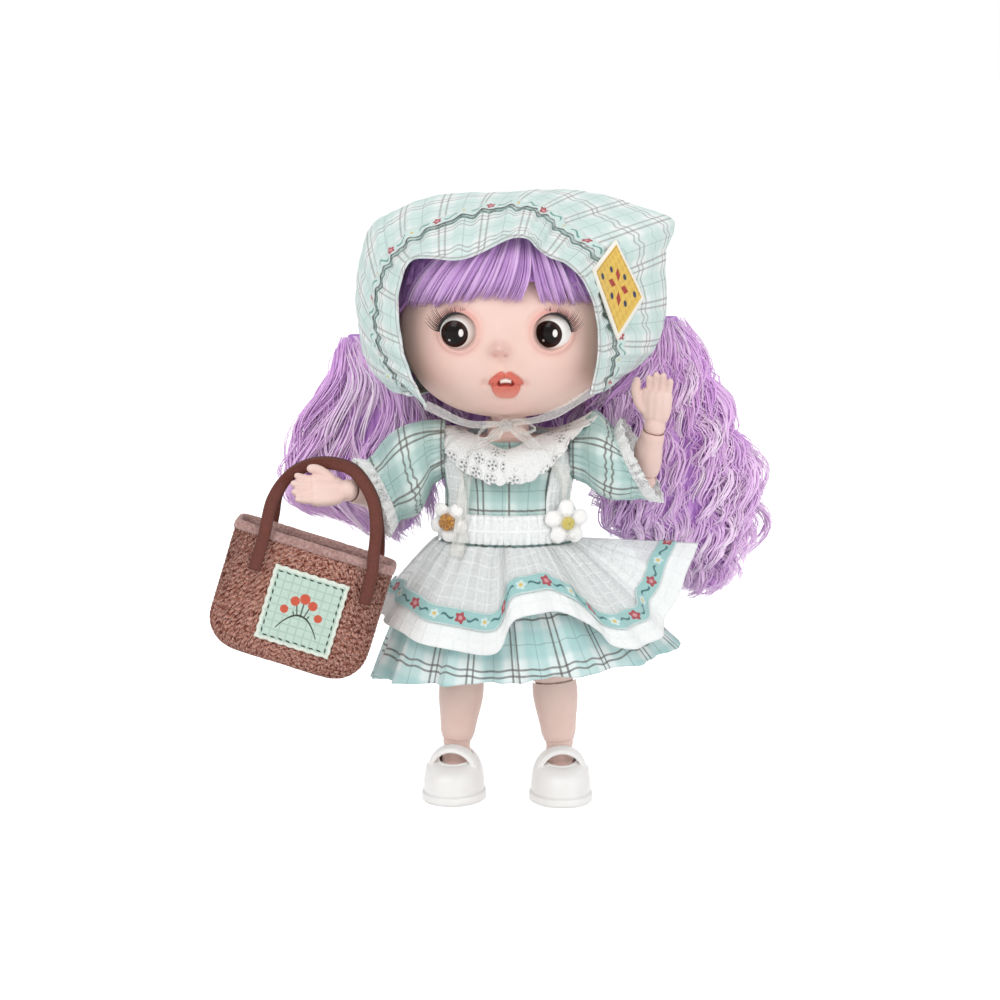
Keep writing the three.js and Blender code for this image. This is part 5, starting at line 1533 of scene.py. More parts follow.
    def lashes(self, side: Side, x: float, y: float) -> list[Piece]:
        """Build the upper lid line and its lashes as thin tapered tubes that curve outward and up."""
        rng = np.random.default_rng(5 + side.value)
        line = self.lid_rim(side, x, y, np.linspace(2.55, 0.12, 48))
        weight = np.sin(np.linspace(0.05, np.pi * 0.92, 48)) ** 0.7
        lid = tube(f"eye_{side.word}_lid_line", line, 0.08 + 0.2 * weight, 10)
        count, inner = 26, 6
        at = np.concatenate([np.linspace(0.05, 1.35, count - inner), rng.uniform(1.4, 2.3, inner)])
        t = even(9)
        length = np.where(at < 0.75, 3.4 - 1.2 * at, 1.6 - 0.25 * at) * rng.uniform(0.85, 1.12, count)
        aim = at * 0.82 - 0.05
        out = points(side.value * np.cos(aim), -0.55, np.sin(aim))
        run = t * length[:, None]
        paths = self.lid_rim(side, x, y, at)[:, None] + out[:, None] * run[..., None]
        paths[..., 2] += t * run * 0.75
        radii = np.outer(rng.uniform(0.15, 0.21, count), 1 - 0.85 * t)
        hairs = strands(f"eye_{side.word}_lashes", paths, radii)
        return [dress(piece, LASH, "eye_gloss", "head") for piece in (lid, hairs)]


HEAD = Head()


@dataclass
class Wig:
    """Wig: a cap, a swept fringe and three masses of long hair under loose strands.

    The tables' rows hold the height, the near and far sides, the front and the depth.
    """

    reach: float = 64.0
    top: float = 107.0
    front: float = 12.6
    thick: float = 13.0
    rounding: float = 0.16
    bend: Bend = Bend("torso", "neck", (0, 0, 0.093), (0, 0, 0.121))
    parting: float = math.radians(16)
    cut: float = 0.2
    wave: float = 40.0
    left: tuple = (
        (1.2, 0.64, 0.7, 0, 0.4), (1.1, 0.5, 0.81, 0, 0.7), (1, 0.36, 0.87, 0, 1), (0.9, 0.35, 0.96, 0, 1),
        (0.81, 0.357, 1.02, 0, 1), (0.71, 0.38, 1.05, 0, 1), (0.62, 0.48, 1.04, 0, 1), (0.53, 0.62, 1, 0, 0.9),
        (0.475, 0.72, 0.9, 0.1, 0.6),
    )
    right: tuple = (
        (1.15, -0.69, -0.6, 0, 0.4), (1.08, -0.74, -0.48, 0, 0.7), (1, -0.8, -0.36, 0, 1),
        (0.9, -0.9, -0.331, 0, 1), (0.82, -0.97, -0.323, 0, 1), (0.74, -0.93, -0.32, 0, 1),
        (0.67, -0.72, -0.33, 0, 1), (0.61, -0.55, -0.36, 0, 0.8),
    )
    back: tuple = (
        (1.07, -0.4, 0.4, 0.5, 0.24), (1, -0.42, 0.42, 0.4, 0.5), (0.9, -0.341, 0.361, 0.34, 0.66),
        (0.8, -0.335, 0.369, 0.3, 0.7), (0.69, -0.28, 0.32, 0.37, 0.6),
    )

    def envelope(self, table: Sequence, t: Array) -> tuple[Array, ...]:
        """Read a hair table along its length: height, near and far sides, front and depth."""
        z, near, far, front, depth = np.moveaxis(route(table, t), -1, 0)
        start = self.front + self.thick * front
        return self.top * z, self.reach * near, self.reach * far, start, self.thick * depth

    def mass(self, name: str, table: Sequence) -> Piece:
        """Build the smooth inside of a hair mass, squarish rings a little inside its envelope."""
        wave = np.random.default_rng(len(name) + 5).uniform(0, 6)
        t = np.linspace(0.0, 0.92, 60)[:, None]
        turn = circle(73)
        z, near, far, start, depth = self.envelope(table, t)
        round_off = np.sqrt(1 - (t / t[-1]) ** 7 * 0.98)
        wave = 1 + 0.04 * np.sin(turn * 9 + t * 14 + wave)
        x = (near + far) / 2 + np.abs(far - near) / 2 * 0.86 * round_off * squared(np.sin(turn), 0.75) * wave
        y = start + depth / 2 + depth * 0.43 * round_off * squared(np.cos(turn), 0.75) * wave
        piece = closed_grid(f"{name}_mass", capped(points(x, y, z)))
        return dress(piece, HAIR_MASS, "hair_fibre", self.bend, name)

    def locks(
        self, name: str, table: Sequence, count: int, steps: int, seed: int, curl: float, length: float,
        crimp: float, thin: float, bundle: int, spread: float,
    ) -> Piece:
        """Lay curled locks through a hair mass.

        A lock keeps its place between the near and far sides and between front and back and winds
        as a flattened spiral; its strands twist round its middle, stray from it by sines of their
        own, and end earlier toward the mass's sides, so that the mass ends round.

        Args:
            name: Name of the piece.
            table: Table of the mass.
            count: Number of strands.
            steps: Points on each.
            seed: Seed of the random numbers.
            curl: Height of the curl in millimetres.
            length: Length of one curl in millimetres.
            crimp: Share of the curl that differs from strand to strand.
            thin: Thickest radius.
            bundle: Strands in a lock.
            spread: Half thickness of a lock.

        Returns:
            The finished piece.
        """
        rng = np.random.default_rng(seed)
        groups = count // bundle
        group = np.arange(count) % groups
        t = even(steps)[None]

        def each(low: float, high: float, one: bool = False) -> Array:
            """Draw a number for each lock, or for each strand, as a column."""
            numbers = rng.uniform(low, high, count) if one else rng.uniform(low, high, groups)[group]
            return numbers[:, None]

        middle = (rng.permutation(groups) + rng.uniform(0.1, 0.9, groups)) / groups
        face = rng.random(groups)
        deep = np.where(face < 0.5, rng.uniform(0, 0.18, groups),
                        np.where(face < 0.78, rng.uniform(0.84, 1, groups), rng.uniform(0, 1, groups)))
        begin = each(0, 0.07)
        tail = 1 - self.rounding * np.abs(middle - 0.45) ** 2 * 4 - rng.uniform(0, 0.09, groups)
        stop = tail[group][:, None] - each(0, 0.05, True)
        s = begin + (stop - begin) * t
        z, near, far, start, depth = self.envelope(table, s)
        run = (self.top * (table[0][0] - table[-1][0])) * s
        shared, own = each(0, TAU), each(0, TAU, True)
        pitch = length * each(0.8, 1.25)
        phase = TAU * (run + 0.12 * length * np.sin(run / length + own * 0.2)) / pitch + shared
        height = curl * each(0.65, 1.2) * ease(s, 0.0, 0.3)
        stray = curl * crimp * ease(s, 0.05, 0.4) * each(0.2, 1.0, True)
        around = own + run * (TAU / (pitch * 2.2))
        thick = spread * np.sqrt(each(0, 1, True)) * (1 - 0.55 * t ** 3)
        slow = ease(s, 0, 0.5) * 1.2 * np.sin(run / 12 + shared)
        x = mix(near, far, middle[group][:, None]) + height * np.sin(phase) + thick * np.cos(around)
        y = start + depth * deep[group][:, None] + height * np.cos(phase) * 0.6 + thick * np.sin(around) * 0.7
        x = x + stray * np.sin(phase * 1.7 + own) + slow
        y = np.clip(y + stray * np.cos(phase * 1.3 + own) * 0.5, start - 1.2, start + depth + 1.2)
        z = z + height * 0.4 * np.sin(phase + 1.2) + stray * 0.4 * np.sin(phase * 1.5 + 2 * own)
        taper = np.clip(np.minimum(t * 8 + 0.35, (1 - t) * 5 + 0.12), 0, 1)
        radii = each(0.6, 1.0, True) * thin * taper
        tones = np.clip(rng.uniform(0.25, 0.85, groups)[group] + rng.normal(0, 0.12, count), 0, 1)
        return dress(strands(name, points(x, y, z), radii, tones), HAIR, "hair_fibre", self.bend)

    def fringe(self) -> Piece:
        """Comb the fringe from a parting outward and round to the brow.

        Each strand starts under the brim at the parting, sweeps to its own side in an arch, lifts a
        little from the head and flicks outward at the end, which follows the brow's line.
        """
        rng = np.random.default_rng(23)
        count = 1000
        t = even(18)[None]
        share = np.sort(rng.uniform(-1, 1, count))[:, None]
        root = self.parting + (share - self.cut) * np.radians(np.where(share < self.cut, 20, 24))
        end = share * math.radians(59) + math.radians(3)
        flick = np.where(share < self.cut, -1.0, 1.0) * math.radians(5.5)
        around = mix(root, end, t ** 0.62) + flick * t ** 5
        brow = 136.9 + 0.6 * np.cos(share * 7 + 0.6) - 3.6 * np.abs(share) ** 2.2
        brow = brow + rng.normal(0, 0.5, (count, 1))
        crown = 156.2 - 1.5 * np.abs(share) - 9.5 * np.maximum(0, share - self.cut)
        z = mix(crown, brow, t ** 1.4)
        grow = 1.6 + rng.uniform(0, 1.5, count)[:, None] + 1.7 * np.sin(np.pi * t ** 1.1) - 1.5 * t ** 5
        lockwave = np.sin(share * self.wave) * 0.5 + np.sin(share * 17 + 1) * 0.35
        grow = grow + lockwave * np.sin(np.pi * np.clip(t * 1.05, 0, 1))
        near_root = ease(share, self.cut, 0.35) * (1 - ease(t, 0.0, 0.4))
        grow = grow * (1 - 0.55 * ease(share, 0.45, 0.8)) * (1 - 0.45 * near_root)
        around = around + math.radians(1.4) * np.sin(share * self.wave + 1.5) * t
        rise = np.arcsin(np.clip((z - HEAD.middle) / (HEAD.half_height + grow), -0.99, 0.99))
        radii = rng.uniform(0.16, 0.3, count)[:, None] * np.clip((1 - t) * 4 + 0.2, 0, 1)
        tones = np.clip(0.55 + 0.22 * np.sin(share[:, 0] * self.wave + 0.8) + rng.normal(0, 0.15, count), 0, 1)
        hairs = strands("fringe_strands", HEAD.ball(around, rise, grow), radii, tones)
        return dress(hairs, SHADED_FRINGE, "hair_fibre", "head")

    def under_fringe(self) -> Piece:
        """Build the fringe's inside, a bowed sheet between brow and crown."""
        turn = np.radians(np.linspace(-60, 60, 90))
        share = even(30)[:, None]
        drop = 2.2 * np.abs(turn / turn[-1]) ** 3
        height = mix(141.6, 154.6, share) - drop * (1 - share) - 9.0 * ease(turn, 0.2, 0.9) * share
        grow = 2.6 + 0.35 * np.sin(turn * 40) + 0.5 * np.sin(np.pi * share)
        grid = HEAD.ball(turn, np.arcsin((height - HEAD.middle) / (HEAD.half_height + grow)), grow)
        return dress(cloth("fringe_mass", grid, 0.9, flip=True), HAIR_MASS, "hair_fibre", "head", "hair_fringe")

    def build(self) -> list[Piece]:
        """Build the masses, the strands and the fringe."""
        return [
            self.mass("hair_left", self.left), self.mass("hair_back", self.back),
            self.mass("hair_right", self.right), self.under_fringe(), self.fringe(),
            self.locks("hair_left_locks", self.left, 616, 36, 3, 2.5, 14.0, 0.14, 0.29, 14, 1.9),
            self.locks("hair_left_frizz", self.left, 340, 42, 4, 2.1, 9.0, 0.45, 0.17, 4, 1.8),
            self.locks("hair_right_locks", self.right, 714, 28, 5, 1.9, 26.0, 0.08, 0.3, 17, 2.3),
            self.locks("hair_right_wisps", self.right, 260, 32, 6, 1.9, 18.0, 0.25, 0.18, 4, 1.8),
            self.locks("hair_back_locks", self.back, 480, 30, 7, 1.4, 13.0, 0.3, 0.31, 11, 1.6),
        ]


@dataclass
class Headscarf:
    """Eared headscarf: a crown, a face brim with a trimmed seam, a diamond patch and a sheer tie."""

    half_width: float = 43.5
    height: float = 60.0
    foot: float = 104.5
    middle_y: float = 4.0
    front: float = 16.5
    back: float = 28.0
    seam: float = math.radians(28)
    nape: float = math.radians(44)
    pole: float = math.radians(84)
    outline: tuple = (
        (1, 0.45), (0.97, 0.7), (1.02, 0.85), (0.8, 0.92), (0.42, 0.975), (0.04, 0.99), (-0.36, 0.965),
        (-0.68, 0.9), (-0.86, 0.84), (-0.92, 0.68), (-0.97, 0.45), (-0.93, 0.26), (-0.78, 0.11), (-0.5, 0.03),
        (0, 0), (0.45, 0.045), (0.74, 0.15), (0.91, 0.28),
    )
    brim_reach: float = 26.5
    seam_line: tuple = (
        (25.6, -12.5, 111.5), (28.6, -15, 122.5), (25.8, -17, 133.5), (24.2, -16, 145.6), (14.8, -15.5, 153.2),
        (6.4, -13.5, 159.0), (-7.6, -13.5, 157.9), (-25.2, -14, 150.2), (-32.2, -14.5, 141.0),
        (-33.8, -14.5, 128.0), (-30.4, -13.5, 117.4), (-24.6, -11.5, 110.2),
    )
    patch: tuple = ((28.6, 151.4), (23.0, 144.4), (36.1, 135.6), (29.4, 125.4))
    patch_lift: float = 2.0
    brim_start: float = 0.868
    brim_end: float = 1.66
    brim: tuple = (
        (0.86, 0.13), (0.93, 0.3), (0.91, 0.47), (0.76, 0.64), (0.42, 0.73), (0.2, 0.8), (-0.3, 0.73),
        (-0.84, 0.72), (-1.02, 0.58), (-1.01, 0.36), (-0.89, 0.18), (-0.76, 0.07),
    )
    tail_bend: Bend = Bend("torso", "neck", (0, 0, 0.086), (0, 0, 0.101))
    loops: tuple = (((-3.6, -1.8, 0.4), (-7.0, -1.6, -3.2), (-4.4, -2.4, -3.4)),
                    ((3.8, -1.8, 1.4), (8.0, -1.8, -1.0), (4.6, -2.6, -2.2)))
    tails: tuple = (
        ((-2.5, -1.8, -2.6), ((-24, 95.0, 4.4), (-33, 86.0, 4.0), (-36, 78.0, 4.4), (-34, 68.0, 6.4))),
        ((4.0, -1.8, -2.2), ((26, 95.6, 4.8), (46, 89.0, 4.4), (55, 82.0, 4.6), (50, 72.0, 5.6))),
    )

    def edge(self, u: Array) -> Array:
        """Give the outline, seen from the front, at shares of its way round."""
        return route([(x * self.half_width, 0, self.foot + z * self.height) for x, z in self.outline], u, True)

    def centre(self) -> Array:
        """Give the middle from which the crown rounds over."""
        return vec(0, 0, self.foot + self.height * 0.45)

    def point(self, u: Array, tilt: Array, grow: Number) -> Array:
        """Give points of the crown.

        The outline shrinks toward its middle by the cosine of the tilt while Y moves by its sine,
        so that the cloth rounds over to the back.

        Args:
            u: Share of the way round the outline.
            tilt: Angle from the outline's plane, positive to the back.
            grow: Distance inside the outer face.

        Returns:
            Points in millimetres.
        """
        out = self.edge(u) - self.centre()
        length = np.linalg.norm(out, axis=-1, keepdims=True)
        out = out * (length - np.asarray(grow)[..., None]) / length
        reach = np.where(tilt < 0, self.front / math.sin(self.seam), self.back - grow)
        p = self.centre() + out * np.cos(tilt)[..., None]
        p[..., 1] = self.middle_y + reach * np.sin(tilt)
        return p

    def nape_share(self, u: Array) -> Array:
        """Tell how far the front edge has passed behind the neck: 0 above and 1 at the nape."""
        p = self.edge(u) - self.centre()
        down = np.arctan2(np.abs(p[..., 0]), -p[..., 2])
        return 1 - ease(down, math.radians(30), math.radians(58))

    def front_edge(self, u: Array) -> tuple[Array, Array]:
        """Give the crown's front edge and how far it was pulled in from the plain outline."""
        start = mix(-self.seam, self.nape, self.nape_share(u))
        span = self.brim_end - self.brim_start
        share = (u - self.brim_start) % 1.0
        inside = share <= span
        outside = np.minimum(share - span, 1 - share)
        sewn = route(self.seam_line, np.where(inside, share / span, np.round(share - span < 1 - share)))
        weight = 1 - ease(np.where(inside, 0, outside), 0, 0.07)
        return start, (sewn - self.point(u, start, 0.5)) * weight[..., None]

    def crown_grid(self, u: Array, v: Array) -> Array:
        """Give points of the crown from its front edge (0) to the pole behind (1).

        Each column goes round by its tilt; near the front it is pulled over to the sewn edge by a
        power of the way back, and gathers, hollows and soft folds are taken off its radius.

        Args:
            u: Share of the way round the outline, one for each column.
            v: Share of the way back, one for each row.

        Returns:
            Points in millimetres.
        """
        start, pull = self.front_edge(u)
        v = v[:, None]
        turn = u * TAU
        gathers = 0.42 * np.sin(turn * 31 + 2 * np.sin(turn * 3)) + 0.3 * np.sin(turn * 53 + 1)
        backs = ease(v, 0.5, 1.0) * 0.55 * np.sin(turn * 24)
        folds = 0.8 * np.sin(turn * 7 + v * 5) * np.sin(np.pi * v)
        grow = np.clip(0.85 + np.exp(-v * 6.0) * gathers + backs + folds, 0.05, 2.4)
        near = np.clip(1 - v / 0.3, 0, 1) ** 1.35
        tilt = mix(start, self.pole, v)
        grid = self.point(np.broadcast_to(u, tilt.shape), tilt, grow) + pull * near[..., None]
        grid[..., 1] -= near * (1 - near) * 4 * np.sin(turn * 12 + 1.5 * np.sin(turn * 5)) * 0.7
        return grid

    def crown(self) -> Piece:
        """Build the crown and close it at the pole behind."""
        v = np.concatenate([np.linspace(0, 0.3, 34), np.linspace(0.3, 1, 40)[1:]])
        grid = self.crown_grid(even(361), v)
        uv = grid_uv(grid)
        uv[..., 0] = row_lengths(grid[30])
        whole = capped(grid)[1:]
        flat = np.concatenate([uv, uv[-1:] + [0, 2.0]])
        piece = cloth("headscarf_crown_cloth", whole, 0.5, True, flat, flip=self.inward(whole))
        dress(piece, SCARF, "plaid_cotton", "head", "headscarf_crown")
        declare_sheet(piece, grid, Held.STRETCHED)
        return piece

    def inward(self, grid: Array) -> bool:
        """Tell whether a grid's normals point away from the head, so that its second side goes in."""
        return bool(np.sum(grid_normals(grid, False) * (grid - vec(0, 4, 131))) > 0)

    def brim_grid(self, columns: int, rows: int) -> Array:
        """Give the brim between the seam and the opening round the face, with ripples at its edge."""
        u = even(columns)
        y = HEAD.forward - HEAD.half_depth * 0.86
        edge = route([(x * self.brim_reach, y, self.foot + z * self.height) for x, z in self.brim], u)
        edge[:, 1] -= 9 * ease(edge[:, 2], self.centre()[2], self.foot + self.height)
        dip = bell(u - 0.42, 0.05)
        edge[:, 2] += 1.6 * dip - 0.8 * np.sin(u * TAU * 5.5) * ease(edge[:, 2], 135, 145)
        seam = self.crown_grid(mix(self.brim_start, self.brim_end, u) % 1.0, np.zeros(1))[0]
        seam[:, 1] -= 0.5
        v = even(rows)[:, None]
        grid = mix(seam, edge, v[..., None])
        gathers = np.sin(u * TAU * 38 + 2 * np.sin(u * 12)) * 0.42 * np.exp(-v * 3.2)
        ripple = np.sin(u * TAU * 18) * 0.85 * v + np.sin(u * TAU * 7 + 1.3) * 0.55 * v
        grid[..., 1] -= gathers + ripple + 1.5 * np.sin(np.pi * v) + 0.5 * np.sin(np.pi * v ** 4)
        return grid

    def patch_grid(self, cloud: Array) -> tuple[Array, Array]:
        """Give the diamond before the cloth, and its coordinates along both diagonals.

        Y is the mean of the cloth's points, each weighted by a bell of its distance.

        Args:
            cloud: Points of the cloth behind it.

        Returns:
            Points in millimetres, and two coordinates for each.
        """
        s, t = np.meshgrid(np.linspace(-1, 1, 33), np.linspace(-1, 1, 33), indexing="xy")
        p, q = (s[..., None] + 1) / 2, (t[..., None] + 1) / 2
        top, left, right, foot = (np.array(c) for c in self.patch)
        plan = mix(mix(foot, left, q), mix(right, top, q), p)
        near = cloud[(cloud[:, 0] > 18) & (cloud[:, 2] > 120)]
        gap = ((plan[:, :, None, 0] - near[:, 0]) ** 2 + (plan[:, :, None, 1] - near[:, 2]) ** 2) / 1.4 ** 2
        weight = np.exp(-np.minimum(gap, 60)) + 1e-24
        depth = (weight * near[:, 1]).sum(-1) / weight.sum(-1)
        grid = points(plan[..., 0], depth - self.patch_lift, plan[..., 1])
        return grid, np.stack([(s + t) / 2, (s - t) / 2], -1)

    def trims(self, grid: Array) -> list[Piece]:
        """Build the ribbon outside the seam, a thin dark tube on the seam that paints its shadow, the brim's
        hem and the diamond patch.
        """
        along = mix(self.brim_start + 0.015, self.brim_end - 0.015, even(420)) % 1.0
        front = self.crown_grid(along, np.linspace(0, 0.3, 60))
        band = down_columns(front, np.linspace(0.75, 0.75 + SCARF_RIBBON.width, 7))
        band = band + unit(band - vec(0, 8, 131)) * 0.8
        uv = grid_uv(band)
        uv[..., 1] = np.linspace(0, SCARF_RIBBON.width, 7)[:, None]
        diamond, flat = self.patch_grid(np.concatenate([front.reshape(-1, 3), grid.reshape(-1, 3)]))
        made = (
            (cloth("headscarf_ribbon", band, 0.25, uv=uv, flip=self.inward(band)), SCARF_RIBBON),
            # A thin tube on the seam, coloured dark: painted shadow along the seam.
            (tube("headscarf_piping", grid[0] + vec(0, -0.25, 0), 0.3, 8), SCARF_SEAM_SHADOW),
            (tube("headscarf_hem", grid[-1] + vec(0, -0.05, 0), 0.5, 10), SCARF),
        )
        patch = cloth("headscarf_patch_cloth", diamond, 0.55, uv=flat, flip=self.inward(diamond))
        return [*(dress(piece, look, "plaid_cotton", "head") for piece, look in made),
                dress(patch, PatchCloth(), "patch_cloth", "head", "headscarf_patch")]

    def band(
        self, name: str, path: Sequence, width: Sequence, side: Array, body: str | Bend, steps: int,
    ) -> Piece:
        """Carry a sheer ribbon of a given width along a spline, waved a little across.

        Args:
            name: Name of the piece.
            path: Points of the spline.
            width: Width at even steps along it.
            side: Direction that the ribbon's width is nearest to.
            body: The body that it rides, or the two that it lies between.
            steps: Points along it.

        Returns:
            The finished piece.
        """
        t = even(steps)
        line = route(path, t)
        ahead = unit(np.gradient(line, axis=0))
        across = unit(side - np.sum(side * ahead, -1, keepdims=True) * ahead)
        w = np.linspace(-1, 1, 9)[:, None]
        strip = line + across * (w * smoothed(width, t) / 2)[..., None]
        strip[..., 1] += 0.25 * np.sin(w * 5 + t * 11)
        return dress(cloth(name, strip, 0.22), ORGANZA, "white_lace", body)

    def tie(self, grid: Array) -> list[Piece]:
        """Build the sheer ribbon from the brim's jaws to a bow with two loops and long tails."""
        knot = vec(0, HEAD.forward - HEAD.half_depth * 0.47, 103.0)
        parts = []
        for jaw, side in zip((grid[-1][0], grid[-1][-1]), Side):
            path = [jaw + vec(0, 0.2, 0.6), mix(jaw, knot, 0.5) + vec(0, -1.6, -1.7), knot]
            name = f"tie_strap_{side.word}"
            parts.append(self.band(name, path, (2.4, 2.0, 1.4), vec(0, -0.3, 1), "head", 40))
        for loop, side in zip(self.loops, Side):
            path = [knot, *(knot + vec(*p) for p in loop), knot]
            name, width = f"tie_loop_{side.word}", (1.2, 3.0, 3.4, 3.0, 1.2)
            parts.append(self.band(name, path, width, vec(0, -1.0, 0.35), "head", 50))
        for (first, chest), width, side in zip(self.tails, ((3.2, 3.6), (3.0, 3.4)), Side):
            path = [knot, knot + vec(*first), *(TORSO.point(math.radians(a), z, grow) for a, z, grow in chest)]
            name, width = f"tie_tail_{side.word}", (1.0, 3.0, 3.0, 3.0, *width)
            parts.append(self.band(name, path, width, vec(1, 0, 0.2), self.tail_bend, 90))
        ball = ball_grid(knot + vec(0, -1.2, -0.2), (1.9, 1.3, 1.8), 33, 17)
        ball[..., 1] += 0.1 * np.sin(circle(33) * 9)
        bow = closed_grid("tie_knot", ball, grid_uv(ball))
        return [*parts, dress(bow, ORGANZA, "white_lace", "head", "headscarf_tie")]

    def build(self) -> list[Piece]:
        """Build the scarf and its trims."""
        crown = self.crown()
        grid = self.brim_grid(340, 26)
        brim = cloth("headscarf_brim_cloth", grid, 0.6, flip=self.inward(grid))
        dress(brim, SCARF, "plaid_cotton", "head", "headscarf_brim")
        trims = [*self.trims(grid), *self.tie(grid)]
        declare_sheet(brim, grid, Held.GATHERED)
        return [crown, brim, *trims]


@dataclass
class Dress:
    """Checked dress: bodice, puffed sleeves with lace cuffs, a lace collar and a gathered skirt.

    A cuff holds its middle as shares of the arm, its axis and its radius.
    """

    waist: float = 70.8
    hem: float = 36.5
    half_width: float = 41.0
    half_depth: float = 27.0
    push: float = 0.06
    shift: float = 3.6
    rise: float = 3.4
    pleat: float = 1.9
    pleats: int = 14
    flare: float = 0.85
    flat_half: float = 128.0
    head_x: float = 19.4
    head_radius: float = 7.3
    shoulder_x: float = 19.5
    shoulder_z: float = 94.5
    arm: float = 18.0
    collar_top: float = 99.4
    collar_half: tuple[float, float] = (18.8, 16.0)
    collar_drop: tuple[float, float] = (12.0, 8.0)
    corner: float = math.radians(72)
    cuffs: dict = field(default_factory=lambda: {
        Side.LEFT: ((0.76, -0.05, -0.22), (0.887, -0.05, 0.46), 10.7),
        Side.RIGHT: ((-0.8, -0.2, -0.66), (-0.87, -0.3, -0.39), 9.7),
    })

    def skirt_point(self, turn: Array, v: Array, grow: Number) -> Array:
        """Give points of the skirt from the waist (0) to the hem (1).

        The half width and half depth open by a power of the way down, pleats are a cosine of the
        turn that grows downward, and the hem rises toward one side.

        Args:
            turn: Angle from the front toward +X.
            v: Share of the way down.
            grow: Distance outward.

        Returns:
            Points in millimetres.
        """
        waist = TORSO.point(np.array([np.pi / 2, 0.0]), self.waist, 0.6)
        push = TORSO.half_depth * self.push
        flare = v ** self.flare
        out = self.pleat * v * np.cos(self.pleats * turn) + grow
        wide = mix(waist[0, 0], self.half_width - self.pleat, flare) + out
        deep = mix(-waist[1, 1] - push, self.half_depth - self.pleat, flare) + out
        z = mix(self.waist - 0.3, self.hem + self.rise * v * np.sin(turn), v)
        return points(self.shift * v + wide * np.sin(turn), -push * (1 - v) - deep * np.cos(turn), z)

    def bodice(self) -> Piece:
        """Build the bodice as rings round the torso with small gathers at the waist."""
        z, turn = np.linspace(self.waist - 0.4, 97.4, 60)[:, None], circle(217)
        gather = 0.28 * np.exp(-(z - self.waist) / 2.6) * np.sin(turn * 46)
        fold = 0.2 * np.sin(turn * 9 + z * 0.35)
        grid = TORSO.point(turn, z, 0.75 + gather + fold + 0.45 * ease(z, 88, 98))
        uv = grid_uv(grid)
        uv[..., 1] -= 20.5
        piece = cloth("dress_bodice_cloth", grid, 0.5, True, uv)
        dress(piece, DRESS, "plaid_cotton", "torso", "dress_bodice")
        declare_sheet(piece, grid, Held.STRETCHED)
        return piece

    def skirt(self) -> list[Piece]:
        """Build the skirt in two halves that meet at the front and back."""
        pieces = []
        v = even(60)[:, None]
        for side, low, high in ((Side.LEFT, 0, np.pi), (Side.RIGHT, -np.pi, 0)):
            turn = np.linspace(low, high, 241)
            fine = 0.55 * np.exp(-v * 3.5) * np.sin(turn * 42)
            fine = fine + 0.7 * v * np.sin(turn * 33 + 2 * np.sin(turn * 5))
            soft = np.sin(np.pi * v) * np.sin(turn * 7 + 1.2) * np.sin(turn) ** 2
            hip = bell(turn - 1.5, 0.55)
            calm = 1 - 0.85 * hip
            press = self.pleat * v * (np.cos(self.pleats * turn) * (calm - 1) + hip * 0.5)
            grid = self.skirt_point(turn, v, (fine + soft) * calm + press + 0.25)
            grid += (hip * v ** 1.5)[..., None] * vec(2.6, 0, 2.6)
            uv = grid_uv(grid)
            uv[..., 0] = turn / np.pi * self.flat_half
            piece = cloth(f"dress_skirt_{side.word}", grid, 0.55, uv=uv)
            dress(piece, SKIRT, "plaid_cotton", "torso")
            press_up(piece, side)
            declare_sheet(piece, grid, Held.GATHERED)
            pieces.append(piece)
        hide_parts("dress_skirt")
        return pieces

    def sleeve_ring(self, side: Side, v: Array, turn: Array, grow: Array) -> Array:
        """Give rings of a puffed sleeve between its head and its cuff.

        Centres and axes go straight from one end to the other and the radius swells between them by
        a sine.

        Args:
            side: Which arm.
            v: Share of the way to the cuff.
            turn: Angle round the ring.
            grow: Distance outward.

        Returns:
            Points in millimetres.
        """
        shares, axis, cuff = self.cuffs[side]
        start = vec(side.value * self.head_x, 0, self.shoulder_z)
        end = vec(side.value * self.shoulder_x, 0, self.shoulder_z) + np.array(shares) * self.arm
        v, turn = v[..., None], turn[..., None]
        centre = mix(start, end, v) + np.maximum(0, 0.1 - v) * vec(-side.value * 26, 0, 0)
        line = unit(mix(vec(side.value, 0, 0), unit(np.array(axis)), v))
        across = unit(np.cross(line, vec(0, 1, 0)))
        puff = np.maximum(0, 3.2 * np.sin(np.pi * np.minimum(1, v * 1.15)))
        radius = mix(self.head_radius, cuff, v) + puff + grow[..., None]
        return centre + radius * (across * np.cos(turn) + np.cross(line, across) * np.sin(turn))

    def sleeve(self, side: Side) -> list[Piece]:
        """Build one sleeve with gathers at both ends, and its ruffled lace cuff."""
        v, turn = even(44)[:, None], circle(193)
        ends = np.exp(-v * 6) + np.exp(-(1 - v) * 7)
        grow = -0.55 + 0.4 * ends * np.sin(turn * 26) + 0.55 * np.sin(np.pi * v) * np.sin(turn * 5 + v * 4)
        grid = self.sleeve_ring(side, v, turn, grow - 0.6 * bell(1 - v, 0.06))
        start, end = (tuple(map(float, (grid[k, :-1].mean(0) + AXIS) * MM)) for k in (2, 36))
        piece = cloth(f"sleeve_{side.word}_cloth", grid, 0.5, True)
        bend = Bend(f"shoulder_{side.word}", f"upper_arm_{side.word}", start, end)
        dress(piece, DRESS, "plaid_cotton", bend, f"sleeve_{side.word}")
        w, turn = even(14)[:, None], circle(289)
        scallop = 0.35 * np.abs(np.sin(turn * 17)) * ease(w, 0.6, 1.0)
        ruffle = 0.75 * w * np.sin(turn * 21 + np.sin(turn * 4)) + 0.3 * w * np.sin(turn * 37)
        along = 0.985 + 0.155 * w + 0.06 * scallop
        past = (np.maximum(along, 1.0) - 1.0) * 19
        edge = self.sleeve_ring(side, np.minimum(along, 1.0), turn, -0.3 + 1.3 * w + ruffle)
        edge += unit(np.array(self.cuffs[side][1])) * past[..., None]
        lace = cloth(f"cuff_lace_{side.word}", edge, 0.3, True)
        dress(lace, CUFF_LACE, "white_lace", f"upper_arm_{side.word}")
        declare_sheet(piece, grid, Held.GATHERED)
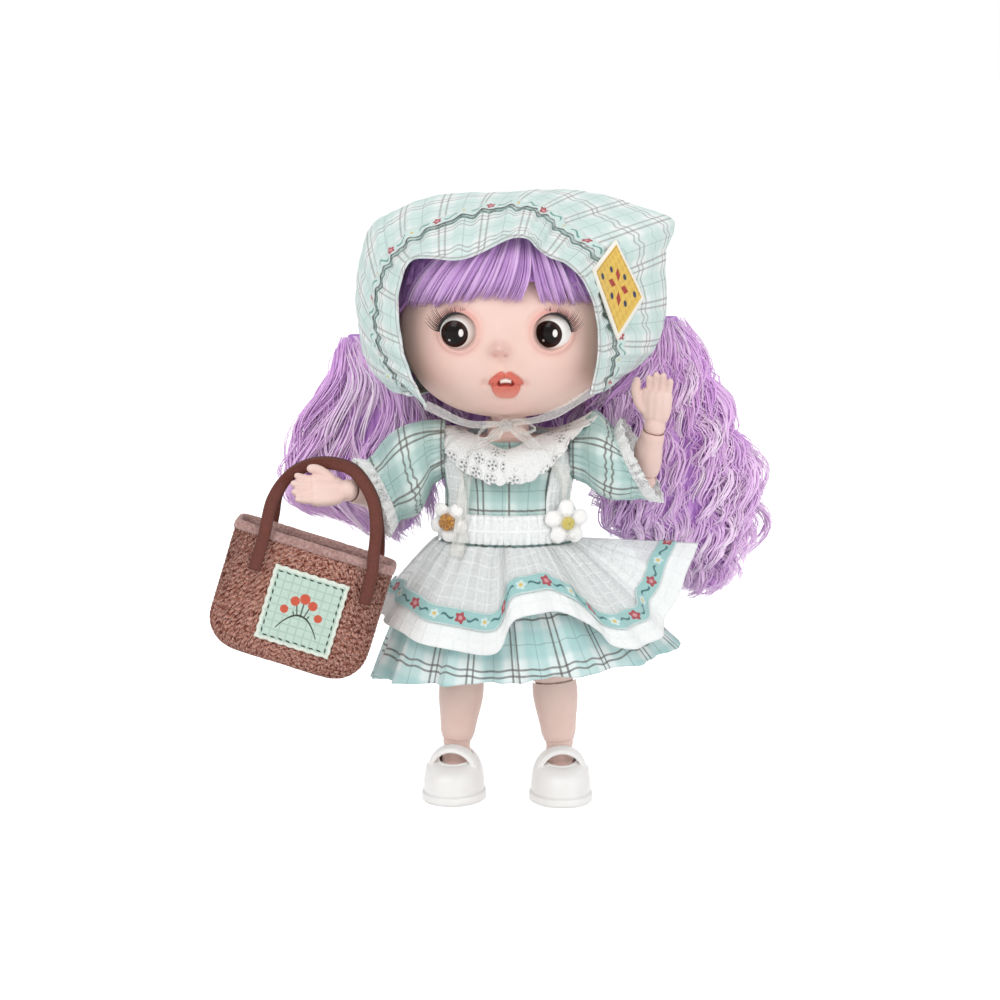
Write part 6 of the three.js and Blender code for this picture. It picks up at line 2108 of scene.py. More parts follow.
        return [piece, lace]

    def collar(self) -> Piece:
        """Build the lace collar: it lies over chest and back and stands up in a corner at one side.

        Each point goes from the neckline to an oval edge that drops by a power of the cosine; a bell
        round one angle lifts the corner, and the free edge is waved and scalloped.
        """
        turn, v = circle(385), even(34)[:, None]
        front = bell(np.arctan2(np.sin(turn), np.cos(turn)), 0.55)
        inner = TORSO.point(turn, 98.0, 2.1)
        inner[:, 1] -= 1.6 * front
        inner[:, 2] = self.collar_top - 3.4 * front
        sag = np.abs(np.cos(turn)) ** 1.4
        drop = np.where(np.cos(turn) > 0, *self.collar_drop) * sag
        scallop = 0.6 * np.abs(np.sin(turn * 20))
        wide, deep = self.collar_half
        outer = points((wide + scallop) * np.sin(turn), -(deep + scallop * 0.4) * np.cos(turn),
                       self.collar_top - drop - scallop * sag * 0.8)
        away = np.arctan2(np.sin(turn - self.corner), np.cos(turn - self.corner))
        flap = 7.0 * bell(away, math.radians(24))
        bulge = 1.2 * np.sin(np.pi * v) + 0.35 * np.sin(turn * 13 + 1) * v + 0.3 * np.sin(turn * 31) * v ** 2
        grid = mix(inner, outer, v[..., None]) + points(bulge * np.sin(turn), -bulge * np.cos(turn), bulge)
        grid += points(flap * 0.3 + 3.4 * bell(away, 0.16), 0, flap) * (v ** 2)[..., None]
        piece = cloth("collar_lace_cloth", grid, 0.45, True, flip=bool(grid_normals(grid, True)[20, 0, 2] > 0))
        dress(piece, LACE, "white_lace", "torso", "collar")
        declare_sheet(piece, grid, Held.DRAPED)
        return piece

    def build(self) -> list[Piece]:
        """Build the whole dress."""
        return [self.bodice(), *self.skirt(), *self.sleeve(Side.LEFT), *self.sleeve(Side.RIGHT), self.collar()]


DRESSED = Dress()


@dataclass
class Apron:
    """Sheer apron with a flowered ribbon and a white hem, a gathered band, straps and two daisies.

    A row of shares holds the angle, the drop and the flare; a daisy holds its scale, the turn of
    its petals, its middle's share and the middle's colour and shade.
    """

    drop: float = 28.0
    half_angle: float = math.radians(100)
    flare: float = 28.0
    folds: int = 7
    depth: float = 2.0
    hem: float = 6.4
    ribbon: float = 4.9
    shares: tuple = (
        (-1, 0.72, 0.06), (-0.62, 0.74, 0.03), (-0.34, 0.88, 0.02), (-0.08, 0.92, 0.03), (0.03, 0.6, 0.06),
        (0.2, 0.55, 0.06), (0.33, 0.66, 0.04), (0.42, 0.9, 0.06), (0.6, 0.85, 0.14), (0.8, 0.58, 0.36),
        (1, 0.08, 1),
    )
    strap_angle: float = 50.0
    daisy_radius: float = 5.35
    daisy_turn: float = math.radians(20)
    daisies: dict = field(default_factory=lambda: {
        Side.LEFT: (1.14, 0.3, 0.36, display(238, 222, 128), display(226, 206, 96)),
        Side.RIGHT: (1.02, 0.95, 0.46, display(222, 160, 62), display(168, 104, 34)),
    })

    def grid(self, u: Array, v: Array, lift: float = 0.0) -> Array:
        """Give points of the apron's skirt.

        The hem's drop and flare are read along a spline of the apron's width; the cloth follows the
        skirt under it, stands off in folds that grow downward, and flies out where the flare is large.

        Args:
            u: Share of the width.
            v: Share of the way down, one row for each.
            lift: Distance added outward.

        Returns:
            Points in millimetres.
        """
        angle, share, flare = route(self.shares, u).T
        turn = angle * self.half_angle
        top = DRESSED.waist - 0.3
        v = v[:, None]
        drop = self.drop * share * v
        down = drop / (top - DRESSED.hem)
        fold = self.depth * v * (1 + np.cos(self.folds * turn)) / 2
        fine = 0.6 * np.exp(-v * 3) * np.sin(u * 150) + 0.75 * v * np.sin(u * 62 + 2 * np.sin(u * 9))
        grow = 2.3 + 3.8 * down + fold + fine + self.flare * flare * v + lift
        p = DRESSED.skirt_point(turn, down, grow - DRESSED.pleat * down * np.cos(DRESSED.pleats * turn))
        p[..., 2] = top - drop
        return p

    def halves(self) -> list[Piece]:
        """Build each half of the apron with its ribbon, cut where the doll's middle is."""
        made = []
        centre = float(np.interp(0.0, route(self.shares, even(400))[:, 0], even(400)))
        for side, low, high, shift in ((Side.LEFT, centre, 1.0, 3.0), (Side.RIGHT, 0.0, centre, 5.5)):
            u = np.linspace(low, high, 200)
            grid = self.grid(u, even(48))
            uv = grid_uv(grid)
            uv[..., 1] = uv[-1:, :, 1] - uv[..., 1]
            sheet = cloth(f"apron_skirt_{side.word}", grid, 0.3, uv=uv)
            dress(sheet, APRON_GAUZE, "white_lace", "torso")
            across = np.linspace(0, self.ribbon, 7)
            strip = down_columns(self.grid(u, even(120), 0.5)[::-1], self.hem + across)
            flat = grid_uv(strip)
            flat[..., 0] += shift
            flat[..., 1] = across[:, None]
            ribbon = cloth(f"apron_ribbon_{side.word}", strip, 0.28, uv=flat)
            dress(ribbon, FlowerRibbon("apron_ribbon", self.ribbon), "white_lace", "torso")
            for piece in (sheet, ribbon):
                press_up(piece, side)
            declare_sheet(sheet, grid, Held.GATHERED)
            made += [sheet, ribbon]
        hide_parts("apron_skirt")
        return made

    def yoke(self) -> list[Piece]:
        """Build the gathered waistband and the two sheer straps."""
        v, turn = even(16)[:, None], circle(385)
        ripple = 0.32 * np.sin(turn * 60 + np.sin(turn * 7)) * (0.5 + 0.5 * np.cos(v * TAU))
        grid = TORSO.point(turn, mix(71.1, 78.6, v), 2.05 + ripple + 0.5 * np.sin(np.pi * v))
        band = dress(cloth("apron_band", grid, 0.4, True), BAND_GAUZE, "white_lace", "torso", "apron_yoke")
        z, w = np.linspace(74.5, 96.4, 50), np.linspace(-1, 1, 15)[:, None]
        pucker = 0.22 * np.sin(w * 14) + 0.15 * np.sin(z * 0.9)
        straps = []
        for side in Side:
            angle = np.radians(side.value * self.strap_angle + w * np.linspace(13.5, 10.5, 50))
            strap = cloth(f"apron_strap_{side.word}", TORSO.point(angle, z, 2.2 + pucker), 0.35)
            straps.append(dress(strap, BAND_GAUZE, "white_lace", "torso"))
        declare_sheet(band, grid, Held.GATHERED)
        return [band, *straps]

    def daisy(self, side: Side) -> Piece:
        """Build one stuffed felt daisy.

        Its outline is a circle with five scallops; front and back swell by the root of one less the
        squared share of the outline, a little less between petals, and the middle swells again.
        """
        scale, phase, middle, colour, shade = self.daisies[side]
        low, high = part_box(f"daisy_{side.word}")
        centre = (np.array(low) + np.array(high)) / 2 / MM - AXIS
        turn = circle(161)
        r = np.concatenate([even(26), np.linspace(1, 0, 20)[1:]])[:, None]
        back = np.arange(len(r))[:, None] >= 26
        petal = (1 - np.cos(5 * (turn + phase))) / 2
        outline = scale * (1 - 0.3 * (1 - petal) ** 2)
        crease = (1 - petal) ** 5 * ease(r, 0.3, 0.55)
        out = np.sqrt(np.clip(1 - r ** 2, 0, 1)) * (1.5 - 0.75 * crease)
        reach = r * outline
        heart = ease(reach, middle + 0.03, middle - 0.05)
        dome = np.sqrt(np.clip(1 - (reach / middle) ** 2, 0, 1)) * 1.15
        ditch = 0.4 * bell(reach - middle - 0.04, 0.07)
        front = out + dome - ditch + 0.08 * heart * np.sin(turn * 12) * np.sin(r * 30)
        x, z = (self.daisy_radius * reach * wave for wave in (np.cos(turn), np.sin(turn)))
        flat = points(x, 0.2 - np.where(back, -out * 0.45, front), z)
        # The fold tone is painted shade in the creases between petals and in the ditch round the middle.
        tones = {"heart": np.where(back, 0, heart), "fold": np.clip(crease + ditch, 0, 1) * 0.7}
        grid = turned(flat, vec(0, 0, 1), side.value * self.daisy_turn) + centre
        piece = closed_grid(f"daisy_{side.word}_pad", grid, tones=tones)
        look = DaisyFelt(f"daisy_felt_{side.word}", colour, shade)
        dress(piece, look, "daisy_felt", "torso", f"daisy_{side.word}")
        return piece

    def build(self) -> list[Piece]:
        """Build the apron."""
        return [*self.halves(), *self.yoke(), self.daisy(Side.LEFT), self.daisy(Side.RIGHT)]


@dataclass
class LimbFrame:
    """A place with three axes: across, toward the fold, and back along the limb."""

    origin: Array
    side: Array
    fold: Array
    up: Array

    @classmethod
    def aimed(cls, origin: Array, down: Array, hinge: Array) -> "LimbFrame":
        """Point the local -Z along a direction and the local X along a hinge."""
        up, side = unit(-down), unit(hinge)
        return cls(origin, side, np.cross(up, side), up)

    def world(self, p: Array) -> Array:
        """Take local points to the doll."""
        return self.origin + p[..., :1] * self.side + p[..., 1:2] * self.fold + p[..., 2:] * self.up


@dataclass
class Limbs:
    """Arms and legs of smooth vinyl between ball joints, hands, and shoes over the feet.

    An arm's pose holds how far it is raised and swung in degrees and the directions of forearm,
    hand and palm. A hand holds its curl, its fingers (root, tip, reach, radius) and its thumb.
    """

    gap: float = 0.35
    arm_length: float = 18.0
    forearm_length: float = 15.5
    thigh_length: float = 21.0
    shin_length: float = 17.2
    shoulder: tuple[float, float] = (19.5, 94.5)
    hip: tuple[float, float] = (10.5, 53.0)
    spread: float = math.radians(5)
    elbow_slope: float = 61.0
    knee_slope: float = 51.0
    poses: dict = field(default_factory=lambda: {
        Side.LEFT: (64, 4, (0.21, -0.24, 0.95), (0.05, -0.18, 0.98), (-0.35, -0.93, 0)),
        Side.RIGHT: (40, 22, (-0.66, -0.71, 0.24), (-0.96, -0.26, 0.03), (0.1, -0.88, 0.46)),
    })
    wrist: tuple = ((0, 0, 2.7), (0, 0, 1), (0, 0, -1), (0, 0, -2.7))
    palm: tuple = ((-2.5, 1.9), (-0.9, 2.25), (0.9, 2.25), (2.5, 1.95))
    hands: dict = field(default_factory=lambda: {
        Side.LEFT: (
            -1.2,
            ((-3.1, -4.3, 4.2, 1.0), (-1.3, -2.2, 5.6, 1.1), (0.5, -0.1, 5.5, 1.1), (2.1, 2.0, 4.2, 1.0)),
            ((1.8, -0.4, -3.2), (4.3, -1.0, -6.0), (5.3, -1.6, -9.6), (4.9, -1.9, -13.4)),
        ),
        Side.RIGHT: (
            -1.3,
            ((-3.0, -3.7, 4.2, 1.12), (-1.05, -1.5, 5.4, 1.22), (0.95, 0.9, 5.3, 1.2), (2.8, 2.9, 4.4, 1.08)),
            ((-1.6, -0.4, -3.4), (-3.7, -1.0, -5.4), (-5.2, -1.7, -8.2), (-5.3, -2.2, -11.0)),
        ),
    })

    def end_height(self, x: Array, y: Array, end: tuple, sign: int) -> Array:
        """Give an end's surface: the ball's hollow or the sloped plane, whichever is further in."""
        ball, z, slope = end
        hollow = np.sqrt(np.clip((ball + self.gap) ** 2 - x ** 2 - y ** 2, 0, None))
        plane = self.gap / 2 + math.tan(math.radians(slope)) * np.maximum(0, y)
        return z - sign * np.maximum(hollow, plane)

    def limb(self, name: str, place: LimbFrame, top: tuple, foot: tuple, outline: Sequence) -> Piece:
        """Build one limb as rings round its bone.

        Its ends are hollowed by the ball beside them and cut by a plane that slopes away on the side
        it folds to; an end's rim follows whichever is nearer the limb's middle, and the rings
        between go straight from one rim to the other with the radius of the outline there.

        Args:
            name: CAD node that it stands for, and the body that it rides.
            place: Place of the joint at its start.
            top: Ball radius, joint height and slope of the upper end.
            foot: The same for the lower end.
            outline: Radius at even steps from the top to the foot.

        Returns:
            The finished piece.
        """
        turn, t, share = circle(73), even(60), even(14)[:, None]
        radius = smoothed(outline, t)[:, None]
        x, y = radius * np.sin(turn), radius * np.cos(turn)
        ends = []
        for k, end, sign in ((0, top, 1), (-1, foot, -1)):
            cx, cy = x[k] * share, y[k] * share
            ends.append(points(cx, cy, self.end_height(cx, cy, end, sign)))
        wall = points(x, y, mix(ends[0][-1, :, 2], ends[1][-1, :, 2], t[:, None]))
        grid = np.concatenate([ends[0][:-1], wall, ends[1][-2::-1]])
        piece = closed_grid(f"{name}_skin", place.world(grid))
        bevel = piece.modifiers.new("rim", "BEVEL")
        bevel.width = 0.25 * MM
        bevel.segments = 2
        bevel.limit_method = "ANGLE"
        bevel.angle_limit = math.radians(40)
        evaluated(piece)
        return dress(piece, SKIN, "skin_vinyl", name, name)

    def hand(self, side: Side, place: LimbFrame) -> Piece:
        """Fuse a wrist ball, a palm and five curved fingers by voxels.

        Each is a tube with round ends along a short spline, and the fingers curl toward the palm.
        """
        t = even(22)
        round_ends = np.sqrt(np.clip(1 - (2 * t - 1) ** 6, 0.02, 1))
        curl, fingers, thumb = self.hands[side]
        tubes = [(self.wrist, 2.9 * np.sqrt(np.clip(1 - (2 * t - 1) ** 2, 0.01, 1)))]
        for x, r in self.palm:
            path = [(x * 0.5, 0.1, -1.2), (x * 0.85, 0.15, -4.0), (x, 0.0, -7.5), (x * 1.02, -0.1, -10.4)]
            tubes.append((path, round_ends * r))
        for x, tip, reach, r in fingers:
            path = [(x * 0.95, 0, -8.2), (mix(x, tip, 0.2), -0.1, -10.2),
                    (mix(x, tip, 0.55), curl * 0.5, -10.2 - reach * 0.5),
                    (tip, curl * 1.3, -10.2 - reach * 0.95)]
            tubes.append((path, round_ends * r * (1 - 0.18 * t)))
        tubes.append((thumb, round_ends * 1.5 * (1 - 0.2 * t)))
        parts = [tube("finger", place.world(route(path, t)), radius, 16) for path, radius in tubes]
        name = f"hand_{side.word}"
        return dress(fused(f"{name}_skin", parts, 0.26, 5), SKIN, "skin_vinyl", name, name)

    def arm(self, side: Side) -> list[Piece]:
        """Place and build one arm in the photographed pose."""
        raised, swing, *directions = self.poses[side]
        raised, swing = math.radians(raised), math.radians(swing)
        forearm, hand, palm = (unit(np.array(direction)) for direction in directions)
        outward, hanging = vec(side.value, 0, 0), vec(0, -math.sin(swing), -math.cos(swing))
        along = outward * math.sin(raised) + hanging * math.cos(raised)
        shoulder = vec(side.value * self.shoulder[0], 0, self.shoulder[1])
        elbow = shoulder + along * self.arm_length
        wrist = elbow + forearm * self.forearm_length
        return [
            self.limb(f"upper_arm_{side.word}", LimbFrame.aimed(shoulder, along, np.cross(hanging, outward)),
                      (4.6, 0.0, 0), (4.0, -self.arm_length, 0), (3.2, 4.0, 4.2, 4.2, 4.0, 3.0)),
            self.limb(f"forearm_{side.word}", LimbFrame.aimed(elbow, forearm, np.cross(along, forearm)),
                      (4.0, 0.0, self.elbow_slope), (2.9, -self.forearm_length, 0),
                      (3.75, 3.95, 4.0, 3.9, 3.65, 3.4, 3.25, 3.2, 2.9)),
            self.hand(side, LimbFrame.aimed(wrist, hand, np.cross(palm, hand))),
        ]

    def leg(self, side: Side) -> list[Piece]:
        """Place and build one leg with its shoe."""
        straight, outward = vec(0, 0, -1), vec(side.value, 0, 0)
        along = outward * math.sin(self.spread) + straight * math.cos(self.spread)
        hinge = turned(vec(1, 0, 0), np.cross(straight, outward), self.spread)
        hip = vec(side.value * self.hip[0], 0, self.hip[1])
        knee = hip + along * self.thigh_length
        return [
            self.limb(f"thigh_{side.word}", LimbFrame.aimed(hip, along, hinge), (5.8, 0.0, 0),
                      (5.4, -self.thigh_length, self.knee_slope), (4.6, 6.0, 6.15, 6.1, 6.0, 5.9, 5.85)),
            self.limb(f"shin_{side.word}", LimbFrame.aimed(knee, along, hinge), (5.4, 0.0, self.knee_slope),
                      (3.7, -self.shin_length, 0), (5.8, 6.0, 6.0, 5.8, 5.5, 5.15, 4.85, 4.6, 4.0)),
            *Shoe(side, knee + along * self.shin_length).build(),
        ]

    def build(self) -> list[Piece]:
        """Build both arms and both legs, and give the CAD's balls and pins their finishes."""
        for piece in bpy.data.objects:
            # The joint balls take the darker vinyl as painted shade.
            if "_ball_" in piece.name or piece.name == "neck_ball":
                SKIN_SHADE.on(piece)
            if "_pin_" in piece.name:
                STEEL.on(piece)
        return [piece for build in (self.arm, self.leg) for side in Side for piece in build(side)]


@dataclass
class Shoe:
    """Bar shoe of glossy white vinyl on a thick sole, with the foot in it.

    A row of the foot holds its share from heel to toe and its width and height there as shares.
    """

    side: Side
    ankle: Array
    length: float = 19.0
    width: float = 12.4
    heel: float = 6.2
    top: float = 10.4
    middle: float = -3.3
    toe_out: float = math.radians(8)
    ankle_ball: float = 3.7
    foot_rows: tuple = (
        (0, 0.42, 0.5), (0.06, 0.68, 0.8), (0.22, 0.82, 1), (0.42, 0.86, 0.98), (0.62, 0.97, 0.78),
        (0.8, 1, 0.66), (0.93, 0.82, 0.56), (1, 0.46, 0.4),
    )

    def place(self, p: Array) -> Array:
        """Turn local points out by the toe angle and set them at the ankle over the ground."""
        return turned(p, vec(0, 0, 1), self.side.value * self.toe_out) + self.ankle * (1, 1, 0)

    def sole_line(self, turn: Array, grow: float) -> Array:
        """Give the sole's outline: an oval that is broader before the middle."""
        along = np.cos(turn)
        y = self.heel + grow - (self.length / 2 + grow) * (1 + along)
        broad = 1 + 0.13 * np.sin(np.pi * np.clip((1 + along) / 2, 0, 1) ** 1.25) + 0.03 * along
        return np.stack([(self.width * 0.45 + grow) * squared(np.sin(turn), 0.78) * broad, y], -1)

    def rise(self, turn: Array, v: Array, grow: float, base: float) -> Array:
        """Give the upper from the sole's edge to the mouth's rim.

        Going up, the height follows a sine and the place moves in from the sole's outline to the
        mouth's oval by one less a cosine, later over the toe, which makes its cap round.

        Args:
            turn: Angle from the toe round the shoe.
            v: Share of the way from the sole to the rim.
            grow: Distance outward.
            base: Height of the lower edge.

        Returns:
            Local points in millimetres.
        """
        turn, v = np.broadcast_arrays(turn, v)
        toe = (1 + np.cos(turn)) / 2
        mouth = np.stack([4.9 * np.sin(turn), -1.5 - 6.4 * np.cos(turn)], -1)
        rim = self.top - 1.6 * toe ** 1.5 + 0.5 * (1 - toe) ** 3
        across = (1 - np.cos(v * np.pi / 2)) ** mix(1.0, 1.15, toe)
        height = base + (rim + grow * 0.6 - base) * np.sin(v * np.pi / 2) ** mix(0.85, 0.62, toe)
        plan = mix(self.sole_line(turn, grow), mouth, across[..., None])
        return np.concatenate([plan, height[..., None]], -1)

    def shell(self) -> Array:
        """Give the sole, the upper outside, its lip and the upper inside as one closed grid."""
        turn, v = circle(129), even(34)[:, None]
        outer, inner = self.rise(turn, v, 1.45, 2.2), self.rise(turn, v, 0.45, 2.6)[::-1]
        base, inset = self.sole_line(turn, 1.95), self.sole_line(turn, 1.5)
        levels = ((inset, 0.0), (base, 0.35), (base, 1.0), (base, 1.9), (mix(inset, base, 0.55), 2.35))
        sole = [points(*plan.T, z)[None] for plan, z in levels]
        lip = (outer[-1:] + inner[:1]) / 2 + vec(0, 0, 0.35)
        grid = capped(np.concatenate([*sole, outer, lip, inner]))
        grid[0] = vec(0, self.middle, 0)
        return grid

    def bar(self) -> Array:
        """Give the bar over the instep, an arch of cosines, a little bowed across."""
        a, w = np.linspace(-np.pi / 2, np.pi / 2, 50), np.linspace(-1, 1, 9)[:, None]
        arch = points(6.0 * np.sin(a), -5.0 - 0.9 * np.cos(a), 7.0 + 6.7 * np.cos(a) ** 0.9)
        return arch + w[..., None] * vec(0, 1.25, 0.35) + (1 - w[..., None] ** 2) * vec(0, 0, 0.2)

    def build(self) -> list[Piece]:
        """Build the shoe, its rim, its bar with a bead along each edge and a button, and the foot."""
        word, body = self.side.word, f"foot_{self.side.word}"
        grid, strip = self.shell(), self.place(self.bar())
        rim = self.rise(circle(129), np.ones(129), 0.95, 2.4)
        button = np.array([(5.9, -5.2, 8.4), (6.6, -5.3, 8.5), (7.3, -5.4, 8.6)]) * (self.side.value, 1, 1)
        shoe = closed_grid(f"shoe_{word}_shell", self.place(grid), grid_uv(grid))
        trims = [
            closed_grid(f"shoe_{word}_rim", self.place(self.ring_tube(rim, 0.62))),
            cloth(f"shoe_{word}_bar", strip, 0.9),
            tube(f"shoe_{word}_bead_front", strip[0], 0.42, 10),
            tube(f"shoe_{word}_bead_back", strip[-1], 0.42, 10),
            tube(f"shoe_{word}_button", self.place(button), np.array([1.05, 1.15, 0.7])),
        ]
        dress(shoe, SHOE, "shoe_vinyl", body, f"shoe_{word}")
        return [shoe, *(dress(piece, SHOE, "shoe_vinyl", body) for piece in trims), self.foot()]

    def ring_tube(self, line: Array, radius: float) -> Array:
        """Carry a small circle round a closed line."""
        ahead = np.roll(line[:-1], -1, 0) - np.roll(line[:-1], 1, 0)
        ahead = unit(np.concatenate([ahead, ahead[:1]]))
        side = unit(np.cross(ahead, vec(0, 0, 1)))
        turn = circle(13)
        return swept(line, side, np.cross(side, ahead), radius * np.cos(turn), radius * np.sin(turn))

    def foot(self) -> Piece:
        """Build the foot: half ovals from heel to toe, fused with its ankle ball."""
        share, wide, tall = route(self.foot_rows, even(50)).T[:, :, None]
        turn, height = circle(65), self.ankle[2]
        x = self.width / 2 * 0.93 * wide * squared(np.sin(turn), 0.7)
        z = 2.7 + 8.4 * tall * np.maximum(np.cos(turn), 0) ** 0.7
        grid = capped(points(x, self.heel - 0.4 - share * (self.length - 0.8), z))
        ball = ball_grid(vec(0, 0, height), (self.ankle_ball,) * 3, 49, 25)
        neck = np.array([(0, 0.4, 8.0), (0, 0.2, 10.5), (0, 0, height - 1)])
        parts = [closed_grid("sole", self.place(grid)), closed_grid("ankle", self.place(ball)),
                 tube("instep", self.place(neck), np.array([4.6, 4.0, 3.4]), 32)]
        name = f"foot_{self.side.word}"
        return dress(fused(f"{name}_skin", parts, 0.3, 4), SKIN, "skin_vinyl", name, name)


@dataclass
class Bag:
    """Tweed tote with a bound rim, leather handles and a stitched label.

    The shares give a handle's places across and up, with its depth in front and back; the seams
    give a stitch's two ends across and up.
    """

    width: float = 43.0
    height: float = 32.0
    depth: float = 13.0
    corner: float = 9.0
    wall: float = 1.1
    tilt: float = math.radians(17)
    origin: tuple[float, float, float] = (-49.6, -20.5, 71.0)
    span: float = 30.0
    rise: float = 22.0
    shift: float = 1.9
    label: float = 20.2
    stand_off: float = 1.55
    shares: tuple = (
        (-1, -0.41), (-1, 0), (-1.02, 0.16), (-1.06, 0.43), (-0.92, 0.7), (-0.6, 0.9), (-0.2, 0.99),
        (0.14, 0.985), (0.58, 0.76), (0.8, 0.47), (0.92, 0.16), (0.97, 0), (1, -0.41),
    )
    front: tuple = (-1, -1.02, -0.98, -0.34, 0.6, 0.76, 0.6, 0.34, 0, -0.4, -0.98, -1.02, -1)
    back: tuple = (1, 1.02, 1.02, 1, 1, 0.99, 0.83, 0.57, 0.26, 0.3, 0.98, 1.02, 1)
    grip: Bend = Bend("hand_right", "bag", (-0.041, -0.0177, 0.092), (-0.041, -0.0177, 0.078))
    seams: tuple = (
        (-1.1, -8.2, 1.1, -8.2), (-1.1, -5.4, 1.1, -5.4), (-1.1, -8.2, 1.1, -5.4), (1.1, -8.2, -1.1, -5.4),
    )

    def place(self, p: Array) -> Array:
        """Tilt local points about Y and move them to the rim's middle."""
        return turned(p, vec(0, 1, 0), self.tilt) + np.array(self.origin)

    def belly(self, z: Array) -> Array:
        """Tell how far the sides belly out at a height under the rim."""
        return 0.5 * np.sin(np.pi * np.clip(-z / self.height, 0, 1))

    def ring(self, z: Array, grow: Number, sag: float = 1.0) -> Array:
        """Give rings of the bag.

        Each is an oval with squared corners that draws in toward the foot by a quarter circle; the
        sides belly out a little below the middle.

        Args:
            z: Height of each ring under the rim.
            grow: Distance outward.
            sag: Share of the belly.

        Returns:
            Local points in millimetres.
        """
        turn = circle(289) + 0.01
        z = z[:, None]
        above = np.minimum(self.corner, self.height + z)
        drawn = self.corner - np.sqrt(np.clip(self.corner ** 2 - (self.corner - above) ** 2, 0, None))
        x = (self.width / 2 - drawn + grow) * squared(np.sin(turn), 0.35)
        y = (self.depth / 2 - drawn * 0.35 + grow + self.belly(z) * sag) * squared(np.cos(turn), 0.35)
        return points(x, y, z)

    def body(self) -> Piece:
        """Build the bag's wall outside and in, with flecks raised by slow waves."""
        turn = circle(289) + 0.01
        shares = [np.linspace(0, 0.72, 34), 1 - 0.28 * np.cos(np.linspace(0, np.pi / 2, 26))[1:] ** 1.4]
        z = -self.height * np.concatenate(shares)
        tall = z[:, None]
        flecks = 0.22 * np.sin(turn * 62 + np.sin(tall * 1.7) * 2) * np.sin(tall * 2.4)
        outer = self.ring(z, flecks - 0.15)
        inner = self.ring(np.maximum(z, self.wall - self.height), -self.wall, 0.6)
        inner[..., 2] = tall * (self.height - self.wall) / self.height
        grid = capped(np.concatenate([outer[::-1], inner]))
        uv = grid_uv(grid)
        uv[..., 0] = row_lengths(outer[0])
        piece = closed_grid("bag_tweed", self.place(grid), uv)
        dress(piece, Tweed(), "bag_tweed", "bag", "bag_body")
        declare_sheet(piece, np.concatenate([outer, grid[:1]]), Held.HUNG)
        return piece

    def rim(self) -> Piece:
        """Build the folded binding over the rim."""
        turn, a = circle(289) + 0.01, np.linspace(-0.4, np.pi + 0.4, 12)[:, None]
        grid = self.ring(np.zeros(12), -self.wall / 2 + 0.525 * (self.wall + 0.7) * np.cos(a))
        grid[..., 2] = 0.35 + 1.75 * np.sin(a) + 0.06 * np.sin(turn * 80)
        grid = np.concatenate([grid, grid[:1]])
        piece = closed_grid("bag_rim_band", self.place(grid), grid_uv(grid))
        return dress(piece, BINDING, "binding_cloth", "bag", "bag_rim")

    def handle(self, name: str, depths: Sequence[float]) -> Piece:
        """Carry a flat strap with rounded edges along the handle's spline."""
        look = Leather()
        wall = self.depth / 2 + self.stand_off
        rows = [(self.shift + x * self.span / 2, d * wall, z * self.rise)
                for (x, z), d in zip(self.shares, depths)]
        line = route(rows, even(150))
        w, h = (squared(wave(circle(33)), power) for wave, power in ((np.cos, 0.35), (np.sin, 0.6)))
        grid = swept(line, *axes(line, vec(0, 1, 0)), 1.6 * w, -0.55 * h)
        uv = grid_uv(grid)
        uv[..., 0] = look.width / 2 * (1 + w)
        piece = closed_grid(f"{name}_strap", self.place(capped(grid)), np.concatenate([uv[:1], uv, uv[-1:]]))
        return dress(piece, look, "strap_leather", self.grip, name)

    def tag(self) -> Piece:
        """Build the label, a little puckered by its stitching."""
        u = np.linspace(-1, 1, 60) * self.label / 2
        x, z = np.meshgrid(u, u[::-1])
        fray = 0.12 * np.sin(np.linspace(0, 50, 60))
        up = z - self.height / 2 + fray * np.abs(z / 10) ** 6
        y = -self.depth / 2 - 0.45 + 0.14 * np.sin(x * 1.1) * np.sin(z * 1.3) - self.belly(up)
        grid = points(self.shift + x + fray[:, None] * np.abs(x / 10) ** 6, y, up)
        piece = cloth("bag_label_cloth", self.place(grid), 0.45, uv=np.stack([x, z], -1))
        dress(piece, LabelCloth(), "label_cloth", "bag", "bag_label")
        declare_sheet(piece, grid, Held.STRETCHED)
        return piece

    def stitches(self) -> Piece:
        """Sew the handle feet to the bag with short thick stitches in a cross and a box."""
        t = even(5)
        paths = []
        for side, face in ((-1, -1), (-1, 1), (1, -1), (1, 1)):
            x, y = self.shift + side * self.span / 2, face * (self.depth / 2 + 1.62 + 0.1 * np.sin(np.pi * t))
            for x0, z0, x1, z1 in self.seams:
                paths.append(self.place(points(x + mix(x0, x1, t), y, mix(z0, z1, t))))
        piece = strands("bag_stitches", np.array(paths), np.full((len(paths), len(t)), 0.14))
        return dress(piece, THREAD, "strap_leather", "bag")

    def build(self) -> list[Piece]:
        """Build the bag."""
        return [
            self.rim(), self.body(), self.handle("bag_handle_front", self.front),
            self.handle("bag_handle_back", self.back), self.tag(), self.stitches(),
        ]


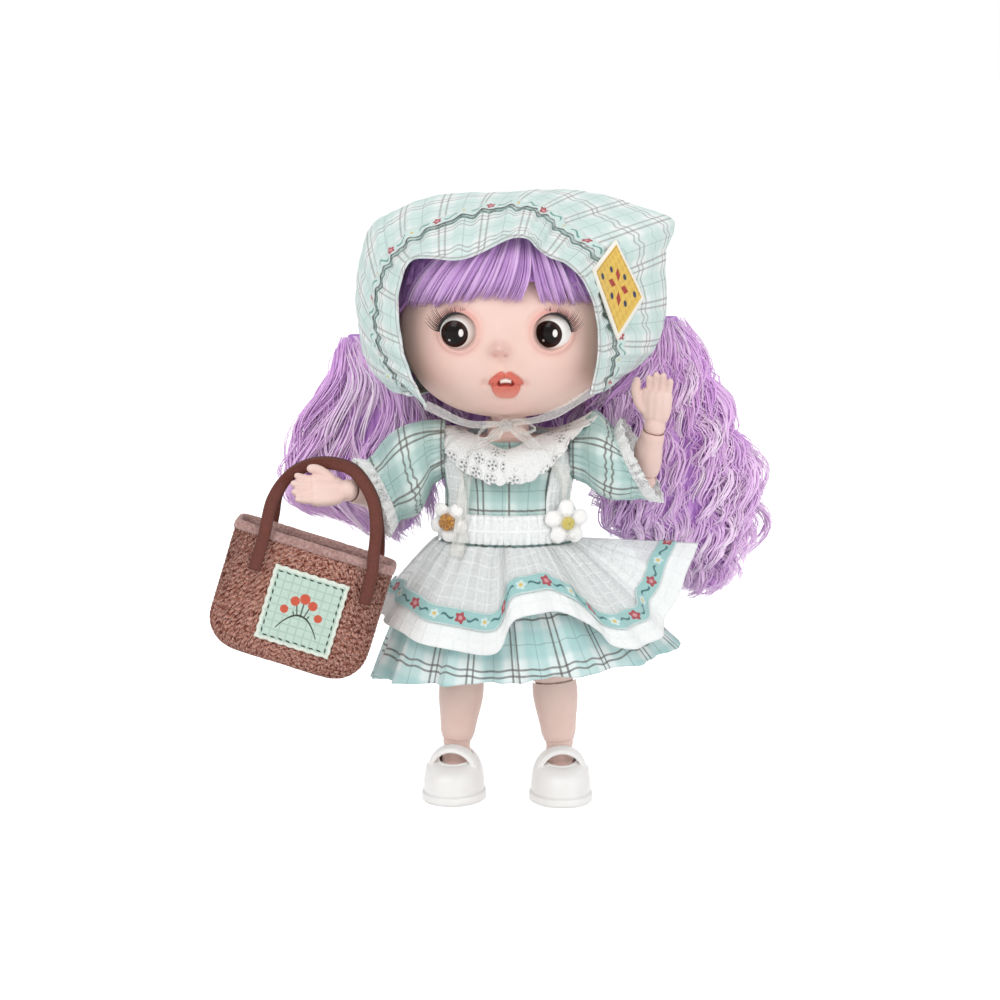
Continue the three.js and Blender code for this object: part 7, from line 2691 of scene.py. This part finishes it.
@dataclass
class Studio:
    """Pale floor, soft lamps and the camera at the photograph's angle.

    A lamp holds its name, its place in metres, its size and its power.
    """

    azimuth: float = math.radians(3)
    elevation: float = math.radians(9)
    distance: float = 0.889
    aim: tuple[float, float, float] = (2.7, -0.2, 80.6)
    lens: float = 120.0
    world: float = 0.66
    reach: float = 6000.0
    lamps: tuple = (
        ("key", (-0.55, -0.9, 0.95), 0.7, 5.2), ("fill", (0.8, -0.8, 0.55), 0.9, 3.0),
        ("back", (0.2, 0.9, 0.8), 0.7, 2.4),
    )

    def lamp(self, name: str, place: Place, size: float, power: float) -> None:
        """Hang one square soft lamp that looks at the doll."""
        data = bpy.data.lights.new(name, "AREA")
        data.size = size
        data.energy = power
        lamp = bpy.data.objects.new(name, data)
        away = np.array(place) - np.array([0, 0, 0.08])
        lamp.location = place
        lamp.rotation_euler = (
            math.acos(away[2] / np.linalg.norm(away)), 0, math.atan2(away[1], away[0]) + math.pi / 2,
        )
        bpy.context.scene.collection.objects.link(lamp)

    def camera(self) -> None:
        """Aim the camera from its azimuth, elevation and distance."""
        data = bpy.data.cameras.new("camera")
        data.lens = self.lens
        data.sensor_width = 36
        data.clip_start = 0.05
        camera = bpy.data.objects.new("camera", data)
        flat = math.cos(self.elevation)
        away = vec(flat * math.sin(self.azimuth), -flat * math.cos(self.azimuth), math.sin(self.elevation))
        camera.location = np.array(self.aim) * MM + self.distance * away
        camera.rotation_euler = (math.pi / 2 - self.elevation, 0, self.azimuth)
        bpy.context.scene.collection.objects.link(camera)
        bpy.context.scene.camera = camera

    def sky(self) -> None:
        """Light the doll by a world that the camera, glosses and clear cloth see white."""
        s = Shader(bpy.data.worlds.new("studio"))
        clear = s.seen().most(s.node("ShaderNodeLightPath", output="Is Transmission Ray"))
        level = s.node("ShaderNodeMapRange", values={0: clear, 3: self.world, 4: 1.0})
        light = s.node("ShaderNodeBackground", values={"Color": (1.0, 1.0, 1.0), "Strength": level})
        s.node("ShaderNodeOutputWorld", values={"Surface": light})
        bpy.context.scene.world = s.owner

    def build(self) -> None:
        """Set the camera, the world, the floor and the lamps."""
        bpy.context.scene.view_settings.view_transform = "Standard"
        self.camera()
        self.sky()
        side = np.linspace(-self.reach, self.reach, 3)
        grid = points(side, side[:, None], -0.05)
        floor = mesh_piece("floor", grid.reshape(-1, 3), grid_faces(3, 3), turn=False)
        FloorWhite().on(floor)
        floor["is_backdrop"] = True
        for lamp in self.lamps:
            self.lamp(*lamp)


def main() -> None:
    """Build every part of the doll in order and log the triangle counts."""
    logging.basicConfig(level=logging.INFO, format="%(name)s: %(message)s")
    Studio().build()
    total = 0
    for part in (TORSO, HEAD, Wig(), Headscarf(), DRESSED, Apron(), Limbs(), Bag()):
        for piece in part.build():
            count = sum(len(face.vertices) - 2 for face in piece.data.polygons)
            total += count
            LOG.info("%s %s: %d triangles", type(part).__name__, piece.name, count)
    # The torso's back takes the darker vinyl and the wig cap the hair's inside, both as painted shade.
    for name, look in (("torso_front", SKIN), ("torso_back", SKIN_SHADE), ("wig_cap", HAIR_MASS)):
        look.on(bpy.data.objects[name])
    LOG.info("all pieces: %d triangles", total)
    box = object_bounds()
    plain = lambda b: [[float(x) for x in row] for row in b]
    {"cad": plain(CAD_BOX), "visual": plain(box)}


if __name__ == "__main__":
    main()
